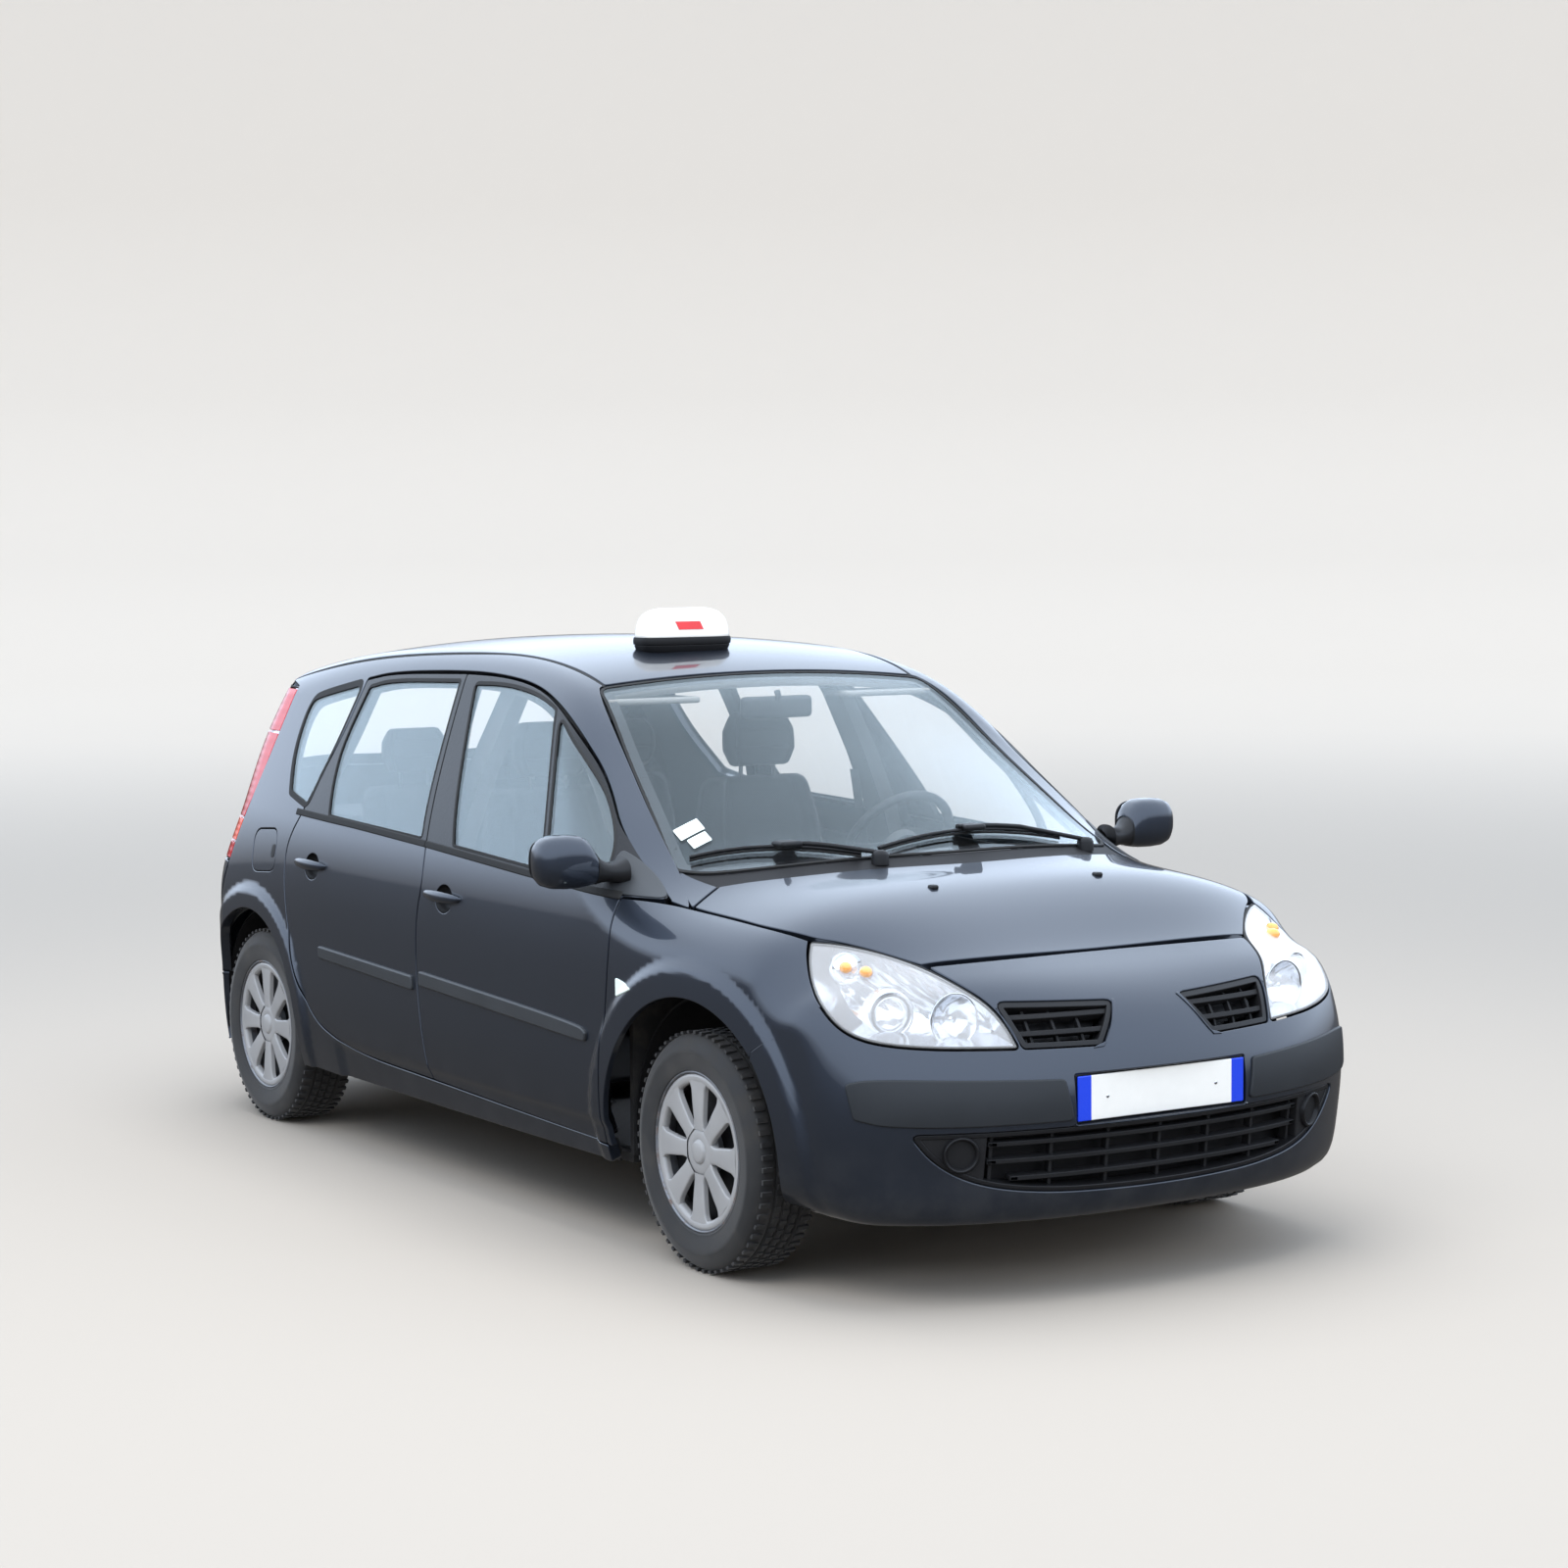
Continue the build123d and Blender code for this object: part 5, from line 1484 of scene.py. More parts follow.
@dataclass
class Door:
    """A door: painted skin, black window frame, panes, lining, strip and handle.

    Attributes:
        kit: Finishes.
        plan: Outlines of the right-hand door.
        skin_wall: Depth of the skin's returned edge.
        box_depth: Depth of the inner face.
        bowl: Half sizes of the bowl behind the handle.
        grip: Half height and half thickness of the handle's grip.
    """

    kit: Kit
    plan: DoorPlan
    skin_wall: float = 22.0
    box_depth: float = 50.0
    bowl: tuple = (52, 40)
    grip: tuple = (15.0, 9.0)

    def below_belt(self, loop: np.ndarray, lift: float = 0.0) -> np.ndarray:
        """Part of a side-view loop under the belt line."""
        return self._cut(loop, lift, True)

    def above_belt(self, loop: np.ndarray, lift: float = 0.0) -> np.ndarray:
        """Part of a side-view loop over the belt line."""
        return self._cut(loop, lift, False)

    @staticmethod
    def _cut(loop: np.ndarray, lift: float, under: bool) -> np.ndarray:
        """One part of a loop, closed along the belt line.

        Args:
            loop: Side-view loop.
            lift: Height of the cut over the belt line.
            under: Whether the part under the line is kept.
        """
        line = np.array([belt_height(x) + lift for x in loop[:, 0]])
        keep = (loop[:, 1] < line) if under else (loop[:, 1] > line)
        if keep.all():
            return loop
        start = next(i for i in range(len(loop)) if keep[i] and not keep[i - 1])
        order = [(start + i) % len(loop) for i in range(len(loop))]
        kept = [loop[i] for i in order if keep[i]]
        first, last = kept[0], kept[-1]
        ends = []
        for x in np.linspace(last[0], first[0], max(4, int(abs(last[0] - first[0]) / 14))):
            ends.append((x, belt_height(x) + lift))
        return np.array(kept + ends)

    def build(self) -> None:
        """Makes both sides' pieces."""
        outline = smooth_loop(self.plan.skin, 8)
        whole = offset(outline, -HALF_SHUT)
        for side, tag in SIDES:
            body = f"door_{self.plan.name}_{tag}"
            for shell, slot, nodes in self.shells(whole, outline, tag):
                (shell.mirrored() if side == LEFT else shell).build(body, slot, *nodes)

    def shells(self, whole: np.ndarray, outline: np.ndarray, tag: str) -> list:
        """Right-hand shells with their slots and replaced nodes."""
        flank, name, kit = Rays.FLANK, f"door_{self.plan.name}", self.kit
        low, high, level = self.plan.handle
        cup_x, cup_z = (low + high) / 2 + 6, level - 4
        skin, cup = on_flank(self.below_belt(whole, 2.0)), on_flank(self.ellipse(cup_x, cup_z, *self.bowl))
        painted = Shell(f"{name}_skin_{tag}").lay(kit.paint, flank, [skin, cup], wall=self.skin_wall, step=18)
        clipped = [on_flank(self.above_belt(smooth_loop(pane, 14, 12), 9.0)) for pane in self.plan.panes]
        window_frame = Shell(f"{name}_frame_{tag}")
        window_frame.lay(kit.gloss, flank, [on_flank(self.above_belt(whole, 2.0))] + clipped, 0.5, 1.5, 14.0,
                         16)
        strip = Shell(f"{name}_strip_{tag}")
        strip.lay(kit.strip, flank, [side_loop(self.plan.strip, 9, 14)], -9.0, 5.0, 9.5, 18)
        glass, trim = Shell(f"{name}_glass_{tag}"), Shell(f"{name}_trim_{tag}")
        for pane in clipped:
            glass.lay(kit.glass, flank, [offset(pane, 1.5)], 3.5, 0.8, 4.0, 34, solid=True)
            trim.lay(kit.seal, flank, [offset(pane, 3.5), offset(pane, -3.5)], -0.6, 1.2, 4.0, 12)
        a, b = self.plan.belt
        trim.lay(kit.seal, flank, [side_loop(on_belt(a, b, -9) + on_belt(a, b, 11)[::-1], 3, 16)],
                 -4.0, 3.0, 5.0, 14)
        return [(painted, "paint", (f"{name}_{tag}",)), (window_frame, "gloss_black", ()),
                (self.lining(f"{name}_lining_{tag}", outline), "interior", ()),
                (glass, "glass", (f"door_glass_{self.plan.name}_{tag}",)), (trim, "black_plastic", ()),
                (strip, "black_plastic", ()),
                (self.handle(f"{name}_handle_{tag}", cup_x, cup_z), "paint", ())]

    def lining(self, name: str, outline: np.ndarray) -> Shell:
        """Inner card with its raised pad, the rubber rim and the wall between them."""
        flank, kit, inner = Rays.FLANK, self.kit, offset(outline, -24)
        edge = on_flank(inner)
        shell = Shell(name)
        shell.lay(kit.cabin, flank, [on_flank(self.below_belt(inner, 6.0))], self.box_depth, 0.0, 0.0, 34,
                  inward=True)
        raised = on_flank(self.below_belt(offset(outline, -90), -60.0))
        shell.lay(kit.cabin, flank, [raised], self.box_depth + 12, 6.0, 14.0, 34, inward=True)
        shell.lay(kit.seal, flank, [on_flank(offset(outline, -5)), edge], 20.0, 0.0, 0.0, 14, inward=True)
        return shell.add(self.hoop(edge, 18.0, self.box_depth), kit.gloss)

    @staticmethod
    def ellipse(x: float, z: float, half_x: float, half_z: float, count: int = 36) -> np.ndarray:
        """Side-view ellipse."""
        turn = around(count)
        return np.stack([x + half_x * np.cos(turn), z + half_z * np.sin(turn)], 1)

    @staticmethod
    def hoop(loop: np.ndarray, start: float, end: float) -> Patch:
        """Wall between two depths along a loop."""
        surface = Rays.FLANK.cast(loop)
        inward = FORM.normal(surface)
        rows = [surface - inward * start, surface - inward * end]
        return rings(rows)

    def handle(self, name: str, x: float, z: float) -> Shell:
        """Bowl with a bowed grip across it."""
        rows, (half_x, half_z) = [], self.bowl
        for scale, depth in ((1.0, 1.0), (0.97, 7.0), (0.86, 15.0), (0.6, 20.0), (0.02, 22.0)):
            surface = Rays.SIDE.cast(self.ellipse(x, z, half_x * scale, half_z * scale))
            rows.append(surface + np.array([0, depth, 0]))
        bowl = rings(rows)
        normals = self._outwards(bowl, -1)
        shell = Shell(name).add(Patch(bowl.points, normals, facing(bowl.points, normals, bowl.faces)),
                                self.kit.trim)
        low, high, _ = self.plan.handle
        rows, turn = [], around(16)
        for t in np.linspace(0, 1, 22):
            along = low + (high - low) * t
            swell = math.sin(math.pi * min(max(t, 0.001), 0.999)) ** 0.35
            base = Rays.SIDE.cast(np.array([(along, z + 8.0)]))[0]
            out = 18.0 * math.sin(math.pi * t) ** 0.5 + 2.0 if 0 < t < 1 else 0.0
            tall, thick = self.grip[0] * swell + 1.0, self.grip[1] * swell + 0.6
            rows.append(np.stack([np.full(16, along), base[1] - out - thick * np.cos(turn),
                                  z + 8 + tall * np.sin(turn)], 1))
        return shell.add(rings(rows, True, (True, True)), self.kit.paint)

    @staticmethod
    def _outwards(patch: Patch, side: int) -> np.ndarray:
        """Patch normals turned to one side of the car."""
        flip = np.where(patch.normals[:, 1:2] * side < 0, -1.0, 1.0)
        return patch.normals * flip


# ---------------------------------------------------------------- wheels
@dataclass
class RoadWheel:
    """Steel wheel with an eight-spoke cover and a treaded tyre.

    Attributes:
        kit: Finishes.
        spokes: Number of spokes.
        radius: Outer radius of the cover.
        lugs: Number of tread blocks round the shoulder.
    """

    kit: Kit
    spokes: int = 8
    radius: float = 196.0
    lugs: int = 62

    def build(self) -> None:
        """Makes the four wheels."""
        for end, x in AXLE_X.items():
            for side, tag in SIDES:
                body = f"wheel_{end}_{tag}"
                centre = (x, side * WHEEL_Y, AXLE_Z)
                shell = Shell(f"wheel_cover_{end}_{tag}")
                for patch, finish in self.cover(centre, side):
                    shell.add(patch, finish)
                shell.build(body, "cover", f"wheel_{end}_{tag}")
                self.tyre(centre, side, f"{end}_{tag}", body)

    def cover(self, centre: tuple, side: int) -> list:
        """Cover, rim and cap patches round a wheel centre."""
        kit, axis = self.kit, (0, side, 0)
        rim = turned([(206, -80), (203, -84), (192, -82), (186, -50), (176, -20), (150, 8), (60, 18),
                      (0.5, 18)],
                     centre, axis)
        lip = turned([(209, 80), (207, 86), (202, 88), (199, 84), (197, 78), (190, 60), (188, 20)], centre,
                     axis)
        return [(rim, kit.alloy), (lip, kit.steel), *self.face(centre, side),
                (turned([(206, -80), (206, 80)], centre, axis), kit.steel)]

    def face(self, centre: tuple, side: int) -> list:
        """Spoked face of the cover: an outer band, eight flared spokes and the hub."""
        kit, result = self.kit, []
        band = turned([(197, 66), (200, 78), (197, 84), (190, 85), (182, 83.5), (177, 81), (175, 74),
                       (176, 64)],
                      centre, (0, side, 0), 144)
        result.append((band, kit.cover))
        hub = turned([(66, 58), (66, 70), (62, 76), (52, 80), (36, 81), (33, 79), (31, 79.5), (29, 84),
                      (24, 86.5),
                      (12, 88), (0.5, 88.2)], centre, (0, side, 0), 72)
        result.append((hub, kit.cover))
        for k in range(self.spokes):
            result.append((self.spoke(centre, side, 2 * math.pi * k / self.spokes), kit.cover))
        dark = turned([(180, 42), (178, 40), (60, 40)], centre, (0, side, 0), 72)
        result.append((dark, kit.trim))
        return result

    @staticmethod
    def spoke(centre: tuple, side: int, turn: float) -> Patch:
        """One flat spoke, narrow at its waist, running into the band and the hub with fillets."""
        rows = []
        for t in np.linspace(0, 1, 15):
            r = 56 + (181 - 56) * t
            half = 19.0 + 14.5 * t + 16 * max(0.0, (t - 0.80) / 0.20) ** 2 + 7 * max(0.0,
                                                                                     (0.22 - t) / 0.22) ** 2
            bow = 80.5 + 3.0 * math.sin(math.pi * t) * 0.5 + 2.5 * t
            profile = [(-half, bow - 15), (-half, bow - 4), (-half + 1.2, bow - 1.2), (-half + 4.5, bow),
                       (-half * 0.4, bow + 0.8), (half * 0.4, bow + 0.8), (half - 4.5, bow),
                       (half - 1.2, bow - 1.2),
                       (half, bow - 4), (half, bow - 15)]
            ring = []
            for across, out in profile:
                x = r * math.sin(turn) + across * math.cos(turn)
                z = r * math.cos(turn) - across * math.sin(turn)
                ring.append((centre[0] + x, centre[1] + side * out, centre[2] + z))
            rows.append(ring)
        patch = rings(rows, False)
        out = np.where(patch.normals[:, 1:2] * side < -0.2, -1.0, 1.0)
        normals = patch.normals * out
        return Patch(patch.points, normals, facing(patch.points, normals, patch.faces))

    def tyre(self, centre: tuple, side: int, tag: str, body: str) -> None:
        """Tyre body by turning, its tread blocks by geometry nodes."""
        half = 97.0
        profile = [(190, -half + 24), (205, -half + 14), (225, -half + 3), (252, -half), (276, -half + 4),
                   (292, -half + 13), (300, -half + 24), (303, -half + 40)]
        for groove in (-39.5, -13.0, 13.0, 39.5):
            profile += [(303.5, groove - 4.2), (298, groove - 3.4), (298, groove + 3.4),
                        (303.5, groove + 4.2)]
        profile += [(303, half - 40), (300, half - 24), (292, half - 13), (276, half - 4), (262, half - 0.6),
                    (260, half + 0.8), (252, half + 0.8), (250, half - 0.4), (225, half - 3), (214, half - 8),
                    (212, half - 6.5), (207, half - 9), (205, half - 14), (190, half - 24)]
        shell = Shell(f"tyre_body_{tag}").add(turned(profile, centre, (0, side, 0), 128), self.kit.tyre)
        shell.build(body, "tyre", f"tyre_{tag}")
        blocks = tread_blocks(f"tyre_tread_{tag}", centre, self.lugs, self.kit.tyre)
        place(blocks, body, "tyre")


def tread_blocks(name: str, centre: tuple, count: int, finish: bpy.types.Material) -> bpy.types.Object:
    """Five rows of tread blocks round a tyre, spread by geometry nodes.

    Args:
        name: Piece name.
        centre: Wheel centre, mm.
        count: Blocks in a row.
        finish: Material of the blocks.

    Returns:
        A plain mesh object at the origin.
    """
    mesh = bpy.data.meshes.new(name)
    piece = bpy.data.objects.new(name, mesh)
    bpy.context.scene.collection.objects.link(piece)
    tree = bpy.data.node_groups.new(name + "_nodes", "GeometryNodeTree")
    sockets = tree.interface
    sockets.new_socket("Geometry", in_out="OUTPUT", socket_type="NodeSocketGeometry")
    for label, kind, value in (("Count", "NodeSocketInt", count), ("Radius", "NodeSocketFloat", 0.3040)):
        socket = sockets.new_socket(label, in_out="INPUT", socket_type=kind)
        socket.default_value = value
    nodes, links = tree.nodes, tree.links
    inlet, outlet = nodes.new("NodeGroupInput"), nodes.new("NodeGroupOutput")
    join = nodes.new("GeometryNodeJoinGeometry")
    rows = ((-0.066, 0.030, 0.0), (-0.0262, 0.0175, 0.5), (0.0, 0.0175, 0.15), (0.0262, 0.0175, 0.65),
            (0.066, 0.030, 0.3))
    for across, width, phase in rows:
        circle = nodes.new("GeometryNodeMeshCircle")
        links.new(inlet.outputs["Count"], circle.inputs["Vertices"])
        links.new(inlet.outputs["Radius"], circle.inputs["Radius"])
        block = nodes.new("GeometryNodeMeshCube")
        skew = 0.0118 if width > 0.02 else 0.0125
        block.inputs["Size"].default_value = (0.0075, width, skew)
        spread = nodes.new("GeometryNodeInstanceOnPoints")
        links.new(circle.outputs["Mesh"], spread.inputs["Points"])
        links.new(block.outputs["Mesh"], spread.inputs["Instance"])
        index = nodes.new("GeometryNodeInputIndex")
        angle = nodes.new("ShaderNodeMath")
        angle.operation = "MULTIPLY"
        angle.inputs[1].default_value = 2 * math.pi / count
        links.new(index.outputs[0], angle.inputs[0])
        turn = nodes.new("ShaderNodeCombineXYZ")
        links.new(angle.outputs[0], turn.inputs["Z"])
        stand = nodes.new("FunctionNodeEulerToRotation")
        links.new(turn.outputs[0], stand.inputs[0])
        lay = nodes.new("FunctionNodeRotateRotation")
        lay.rotation_space = "LOCAL"
        links.new(stand.outputs[0], lay.inputs[0])
        lay.inputs[1].default_value = (math.radians(90), 0.0, 0.0)
        links.new(lay.outputs[0], spread.inputs["Rotation"])
        wheel_turn = nodes.new("GeometryNodeTransform")
        wheel_turn.inputs["Rotation"].default_value = (math.radians(90), 0.0, 0.0)
        wheel_turn.inputs["Translation"].default_value = (centre[0] * MM, centre[1] * MM + across,
                                                          centre[2] * MM)
        spin = nodes.new("GeometryNodeTransform")
        spin.inputs["Rotation"].default_value = (0.0, 0.0, 2 * math.pi / count * phase)
        links.new(spread.outputs[0], spin.inputs[0])
        links.new(spin.outputs[0], wheel_turn.inputs[0])
        links.new(wheel_turn.outputs[0], join.inputs[0])
    real = nodes.new("GeometryNodeRealizeInstances")
    dress = nodes.new("GeometryNodeSetMaterial")
    dress.inputs["Material"].default_value = finish
    links.new(join.outputs[0], real.inputs[0])
    links.new(real.outputs[0], dress.inputs[0])
    links.new(dress.outputs[0], outlet.inputs[0])
    return baked(piece, tree, finish)


def baked(piece: bpy.types.Object, tree: bpy.types.NodeTree, finish: bpy.types.Material) -> bpy.types.Object:
    """Applies a geometry-node tree to a piece and leaves a plain mesh."""
    modifier = piece.modifiers.new("make", "NODES")
    modifier.node_group = tree
    graph = bpy.context.evaluated_depsgraph_get()
    graph.update()
    mesh = bpy.data.meshes.new_from_object(piece.evaluated_get(graph))
    piece.modifiers.remove(modifier)
    mesh.materials.clear()
    mesh.materials.append(finish)
    piece.data = mesh
    return piece


# ---------------------------------------------------------------- front end
@dataclass
class FrontEnd:
    """Headlamps, grilles, fog caps and front plate.

    Attributes:
        kit: Finishes.
        depth: Depth of the headlamp bowls.
    """

    kit: Kit
    depth: float = 78.0

    def build(self) -> None:
        """Makes every piece of the front end."""
        self.headlamps()
        self.upper_grilles()
        self.lower_grille()
        self.plate()

    def headlamps(self) -> None:
        """Clear covers over bright bowls with a projector, a reflector and amber bulbs."""
        kit, outline = self.kit, loop_on(Rays.NOSE, HEADLAMP, 8)
        cover = Shell("headlamp_covers")
        cover.lay(kit.lens, Rays.NOSE, [offset(outline, -3.2)], 0.6, 2.5, 5.0, 24, solid=True)
        cover.both().build("body", "lamp_clear", "headlamps")
        rim = Shell("headlamp_rims")
        rim.lay(kit.seal, Rays.NOSE, [offset(outline, -1.0), offset(outline, -7.5)], 2.6, 0.8, 6.0, 12)
        rim.both().build("body", "black_plastic")
        bowl = Shell("headlamp_bowls")
        mouth, floor_loop = offset(outline, -6), offset(outline, -26)
        rows = [Rays.NOSE.cast(mouth, 6.0), Rays.NOSE.cast(offset(outline, -9), 22.0),
                Rays.NOSE.cast(offset(outline, -16), 48.0), Rays.NOSE.cast(floor_loop, self.depth)]
        wall = rings(rows)
        inward = np.where((wall.normals * (np.array([1800, -600, 745]) - wall.points)).sum(1) < 0, -1.0, 1.0)
        normals = wall.normals * inward[:, None]
        bowl.add(Patch(wall.points, normals, facing(wall.points, normals, wall.faces)), kit.bright)
        bowl.lay(kit.reflector, Rays.NOSE, [floor_loop], self.depth, 0.0, 0.0, 26)
        projector, ahead = (1858, -640, 712), (0.965, -0.26, 0.0)
        dish_at, dish_axis = (1948, -520, 700), (0.99, -0.1, 0.0)
        bulb_axis = (0.93, -0.36, 0.1)
        for profile in ([(64, -34), (60, -6), (57, 2), (52, 3), (49, -4), (46, -18), (44, -30)],
                        [(45, -26), (44, -2), (42, 2), (39, 0), (37, -14)]):
            bowl.add(turned(profile, projector, ahead, 64), kit.bright)
        dish = [(66, 4), (64, 6), (61, 3), (52, -14), (38, -30), (20, -40), (7, -43)]
        bowl.add(turned(dish, dish_at, dish_axis, 60), kit.reflector)
        bowl.add(turned([(9, -43), (9, -16), (7, -12), (0.5, -11)], dish_at, dish_axis, 24),
                 kit.bright)
        bowl.add(turned([(40, -40), (38, -10), (20, -4), (0.5, -2)], (1722, -672, 812), bulb_axis, 40),
                 kit.reflector)
        bowl.both().build("body", "lamp_clear")
        lenses = Shell("headlamp_lenses")
        lenses.add(turned([(38, -12), (34, 2), (25, 12), (12, 18), (0.5, 20)], projector, ahead, 48),
                   kit.lens)
        lenses.both().build("body", "lamp_clear")
        bulbs = Shell("amber_bulbs")
        for centre in ((1728, -682, 815), (1770, -650, 806)):
            bulbs.add(turned([(15, -18), (15, -2), (11, 8), (5, 12), (0.5, 13)], centre, bulb_axis, 28),
                      kit.lens_amber)
        bulbs.both().build("body", "lamp_clear")

    def upper_grilles(self) -> None:
        """Black frames with two slats and uprights behind them."""
        kit, opening = self.kit, Coachwork.upper_opening()
        shell = Shell("upper_grilles")
        shell.lay(kit.trim, Rays.NOSE, [offset(opening, -1.5), offset(opening, -15)], 4.0, 2.5, 42.0, 12)
        for z in (662, 700):
            low, high = self.span(z)
            shell.lay(kit.grained, Rays.NOSE, [self.box(low, high, z - 6, z + 6)], 11.0, 2.0, 26.0, 16)
        for y in (-352, -282, -212):
            top = 736 if y < -160 else 700
            shell.lay(kit.grained, Rays.NOSE, [self.box(y - 4, y + 4, 630, top)], 22.0, 1.5, 16.0, 16)
        shell.lay(kit.trim, Rays.NOSE, [offset(opening, -8)], 58.0, 0.0, 0.0, 30)
        shell.both().build("body", "black_plastic", "grilles")
        edge = Shell("grille_blades")
        blade = loop_on(Rays.NOSE, spatial([(-104, 729), (-94, 727), (-150, 648), (-172, 622), (-204, 620),
                                            (-196, 626), (-166, 634), (-143, 662)], Rays.FRONT), 3, 12)
        edge.lay(kit.paint, Rays.NOSE, [blade], -3.0, 2.5, 6.0, 14)
        edge.both().build("body", "paint")

    @staticmethod
    def box(y0: float, y1: float, z0: float, z1: float) -> np.ndarray:
        """Rectangle seen from the front, in the nose pattern."""
        return box_loop(Rays.NOSE, Rays.FRONT, (y0, y1), (z0, z1))

    @staticmethod
    def span(z: float) -> tuple:
        """Ends of an upper slat at a height."""
        return float(np.interp(z, (628, 739), (-392, -430))), float(np.interp(z, (624, 726), (-166, -92)))

    def lower_grille(self) -> None:
        """Three slats across uprights, a pod at each end with a blank fog cap."""
        kit, opening = self.kit, Coachwork.lower_opening()
        shell = Shell("lower_grille")
        shell.lay(kit.trim, Rays.NOSE, [offset(opening, -1.5), offset(opening, -13)], 5.0, 2.5, 40.0, 14)
        for z in (318, 362, 405):
            half = 490 if z > 330 else 430
            shell.lay(kit.grained, Rays.NOSE, [self.box(-half, half, z - 6, z + 6)], 13.0, 2.5, 30.0, 22)
        for y in (-480, -322, -161, 0, 161, 322, 480):
            low = 300 if abs(y) > 400 else (288 if abs(y) > 200 else 280)
            shell.lay(kit.grained, Rays.NOSE, [self.box(y - 5, y + 5, low, 430)], 24.0, 2.0, 22.0, 18)
        shell.lay(kit.trim, Rays.NOSE, [offset(opening, -8)], 64.0, 0.0, 0.0, 34)
        shell.build("body", "black_plastic")
        pods = Shell("fog_pods")
        corners = [(-664, 433), (-608, 366), (-512, 312), (-496, 306), (-492, 433)]
        pod = loop_on(Rays.NOSE, spatial(corners, Rays.FRONT), 8, 12)
        pods.lay(kit.grained, Rays.NOSE, [pod], 8.0, 4.0, 26.0, 18)
        centre = Rays.FRONT.cast(np.array([(-552.0, 385.0)]))[0]
        out = FORM.normal(centre[None])[0]
        ring = [(46, -12), (45, 1), (41, 3), (37, 1), (34.5, -8), (33, -9), (20, -8.5), (0.5, -8)]
        pods.add(turned(ring, centre, out, 56), kit.trim)
        pods.both().build("body", "black_plastic")

    def plate(self) -> None:
        """Recess pan and a blank plate."""
        pan = Shell("front_plate_pan").box(self.kit.trim, (2030, -265, 440), (2092, 265, 564), 5)
        pan.build("body", "black_plastic")
        plate = Shell("front_plate").box(self.kit.plate, (2094, -260, 447), (2100, 260, 557), 2.5)
        for y in (-170, 170):
            plate.add(turned([(5, 0), (4.5, 1.2), (2.5, 1.9), (0.3, 2)], (2100, y, 502), (1, 0, 0), 20),
                      self.kit.bright)
        plate.build("body", "plate", "plate_front")


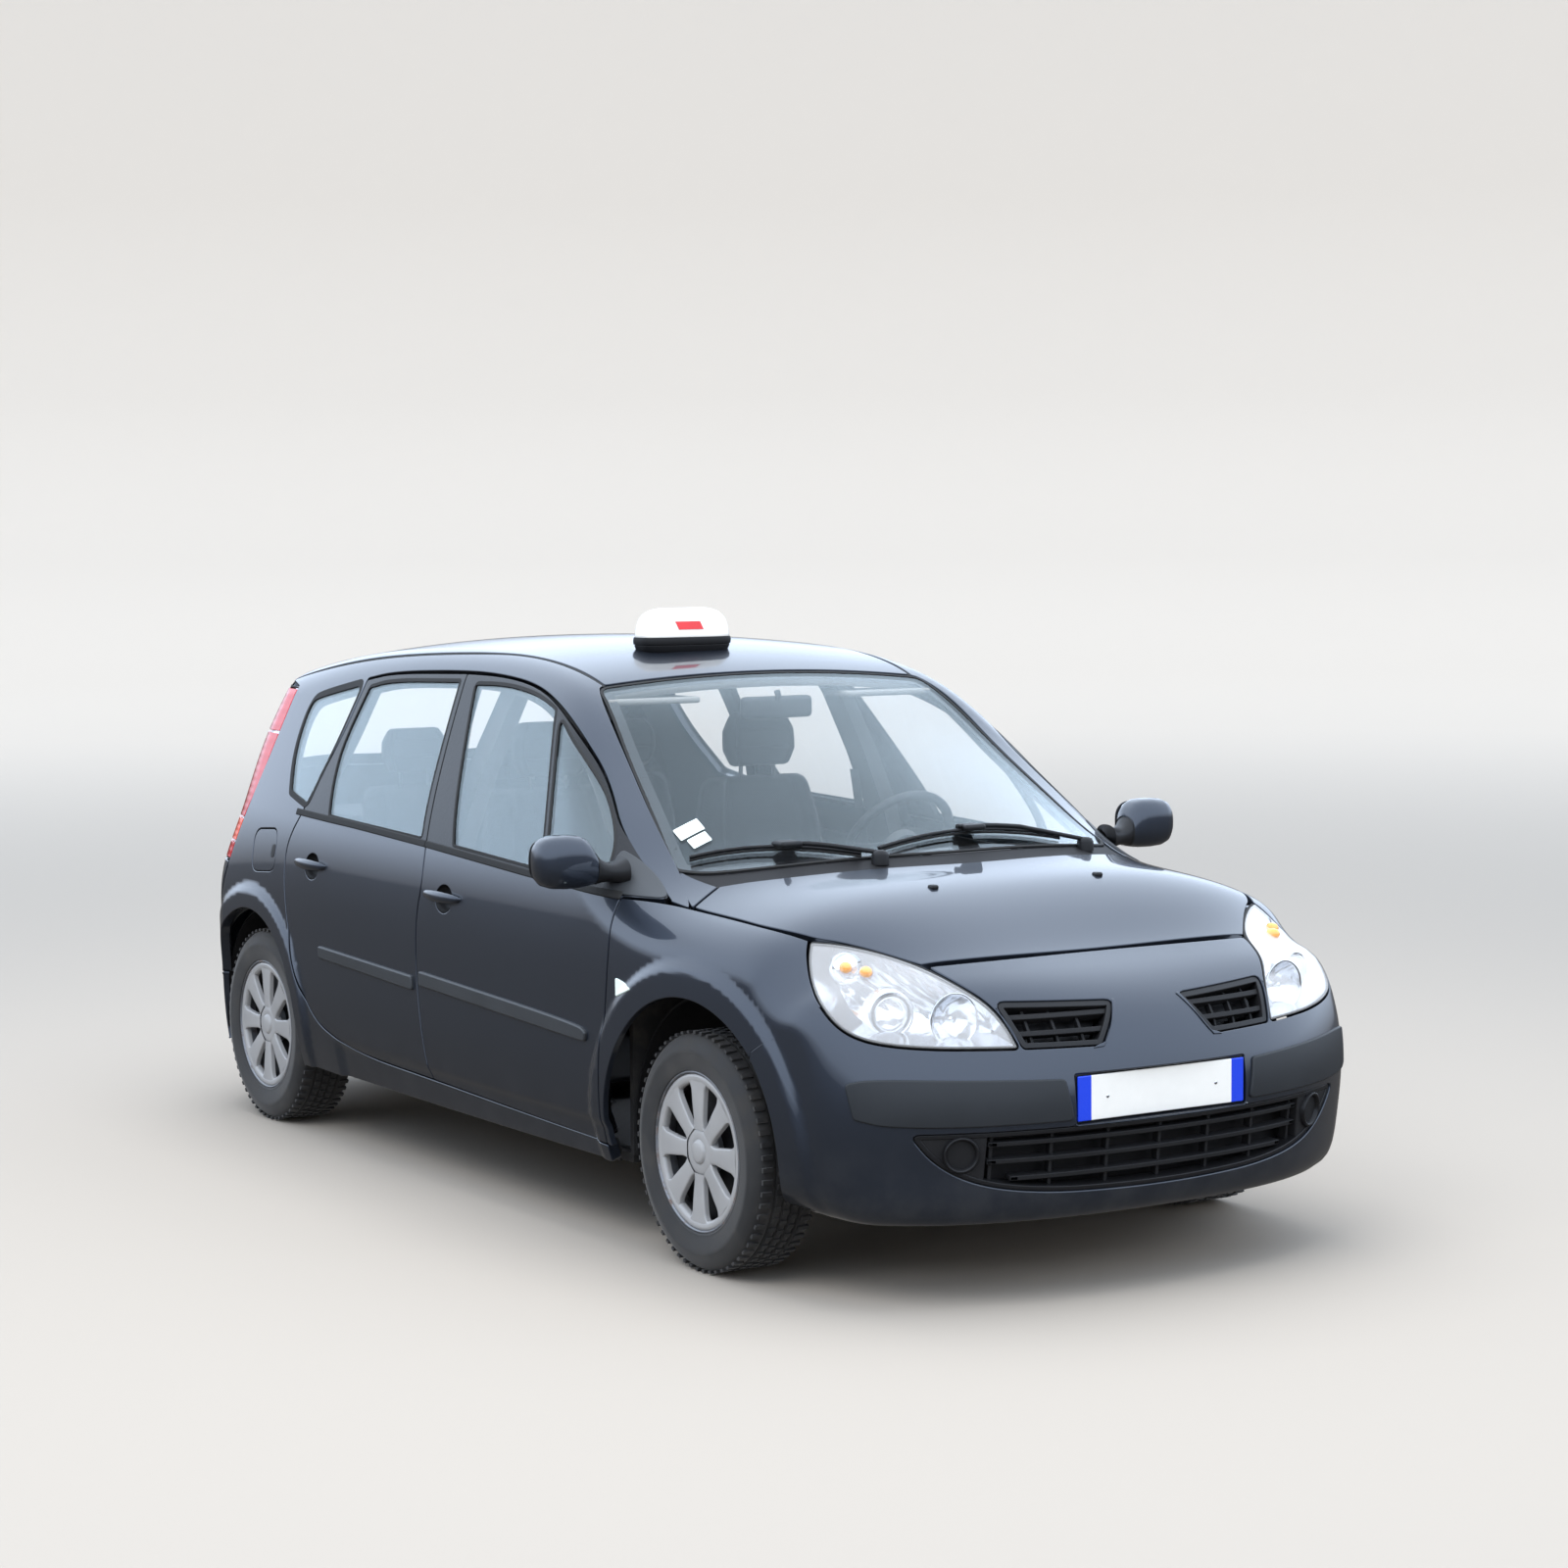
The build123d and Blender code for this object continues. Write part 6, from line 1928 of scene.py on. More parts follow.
# ---------------------------------------------------------------- rear end
@dataclass
class RearEnd:
    """Tailgate with its window, lamps and plate.

    Attributes:
        kit: Finishes.
    """

    kit: Kit

    def build(self) -> None:
        """Makes every piece of the rear end."""
        self.tailgate()
        self.lamps()

    @staticmethod
    def gate_points() -> list:
        """Corners of the tailgate in space."""
        half = spatial([(-1716, 0), (-1716, -590)], Rays.TOP) + spatial(GATE_SIDE, Rays.REAR)
        half += [(-2112, -350, 637), (-2114, 0, 637)]
        return half + mirrored_points(half)

    @staticmethod
    def box(y0: float, y1: float, z0: float, z1: float, corner: float) -> np.ndarray:
        """Rectangle seen from behind, in the hatch pattern."""
        return box_loop(Rays.HATCH, Rays.REAR, (y0, y1), (z0, z1), corner)

    def tailgate(self) -> None:
        """Painted gate, its glass, lining, wiper, handle and plate."""
        kit, rays = self.kit, Rays.HATCH
        loop = loop_on(rays, self.gate_points(), 9)
        flat = REAR_WINDOW + [(-y, z) for y, z in reversed(REAR_WINDOW) if y < 0]
        window = loop_on(rays, spatial(flat, Rays.REAR), 38, 14)
        recess = self.box(-266, 266, 659, 781, 6)
        shell = Shell("tailgate").lay(kit.paint, rays, [shut(loop), window, recess], wall=20, step=22,
                                      edge=3.0)
        shell.build("tailgate", "paint", "tailgate")
        inner = Shell("tailgate_lining")
        inner.lay(kit.cabin, rays, [offset(loop, -22), offset(window, 4)], 32.0, 0.0, 0.0, 40, inward=True)
        inner.add(rings([rays.cast(offset(loop, -3), 19.0), rays.cast(offset(loop, -22), 32.0)]), kit.seal)
        inner.build("tailgate", "interior")
        glass = Shell("tailgate_glass")
        glass.lay(kit.glass, rays, [offset(window, -1.5)], 3.0, 1.0, 5.0, 34, solid=True)
        glass.build("tailgate", "glass", "tailgate_glass")
        trim = Shell("tailgate_trim")
        trim.lay(kit.seal, rays, [offset(window, 4), offset(window, -4)], -0.8, 1.2, 5.0, 14)
        trim.lay(kit.trim, rays, [offset(window, -3), offset(window, -42)], 8.6, 0.0, 0.0, 16)
        trim.lay(kit.gloss, rays, [self.box(-170, 170, 792, 822, 9)], -12.0, 6.0, 12.0, 18)
        trim.box(kit.trim, (-2090, -265, 658), (-2030, 265, 782), 5)
        hub = rays.cast(np.array([(0.0, 0.0)]) + rays.pattern(np.array([(-2058.0, 0, 1052.0)])), -6.0)[0]
        out = FORM.normal(hub[None])[0]
        trim.add(turned([(26, -10), (25, 6), (20, 14), (10, 17), (0.5, 18)], hub, out, 36), kit.trim)
        arm = [hub + out * 13]
        for k, y in enumerate(np.linspace(40, 330, 7)):
            z = 1085 + 14 * math.sin(k / 6 * math.pi)
            arm.append(rays.cast(rays.pattern(np.array([(-2030.0, y, z)])), -13.0)[0])
        trim.add(tube(arm, 6.5, 10), kit.trim)
        blade = [rays.cast(rays.pattern(np.array([(-2030.0, y,
                                                   1088.0 + 10 * math.sin((y - 60) / 270 * math.pi))])),
                           -5.0)[0] for y in np.linspace(60, 330, 12)]
        trim.add(tube(blade, 4.0, 8), kit.seal)
        trim.build("tailgate", "black_plastic")
        lamp = Shell("high_brake_lamp")
        lamp.lay(kit.lens_red, rays, [self.box(-150, 150, 1436, 1452, 5)], -2.0, 1.5, 6.0, 16)
        lamp.build("tailgate", "lamp_red")
        plate = Shell("rear_plate").box(kit.plate, (-2100, -260, 665), (-2094, 260, 775), 2.5)
        plate.build("tailgate", "plate", "plate_rear")

    def lamps(self) -> None:
        """Tall corner lamps: red, an orange band and two lengths of red above it."""
        kit = self.kit
        shell, rims = Shell("tail_lamps"), Shell("tail_lamp_rims")
        for low, high, finish in ((828, 884, kit.lens_red), (887, 962, kit.lens_orange),
                                  (965, 1238, kit.lens_red),
                                  (1241, 1380, kit.lens_red)):
            shell.lay(finish, Rays.TAIL, [offset(self.between(low, high), -2.5)], 0.4, 2.0, 12.0, 16)
        shell.both().build("body", "lamp_red", "tail_lamps")
        whole = self.between(824, 1386)
        rims.lay(kit.seal, Rays.TAIL, [offset(whole, -0.8), offset(whole, -4.5)], 2.5, 0.8, 6.0, 12)
        rims.lay(kit.reflector, Rays.TAIL, [offset(whole, -3)], 14.0, 0.0, 0.0, 26)
        rims.both().build("body", "black_plastic")

    @staticmethod
    def between(low: float, high: float) -> np.ndarray:
        """Lamp outline between two heights, in the tail pattern."""
        heights = np.linspace(high, low, 9)
        front_z, front_x = [z for _, z in LAMP_FRONT_EDGE][::-1], [x for x, _ in LAMP_FRONT_EDGE][::-1]
        rear_z, rear_y = [z for _, z in LAMP_REAR_EDGE][::-1], [y for y, _ in LAMP_REAR_EDGE][::-1]
        ahead = spatial([(float(np.interp(z, front_z, front_x)), z) for z in heights])
        behind = spatial([(float(np.interp(z, rear_z, rear_y)), z) for z in heights[::-1]], Rays.REAR)
        return loop_on(Rays.TAIL, ahead + behind, 5, 14)


# ---------------------------------------------------------------- outside fittings
def superellipse(centre: tuple, half: tuple, power: float, count: int = 48) -> np.ndarray:
    """Ring in an x-z plane: centre (x, y, z), half sizes (x, z)."""
    turn = around(count)
    c, s = np.cos(turn), np.sin(turn)
    x = centre[0] + half[0] * np.sign(c) * np.abs(c) ** (2 / power)
    z = centre[2] + half[1] * np.sign(s) * np.abs(s) ** (2 / power)
    return np.stack([x, np.full(count, float(centre[1])), z], 1)


@dataclass
class Fittings:
    """Mirrors, wipers and the roof sign.

    Attributes:
        kit: Finishes.
    """

    kit: Kit

    def build(self) -> None:
        """Makes every fitting."""
        for side, tag in SIDES:
            self.mirror(side, tag)
        self.wipers()
        self.sign()

    def mirror(self, side: int, tag: str) -> None:
        """Painted housing on a dark foot, with a silvered pane and the sail panel behind it."""
        kit, body = self.kit, f"door_front_{tag}"
        rows = [((828, -1051, 1020), (8, 10), 2.0), ((828, -1049, 1020), (28, 34), 2.2),
                ((828, -1043, 1020), (42, 50), 2.4), ((828, -1030, 1020), (54, 62), 2.6),
                ((828, -1008, 1020), (60.5, 69), 2.8), ((828, -972, 1020), (62, 71.5), 2.9),
                ((828, -936, 1019), (61, 70), 2.8), ((829, -914, 1015), (57, 64), 2.7),
                ((832, -900, 1008), (50, 54), 2.6), ((838, -888, 999), (42, 42), 2.5)]
        rings_ = []
        for centre, half, power in rows:
            ring = superellipse(centre, half, power)
            ring[:, 0] = np.maximum(ring[:, 0], 774.0)
            rings_.append(ring)
        housing = Shell(f"mirror_housing_{tag}").add(rings(rings_, True, (True, False)), kit.paint)
        foot_rows = [superellipse(c, h, 2.4) for c,
                     h in (((838, -890, 999), (43, 43)), ((844, -874, 992), (38, 32)),
                                                          ((848, -856, 988), (36, 26)),
                                                          ((850, -838, 986), (38, 26)),
                                                          ((852, -822, 986), (42, 30)),
                                                          ((854, -806, 988), (48, 36)))]
        foot = Shell(f"mirror_foot_{tag}").add(rings(foot_rows, True, (True, True)), kit.trim)
        foot.add(rings([superellipse((838, -889 + d, 999), (44.5, 44.5), 2.4) for d in (-1.5, 1.5)]),
                 kit.seal)
        foot.lay(kit.strip, Rays.FLANK, [side_loop(SAIL, 8, 10)], -3.0, 2.5, 9.0, 14)
        turn = around(48)
        c, s = np.cos(turn), np.sin(turn)
        edge = np.stack([np.full(48, 771.5), -972 + 66 * np.sign(c) * np.abs(c) ** 0.7,
                         1020 + 58 * np.sign(s) * np.abs(s) ** 0.7], 1)
        pane = Shell(f"mirror_pane_{tag}").add(slab(edge, (6.0, 0, 0), 1.5), kit.mirror)
        frame = edge + (edge - edge.mean(0)) * 0.06
        foot.add(slab(frame + [1.0, 0, 0], (6.0, 0, 0), 1.5), kit.trim)
        for shell, slot, nodes in ((housing, "paint", (f"mirror_{tag}",)), (foot, "black_plastic", ()),
                                   (pane, "glass", ())):
            (shell.mirrored() if side == LEFT else shell).build(body, slot, *nodes)

    def wipers(self) -> None:
        """Two arms with their blades on the glass and covers at their pivots."""
        shell = Shell("wipers")
        for path, pivot in ((((1206, -253), (1077, -434), (963, -665)), (1222, -236)),
                            (((1120, 480), (1127, 125), (1177, -210)), (1150, 500))):
            self.wiper(shell, path, pivot)
        shell.build("body", "black_plastic", "wipers")

    def wiper(self, shell: Shell, path: tuple, pivot: tuple) -> None:
        """Adds one wiper.

        Args:
            shell: Shell to add to.
            path: Root, middle and tip of the blade in plan.
            pivot: Pivot in plan.
        """
        kit = self.kit
        p = np.array(path, float)
        t = np.linspace(0, 1, 17)[:, None]
        plan = p[0] * (1 - t) ** 2 + (2 * p[1] - (p[0] + p[2]) / 2) * 2 * t * (1 - t) + p[2] * t ** 2
        shell.add(tube(Rays.TOP.cast(plan, -4.0)[1:], 3.6, 8), kit.seal)
        shell.add(tube(Rays.TOP.cast(plan, -12.0)[1:], 5.0, 10), kit.trim)
        arm_plan = np.vstack([[pivot], plan[4:10]])
        arm = Rays.TOP.cast(arm_plan, -21.0)
        shell.add(tube(arm, 6.4, 10), kit.trim)
        middle = Rays.TOP.cast(plan[8:9], -17.0)[0]
        shell.box(kit.trim, middle - [30, 34, 8], middle + [30, 34, 10], 9)
        hub = Rays.TOP.cast(np.array([pivot]), -6.0)[0]
        shell.add(turned([(24, -16), (23, 10), (19, 18), (10, 22), (0.5, 23)], hub, (0, 0, 1), 32), kit.trim)

    def sign(self) -> None:
        """Black foot, white dome and a blank red panel in front and behind."""
        kit, (cx, cy) = self.kit, (-10.0, -100.0)

        def ring(z: float, half_x: float, half_y: float, power: float = 3.6) -> np.ndarray:
            """Level ring of the sign."""
            turn = around(96)
            c, s = np.cos(turn), np.sin(turn)
            return np.stack([cx + half_x * np.sign(c) * np.abs(c) ** (2 / power),
                             cy + half_y * np.sign(s) * np.abs(s) ** (2 / power), np.full(96, z)], 1)

        foot = Shell("roof_sign_foot")
        rows = [(1524, 52, 134), (1534, 60, 144), (1544, 63, 148), (1545.5, 64, 149), (1546.5, 61.5, 147),
                (1548, 61.5, 147), (1549, 65, 151), (1560, 66, 152), (1568, 64.5, 150.5), (1570, 62.5, 148.5)]
        foot.add(rings([ring(*r) for r in rows], True, (True, True)), kit.grained)
        foot.build("body", "black_plastic", "roof_sign_foot")
        dome = Shell("roof_sign_lamp")
        rows = [(1568, 61, 146), (1571, 62, 147.5), (1576, 62, 147.5), (1590, 60.5, 145.5), (1606, 58, 142),
                (1622, 53, 136), (1634, 46, 128), (1643, 37, 117), (1649.5, 26, 102), (1653, 14, 84),
                (1654.5, 4, 70)]
        dome.add(rings([ring(*r) for r in rows], True, (True, True)), kit.cap)
        dome.build("body", "sign", "roof_sign_lamp")
        panel = Shell("roof_sign_panels")
        for s in (-1, 1):
            corners = [(s * 61.4, -46, 1592), (s * 61.4, 38, 1592), (s * 57.6, 28, 1616),
                       (s * 57.6, -56, 1616)]
            front = np.array([(cx + x, cy + y, z) for x, y, z in corners])
            panel.add(slab(front, (-3.0 * s, 0, 0), 0.6), kit.red)
        panel.build("body", "sign")


# ---------------------------------------------------------------- under the body
@dataclass
class Running:
    """Finishes and added detail of the frame, the axles and what hangs under the floor.

    Attributes:
        kit: Finishes.
    """

    kit: Kit
    frame: dict

    def build(self) -> None:
        """Dresses the CAD nodes that stay in sight and adds their details."""
        kit = self.kit
        looks = {"floor_pan": kit.underseal, "bulkhead": kit.underseal, "arch_liners": kit.grained,
                 "crash_beam": kit.steel, "radiator": kit.alloy, "engine_block": kit.alloy,
                 "fuel_tank": kit.grained,
                 "exhaust": kit.steel, "front_subframe": kit.underseal, "rear_axle": kit.underseal,
                 "knuckle_left": kit.alloy, "knuckle_right": kit.alloy, "middle_pillars": kit.cabin,
                 "dashboard": kit.cabin, "steering_wheel": kit.trim}
        for name, finish in looks.items():
            self.dress(name, finish)
        self.brakes()
        self.engine()
        self.jacking()

    def dress(self, name: str, finish: bpy.types.Material) -> None:
        """Gives a CAD node a finish."""
        mesh = self.frame["nodes"][name].data
        mesh.materials.clear()
        mesh.materials.append(finish)

    def brakes(self) -> None:
        """Brake discs at every wheel, calipers in front, and the springs."""
        for side, tag in SIDES:
            front = Shell(f"front_brake_{tag}")
            centre = (AXLE_X["front"], side * 708, AXLE_Z)
            axis = (0, side, 0)
            front.add(turned([(60, 14), (66, 9), (136, 9), (137, 7), (137, -7), (136, -9), (60, -9)], centre,
                             axis, 96),
                      self.kit.disc)
            low, high = sorted((side * 688, side * 724))
            front.box(self.kit.alloy, (AXLE_X["front"] - 150, low, AXLE_Z - 52),
                      (AXLE_X["front"] - 82, high, AXLE_Z + 52), 12)
            front.add(self.coil((AXLE_X["front"], side * 604, 560), (AXLE_X["front"], side * 594, 690), 48, 5,
                                5.5),
                      self.kit.steel)
            front.build(f"knuckle_{tag}", "steel")
            rear = Shell(f"rear_brake_{tag}")
            centre = (AXLE_X["rear"], side * 708, AXLE_Z)
            rear.add(turned([(50, 12), (56, 8), (121, 8), (122, 6), (122, -6), (121, -8), (50, -8)], centre,
                            axis, 96),
                     self.kit.disc)
            rear.add(self.coil((AXLE_X["rear"], side * 545, 300), (AXLE_X["rear"], side * 545, 356), 40, 3,
                               6.5),
                     self.kit.steel)
            rear.build("body", "steel")

    @staticmethod
    def coil(low: tuple, high: tuple, radius: float, turns: float, wire: float) -> Patch:
        """Spring between two points."""
        a, b = np.array(low, float), np.array(high, float)
        t = np.linspace(0, 1, int(turns * 18))
        angle = t * turns * 2 * math.pi
        path = a + (b - a) * t[:, None] + radius * np.stack([np.cos(angle), np.sin(angle), 0 * t], 1)
        return tube(path, wire, 8)

    def engine(self) -> None:
        """Ribbed cover over the plain engine block and a sump under it."""
        shell = Shell("engine_cover")
        shell.box(self.kit.trim, (1370, -300, 690), (1700, 300, 724), 14)
        for y in (-220, -110, 0, 110, 220):
            shell.box(self.kit.grained, (1400, y - 14, 716), (1670, y + 14, 738), 8)
        shell.box(self.kit.alloy, (1380, -325, 262), (1680, 20, 300), 18)
        shell.build("body", "cast")

    def jacking(self) -> None:
        """Pinch seams under the sills."""
        shell = Shell("sill_seams")
        for x in (-880, 640):
            shell.box(self.kit.underseal, (x, -792, 206), (x + 160, -782, 222), 3)
        shell.both().build("body", "underbody")


# ---------------------------------------------------------------- cabin
@dataclass(frozen=True)
class Section:
    """One cross-section of an upholstered pad.

    Attributes:
        at: Middle of the section, (x, z) in mm.
        lift: Direction its face looks, (x, z).
        thick: Half its thickness.
        wide: Half its width.
    """

    at: tuple
    lift: tuple
    thick: float
    wide: float


def pad(sections: list, y: float, bolster: float = 14.0, seam: float = 0.62, crown: float = 8.0,
        count: int = 88) -> Patch:
    """Stuffed pad through its sections, with side rolls and sewn channels on its face.

    Args:
        sections: Sections from end to end.
        y: Middle of the pad across the car.
        bolster: Height of the side rolls.
        seam: Where the lengthwise seams run, as a share of the half width.
        crown: Fullness of the face between its ends.
        count: Points round a section.
    """
    spine = np.array([[*s.at, *s.lift, s.thick, s.wide] for s in sections], float)
    steps = np.linspace(0, 1, 46)
    stations = np.linspace(0, 1, len(sections))
    smooth = [np.interp(steps, stations, spine[:, k]) for k in range(6)]
    rows = []
    for i, t in enumerate(steps):
        cx, cz, lx, lz, thick, wide = (column[i] for column in smooth)
        size = math.hypot(lx, lz)
        lx, lz = lx / size, lz / size
        end = min(t, 1 - t)
        shrink = math.sqrt(max(0.0, 1 - max(0.0, 1 - end / 0.075) ** 2)) if end < 0.075 else 1.0
        pinch = 0.94 + 0.06 * math.sin(math.pi * t)
        turn = around(count)
        c, s = np.cos(turn), np.sin(turn)
        across = np.sign(c) * np.abs(c) ** 0.55
        up = np.sign(s) * np.abs(s) ** 0.7
        share = np.abs(across)
        face = np.where(s > 0, 1.0, 0.0)
        rise = bolster * ease((share - seam) / 0.16) * (1 - 0.6 * ease((share - 0.86) / 0.14))
        rise += crown * (1 - share ** 2) * math.sin(math.pi * t)
        rise -= 7.0 * np.exp(-((share - seam) / 0.022) ** 2)
        for mark in (0.36, 0.66):
            rise -= 6.0 * np.exp(-((t - mark) / 0.008) ** 2) * (share < seam)
        out = thick * up * (0.35 + 0.65 * shrink) + rise * face * shrink
        y_row = y + across * wide * pinch * (0.90 + 0.10 * shrink)
        rows.append(np.stack([cx + lx * out, y_row, cz + lz * out], 1))
    return rings(rows, True, (True, True))


@dataclass
class Cabin:
    """Seats, dashboard, steering wheel, mirror, visors, shelf, carpets and belts.

    Attributes:
        kit: Finishes.
        seat_y: Middles of the front seats.
        bench_y: Middles of the rear seats.
    """

    kit: Kit
    seat_y: tuple = (-370.0, 370.0)
    bench_y: tuple = (-390.0, 0.0, 390.0)

    def build(self) -> None:
        """Makes everything in the cabin."""
        self.front_seats()
        self.rear_seats()
        self.dashboard()
        self.steering_wheel()
        self.details()

    def front_seats(self) -> None:
        """Two padded front seats on plain plinths."""
        cushion = [Section((-262, 478), (0.0, 1.0), 36, 236), Section((-120, 482), (0.0, 1.0), 40, 240),
                   Section((100, 492), (-0.02, 1.0), 42, 240), Section((205, 498), (0.1, 1.0), 40, 236),
                   Section((252, 486), (0.5, 0.8), 28, 230)]
        back = [Section((-298, 486), (1.0, 0.18), 46, 226), Section((-306, 600), (1.0, 0.2), 60, 234),
                Section((-330, 780), (1.0, 0.2), 56, 234), Section((-358, 980), (1.0, 0.2), 48, 222),
                Section((-374, 1116), (1.0, 0.15), 36, 196)]
        head = [Section((-335, 1150), (1.0, 0.1), 26, 108), Section((-338, 1200), (1.0, 0.1), 38, 126),
                Section((-342, 1262), (1.0, 0.1), 38, 124), Section((-345, 1314), (1.0, 0.1), 22, 104)]
        for k, y in enumerate(self.seat_y):
            name = ("front_seat_right", "front_seat_left")[k]
            nodes = ("front_seats",) if k == 0 else ()
            self.cushion(f"{name}_cushion", pad(cushion, y, 16.0), nodes)
            self.cushion(f"{name}_back", pad(back, y, 20.0), ())
            self.cushion(f"{name}_headrest", pad(head, y, 3.0, 0.8, 6.0), ())
            frame_ = Shell(f"{name}_frame")
            for s in (-60, 60):
                frame_.add(tube([(-352, y + s, 1100), (-349, y + s, 1130), (-346, y + s, 1165)], 6.5, 12),
                           self.kit.bright)
            frame_.box(self.kit.cabin, (-240, y - 205, 300), (205, y + 205, 448), 24)
            for s in (-190, 190):
                frame_.box(self.kit.steel, (-250, y + s - 16, 238), (230, y + s + 16, 262), 6)
                frame_.box(self.kit.steel, (-180, y + s - 10, 255), (-150, y + s + 10, 310), 5)
                frame_.box(self.kit.steel, (130, y + s - 10, 255), (160, y + s + 10, 310), 5)
            frame_.build("body", "interior")

    def rear_seats(self) -> None:
        """Three padded rear seats side by side."""
        cushion = [Section((-1110, 494), (0.0, 1.0), 34, 190), Section((-960, 500), (0.0, 1.0), 38, 192),
                   Section((-760, 508), (0.0, 1.0), 38, 192), Section((-690, 508), (0.2, 1.0), 34, 190),
                   Section((-656, 496), (0.6, 0.8), 22, 186)]
        back = [Section((-1150, 500), (1.0, 0.25), 36, 188), Section((-1166, 640), (1.0, 0.25), 50, 191),
                Section((-1206, 850), (1.0, 0.25), 44, 191), Section((-1244, 1072), (1.0, 0.2), 32, 178)]
        head = [Section((-1206, 1114), (1.0, 0.1), 18, 100), Section((-1212, 1160), (1.0, 0.1), 28, 116),
                Section((-1218, 1216), (1.0, 0.1), 28, 112), Section((-1222, 1256), (1.0, 0.1), 16, 92)]
        for k, y in enumerate(self.bench_y):
            name = ("rear_seat_right", "rear_seat_middle", "rear_seat_left")[k]
            nodes = ("rear_bench",) if k == 0 else ()
            self.cushion(f"{name}_cushion", pad(cushion, y, 10.0), nodes)
            self.cushion(f"{name}_back", pad(back, y, 12.0), ())
            self.cushion(f"{name}_headrest", pad(head, y, 2.0, 0.8, 5.0), ())
            posts = Shell(f"{name}_posts")
            for s in (-50, 50):
                posts.add(tube([(-1226, y + s, 1062), (-1222, y + s, 1092), (-1219, y + s, 1124)], 6.5, 12),
                          self.kit.bright)
            posts.box(self.kit.cabin, (-1075, y - 185, 388), (-700, y + 185, 468), 18)
            posts.build("body", "interior")

    def cushion(self, name: str, patch: Patch, nodes: tuple) -> None:
        """Builds one padded piece."""
        piece = Shell(name).add(patch, self.kit.cloth).build("body", "cloth", *nodes)

    def dashboard(self) -> None:
        """Dashboard with its hood, vents, console and controls."""
        kit = self.kit
        profile = smooth_loop([(1076, 918), (960, 944), (770, 940), (702, 888), (726, 796), (862, 722),
                               (900, 700),
                               (1076, 700)], 34, 22)
        middle = profile.mean(0)
        rows = []
        for y in np.concatenate([[-606, -603, -596], np.linspace(-585, 585, 53), [596, 603, 606]]):
            end = 1 - min(1.0, (608 - abs(y)) / 24)
            scale = 1 - 0.10 * end ** 2
            flat = middle + (profile - middle) * scale
            hood = ease((155 - abs(y - 370)) / 60) * ease((flat[:, 0] - 690) / 50) * ease((930 - flat[:, 0])
                                                                                          / 130)
            hood *= ease((flat[:, 1] - 840) / 60)
            dip = 8 * math.exp(-(y / 130) ** 2) * ease((flat[:, 1] - 880) / 40)
            rows.append(np.stack([flat[:, 0], np.full(len(flat), float(y)),
                                  flat[:, 1] + 40 * hood + dip * 0.5], 1))
        shell = Shell("dashboard").add(rings(rows, True, (True, True)), kit.cabin)
        shell.box(kit.cabin, (562, -148, 560), (864, 148, 800), 26)
        shell.box(kit.trim, (690, -120, 700), (800, 120, 884), 18)
        for z in (836, 790):
            shell.box(kit.gloss, (676, -100, z - 18), (704, 100, z + 18), 6)
        for y in (-540, -190, 190, 550):
            shell.add(turned([(40, -6), (40, 8), (36, 11), (32, 8), (30, -2)], (716, y, 868),
                             (-0.92, 0, 0.38), 40),
                      kit.gloss)
            for k in range(-2, 3):
                shell.box(kit.trim, (706, y - 28, 866 + k * 11), (720, y + 28, 869 + k * 11), 1.4)
        shell.box(kit.cabin, (702, -470, 760), (722, -180, 840), 8)
        shell.add(turned([(36, 0), (36, 268)], (700, 370, 785), (-0.848, 0, 0.53), 36), kit.trim)
        for s in (-1, 1):
            shell.add(tube([(520, 370 + s * 36, 898), (512, 370 + s * 120, 912), (508, 370 + s * 160, 914)],
                           7, 10),
                      kit.trim)
        lever = [(640, 0, 796), (628, 0, 850), (618, 0, 900)]
        shell.add(tube(lever, 7, 12), kit.bright)
        shell.add(turned([(8, -20), (22, -8), (25, 6), (20, 20), (8, 27), (0.5, 28)], (617, 0, 905),
                         (-0.1, 0, 1), 32),
                  kit.gloss)
        shell.build("body", "interior", "dashboard")

    def steering_wheel(self) -> None:
        """Rim, hub pad and three spokes, square to the column."""
        kit, centre, tilt = self.kit, np.array([420.0, 370.0, 960.0]), math.radians(32.0)
        out = np.array([-math.cos(tilt), 0, math.sin(tilt)])
        across, up = np.array([0, 1.0, 0]), np.array([math.sin(tilt), 0, math.cos(tilt)])
        rows = []
        for turn in np.linspace(0, 2 * math.pi, 97)[:-1]:
            radial = across * math.cos(turn) + up * math.sin(turn)
            small = around(20)
            grip = 14.0 + 0.9 * ease((math.cos(2 * turn - math.pi / 2) - 0.4) / 0.3)
            ring = centre + radial * 175 + grip * (np.cos(small)[:, None] * radial
                                                   + np.sin(small)[:, None] * out)
            rows.append(ring)
        rows.append(rows[0])
        shell = Shell("steering_wheel").add(rings(rows), kit.trim)
        hub = [(60, -34), (61, -10), (58, -2), (48, 3), (30, 6), (10, 7), (0.5, 7)]
        shell.add(turned(hub, centre - out * 4, tuple(out), 48), kit.cabin)
        for direction in (across, -across, -up):
            side = np.cross(out, direction)
            rows = []
            for t in np.linspace(0, 1, 12):
                half = 19 - 8 * math.sin(math.pi * t) + 3 * t
                base = centre + direction * (48 + 122 * t) - out * (8 - 4 * t)
                ring = [base + side * half * math.cos(a) + out * 6.5 * math.sin(a)
                        for a in around(20)]
                rows.append(ring)
            shell.add(rings(rows), kit.trim)
        shell.build("steering_wheel", "interior", "steering_wheel")

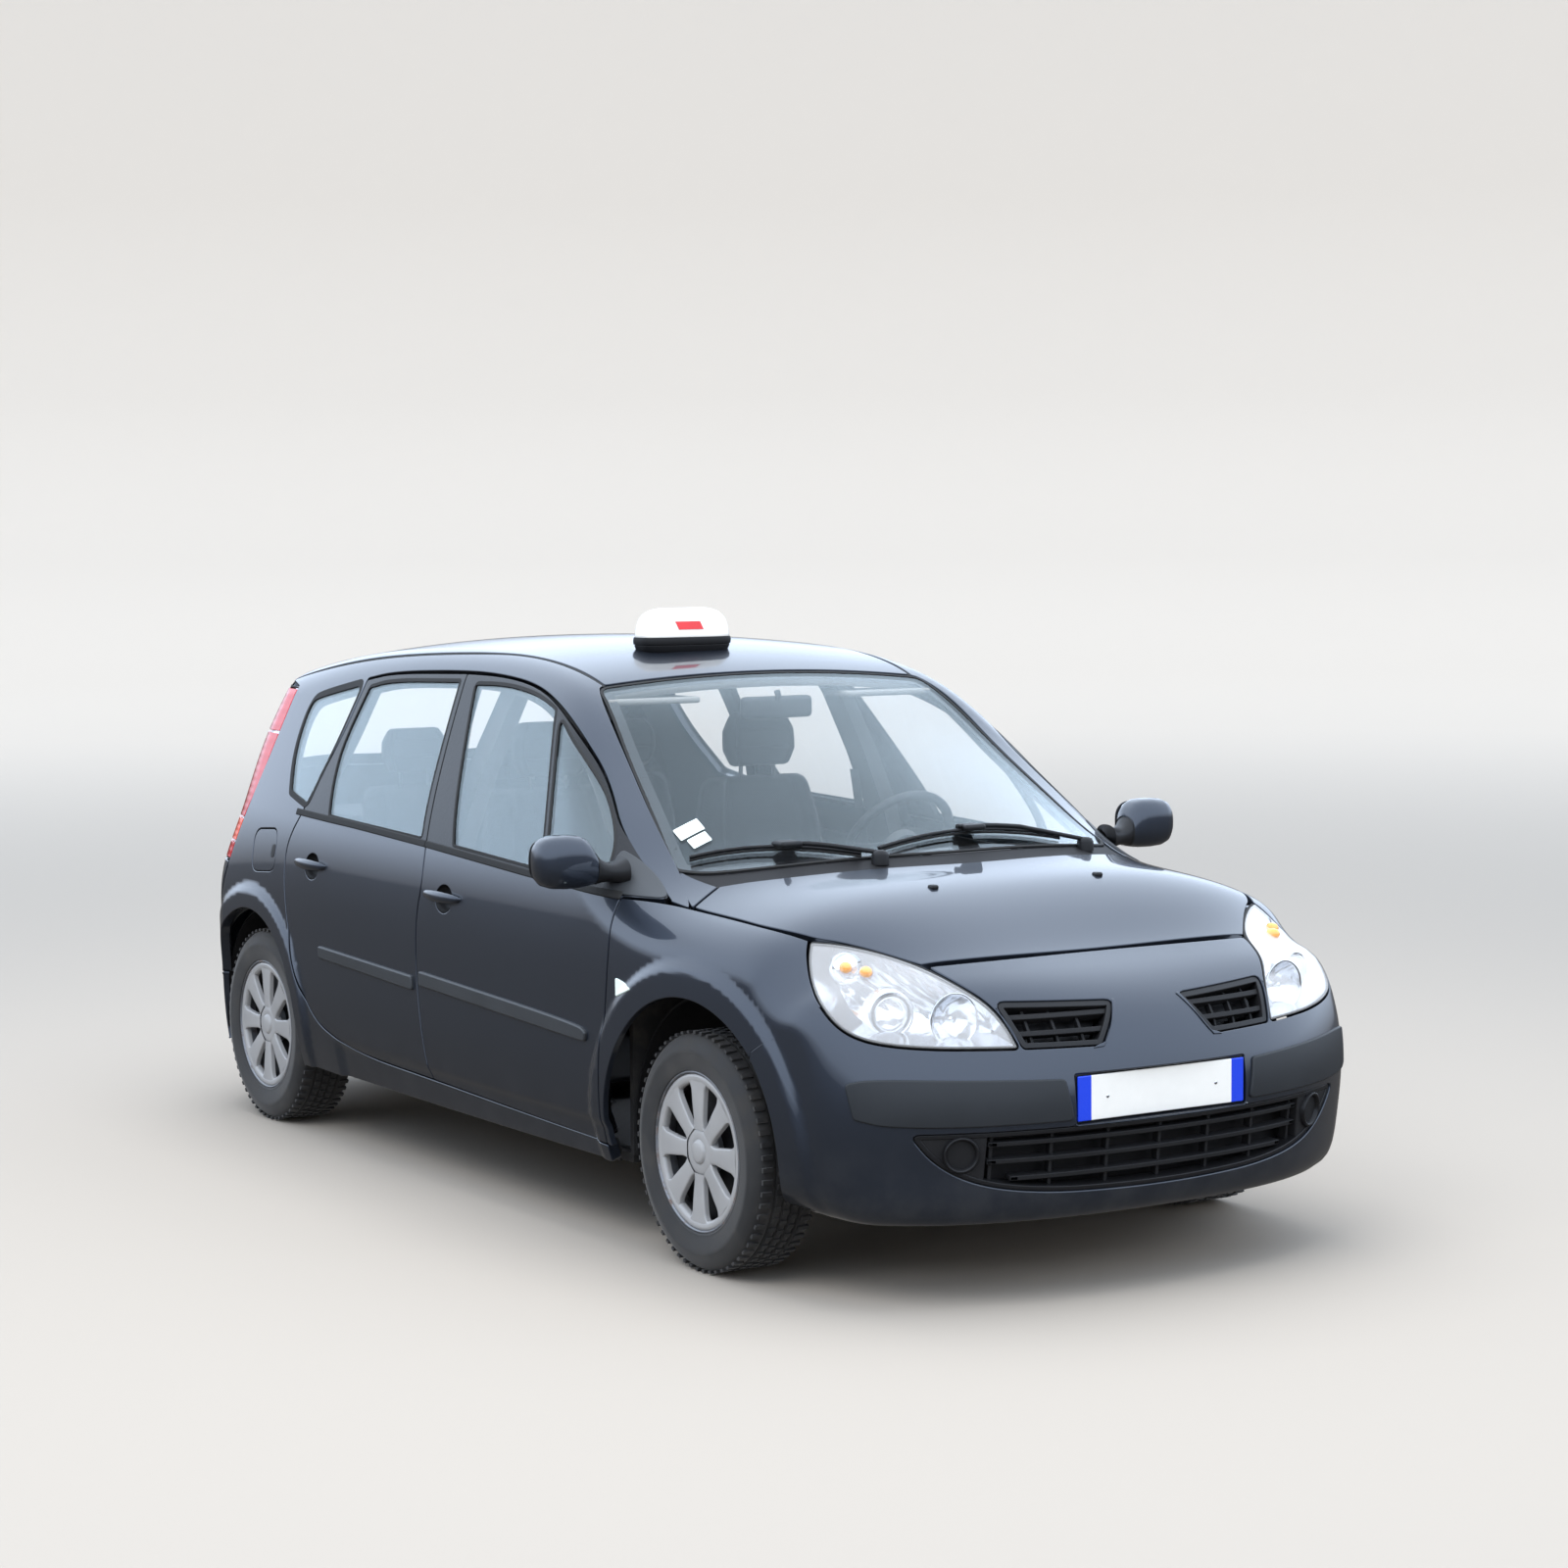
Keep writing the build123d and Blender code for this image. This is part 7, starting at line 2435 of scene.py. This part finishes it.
    def details(self) -> None:
        """Mirror, visors, shelf, carpets and belts."""
        kit = self.kit
        shell = Shell("cabin_fittings")
        shell.box(kit.trim, (332, -120, 1340), (362, 120, 1404), 22)
        shell.box(kit.mirror, (328, -112, 1347), (336, 112, 1397), 14)
        shell.add(tube([(350, 0, 1385), (362, 0, 1402), (352, 0, 1418)], 9, 12), kit.trim)
        for y in (-400, 400):
            shell.box(kit.cabin_pale, (205, y - 150, 1392), (345, y + 150, 1410), 9)
        shell.box(kit.cabin, (-1800, -560, 948), (-1330, 560, 972), 10)
        shell.build("body", "interior")
        carpet = Shell("carpets")
        carpet.box(kit.cloth, (-515, -770, 234), (862, 770, 246), 4)
        carpet.box(kit.cloth, (-1910, -590, 382), (-525, 590, 394), 4)
        carpet.build("body", "interior")
        belts = Shell("seat_belts")
        for y in (-640, 640):
            s = 1 if y > 0 else -1
            path = [(-235, y + 20 * s, 1130), (-240, y + 60 * s, 900), (-242, y + 90 * s, 560),
                    (-235, y + 92 * s, 330)]
            rows = []
            for x, yy, z in path:
                rows.append([(x - 23, yy, z), (x + 23, yy, z), (x + 23, yy - 1.6 * s, z),
                             (x - 23, yy - 1.6 * s, z)])
            belts.add(rings(rows, True, (True, True)), kit.cloth)
        belts.build("body", "interior")


# ---------------------------------------------------------------- stage
@dataclass
class Studio:
    """Pale floor, soft lights and the camera.

    Attributes:
        eye: Camera place, mm.
        yaw: Heading of the view, radians from +X towards +Y.
        pitch: Rise of the view, radians.
        roll: Turn about the view, radians.
        focal: Focal length in picture widths.
        ground: Light from below the horizon, seen in gloss alone.
        horizon: Light along the horizon.
        sky: Light from a quarter of the way up.
        zenith: Light from overhead.
        strength: Factor on the light of the sky.
        sides: Sides of the round backdrop.
        dish: Radius and height of the backdrop's rings, m.
        near: Colour of the floor by the car.
        far: Colour of the backdrop, lighter than the floor: painted light that stands in for a brighter lit
            wall.
        lights: Name, place, aim, size, power and colour of each light, m and W.
    """

    eye: tuple = (8306.67, -5063.01, 1860.26)
    yaw: float = 2.57282144
    pitch: float = -0.0752697
    roll: float = -0.00780538
    focal: float = 3340.66 / 1600
    ground: tuple = (0.16, 0.155, 0.15)
    horizon: tuple = (0.50, 0.52, 0.56)
    sky: tuple = (1.75, 2.05, 2.5)
    zenith: tuple = (1.8, 2.05, 2.4)
    strength: float = 0.85
    sides: int = 96
    dish: tuple = ((0.02, 0.0), (22.0, 0.0), (26.0, 0.35), (29.0, 1.6), (30.5, 3.6), (31.0, 6.0),
                   (31.0, 11.0))
    near: tuple = (0.35, 0.32, 0.285)
    far: tuple = (0.67, 0.60, 0.52)
    lights: tuple = (("key", (3.0, -6.0, 7.0), (0, 0, 0.8), (6.0, 4.0), 380, (1.0, 0.97, 0.93)),
                     ("overhead", (0.0, 0.0, 6.5), (0, 0, 0.8), (8.0, 4.0), 380, (1.0, 0.98, 0.95)),
                     ("front", (9.0, 2.0, 4.0), (1.0, 0, 0.7), (4.0, 3.0), 170, (1.0, 0.98, 0.95)))

    def camera(self) -> None:
        """Places the camera."""
        ahead = Vector((math.cos(self.pitch) * math.cos(self.yaw), math.cos(self.pitch) * math.sin(self.yaw),
                        math.sin(self.pitch)))
        right = ahead.cross(Vector((0, 0, 1))).normalized()
        up = right.cross(ahead)
        across = right * math.cos(self.roll) + up * math.sin(self.roll)
        above = up * math.cos(self.roll) - right * math.sin(self.roll)
        data = bpy.data.cameras.new("camera")
        data.sensor_width, data.lens = 36.0, 36.0 * self.focal
        data.clip_end = 100.0
        camera = bpy.data.objects.new("camera", data)
        turn = Matrix((across, above, -ahead)).transposed().to_4x4()
        camera.matrix_world = Matrix.Translation(Vector(self.eye) * MM) @ turn
        bpy.context.scene.collection.objects.link(camera)
        bpy.context.scene.camera = camera

    def light(self, name: str, at: tuple, to: tuple, size: tuple, power: float, colour: tuple) -> None:
        """Adds a soft rectangular light aimed at a point."""
        data = bpy.data.lights.new(name, "AREA")
        data.shape, (data.size, data.size_y) = "RECTANGLE", size
        data.energy, data.color = power, colour
        lamp = bpy.data.objects.new(name, data)
        lamp.visible_glossy = False
        aim = Vector(to) - Vector(at)
        lamp.matrix_world = Matrix.Translation(Vector(at)) @ aim.to_track_quat("-Z", "Y").to_matrix().to_4x4()
        bpy.context.scene.collection.objects.link(lamp)

    def build(self) -> None:
        """Makes the floor, the lights, the sky and the camera."""
        scene = bpy.context.scene
        world = bpy.data.worlds.new("studio") if scene.world is None else scene.world
        scene.world = world
        world.use_nodes = True
        shader = world.node_tree.nodes["Background"]
        nodes, links = world.node_tree.nodes, world.node_tree.links
        kinds = ("TexCoord", "SeparateXYZ", "ValToRGB")
        where, split, ramp = (nodes.new(f"ShaderNode{kind}") for kind in kinds)
        links.new(where.outputs["Generated"], split.inputs[0])
        links.new(split.outputs["Z"], ramp.inputs[0])
        links.new(ramp.outputs[0], shader.inputs["Color"])
        low, high = ramp.color_ramp.elements
        low.position, low.color = 0.0, (*self.ground, 1)
        high.position, high.color = 0.75, (*self.zenith, 1)
        for place, colour in ((0.01, self.horizon), (0.14, self.sky)):
            ramp.color_ramp.elements.new(place).color = (*colour, 1)
        shader.inputs["Strength"].default_value = self.strength
        scene.view_settings.view_transform = "Standard"
        n = self.sides
        points = [(r * math.cos(t), r * math.sin(t), z) for r, z in self.dish for t in around(n)]
        faces = [(k * n + i, k * n + (i + 1) % n, (k + 1) * n + (i + 1) % n, (k + 1) * n + i)
                 for k in range(len(self.dish) - 1) for i in range(n)]
        mesh = bpy.data.meshes.new("backdrop")
        mesh.from_pydata(points, [], [tuple(range(n))] + faces)
        mesh.shade_smooth()
        floor = bpy.data.objects.new("backdrop", mesh)
        scene.collection.objects.link(floor)
        floor.visible_glossy = False
        finish = Finish("pale_floor", Surface(self.near, 0.9, specular=0.1))
        x, y, _ = finish.axes()
        # The floor turns lighter towards the backdrop wall: painted light in place of more lamp light on the
        # wall.
        far = (x * x + y * y).power(0.5).ramp(4.0, 27.0)
        finish.feed("Base Color", finish.blend(far, self.near, self.far))
        mesh.materials.append(finish.material)
        for row in self.lights:
            self.light(*row)
        self.camera()


def main() -> None:
    """Builds the pieces in order."""
    logging.basicConfig(level=logging.INFO, format="%(message)s")
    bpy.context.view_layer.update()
    kit = Kit()
    Coachwork(kit).build()
    for plan in (FRONT_PLAN, REAR_PLAN):
        Door(kit, plan).build()
    RoadWheel(kit).build()
    FrontEnd(kit).build()
    RearEnd(kit).build()
    Fittings(kit).build()
    Running(kit, frame).build()
    Cabin(kit).build()
    Studio().build()


if __name__ == "__main__":
    main()
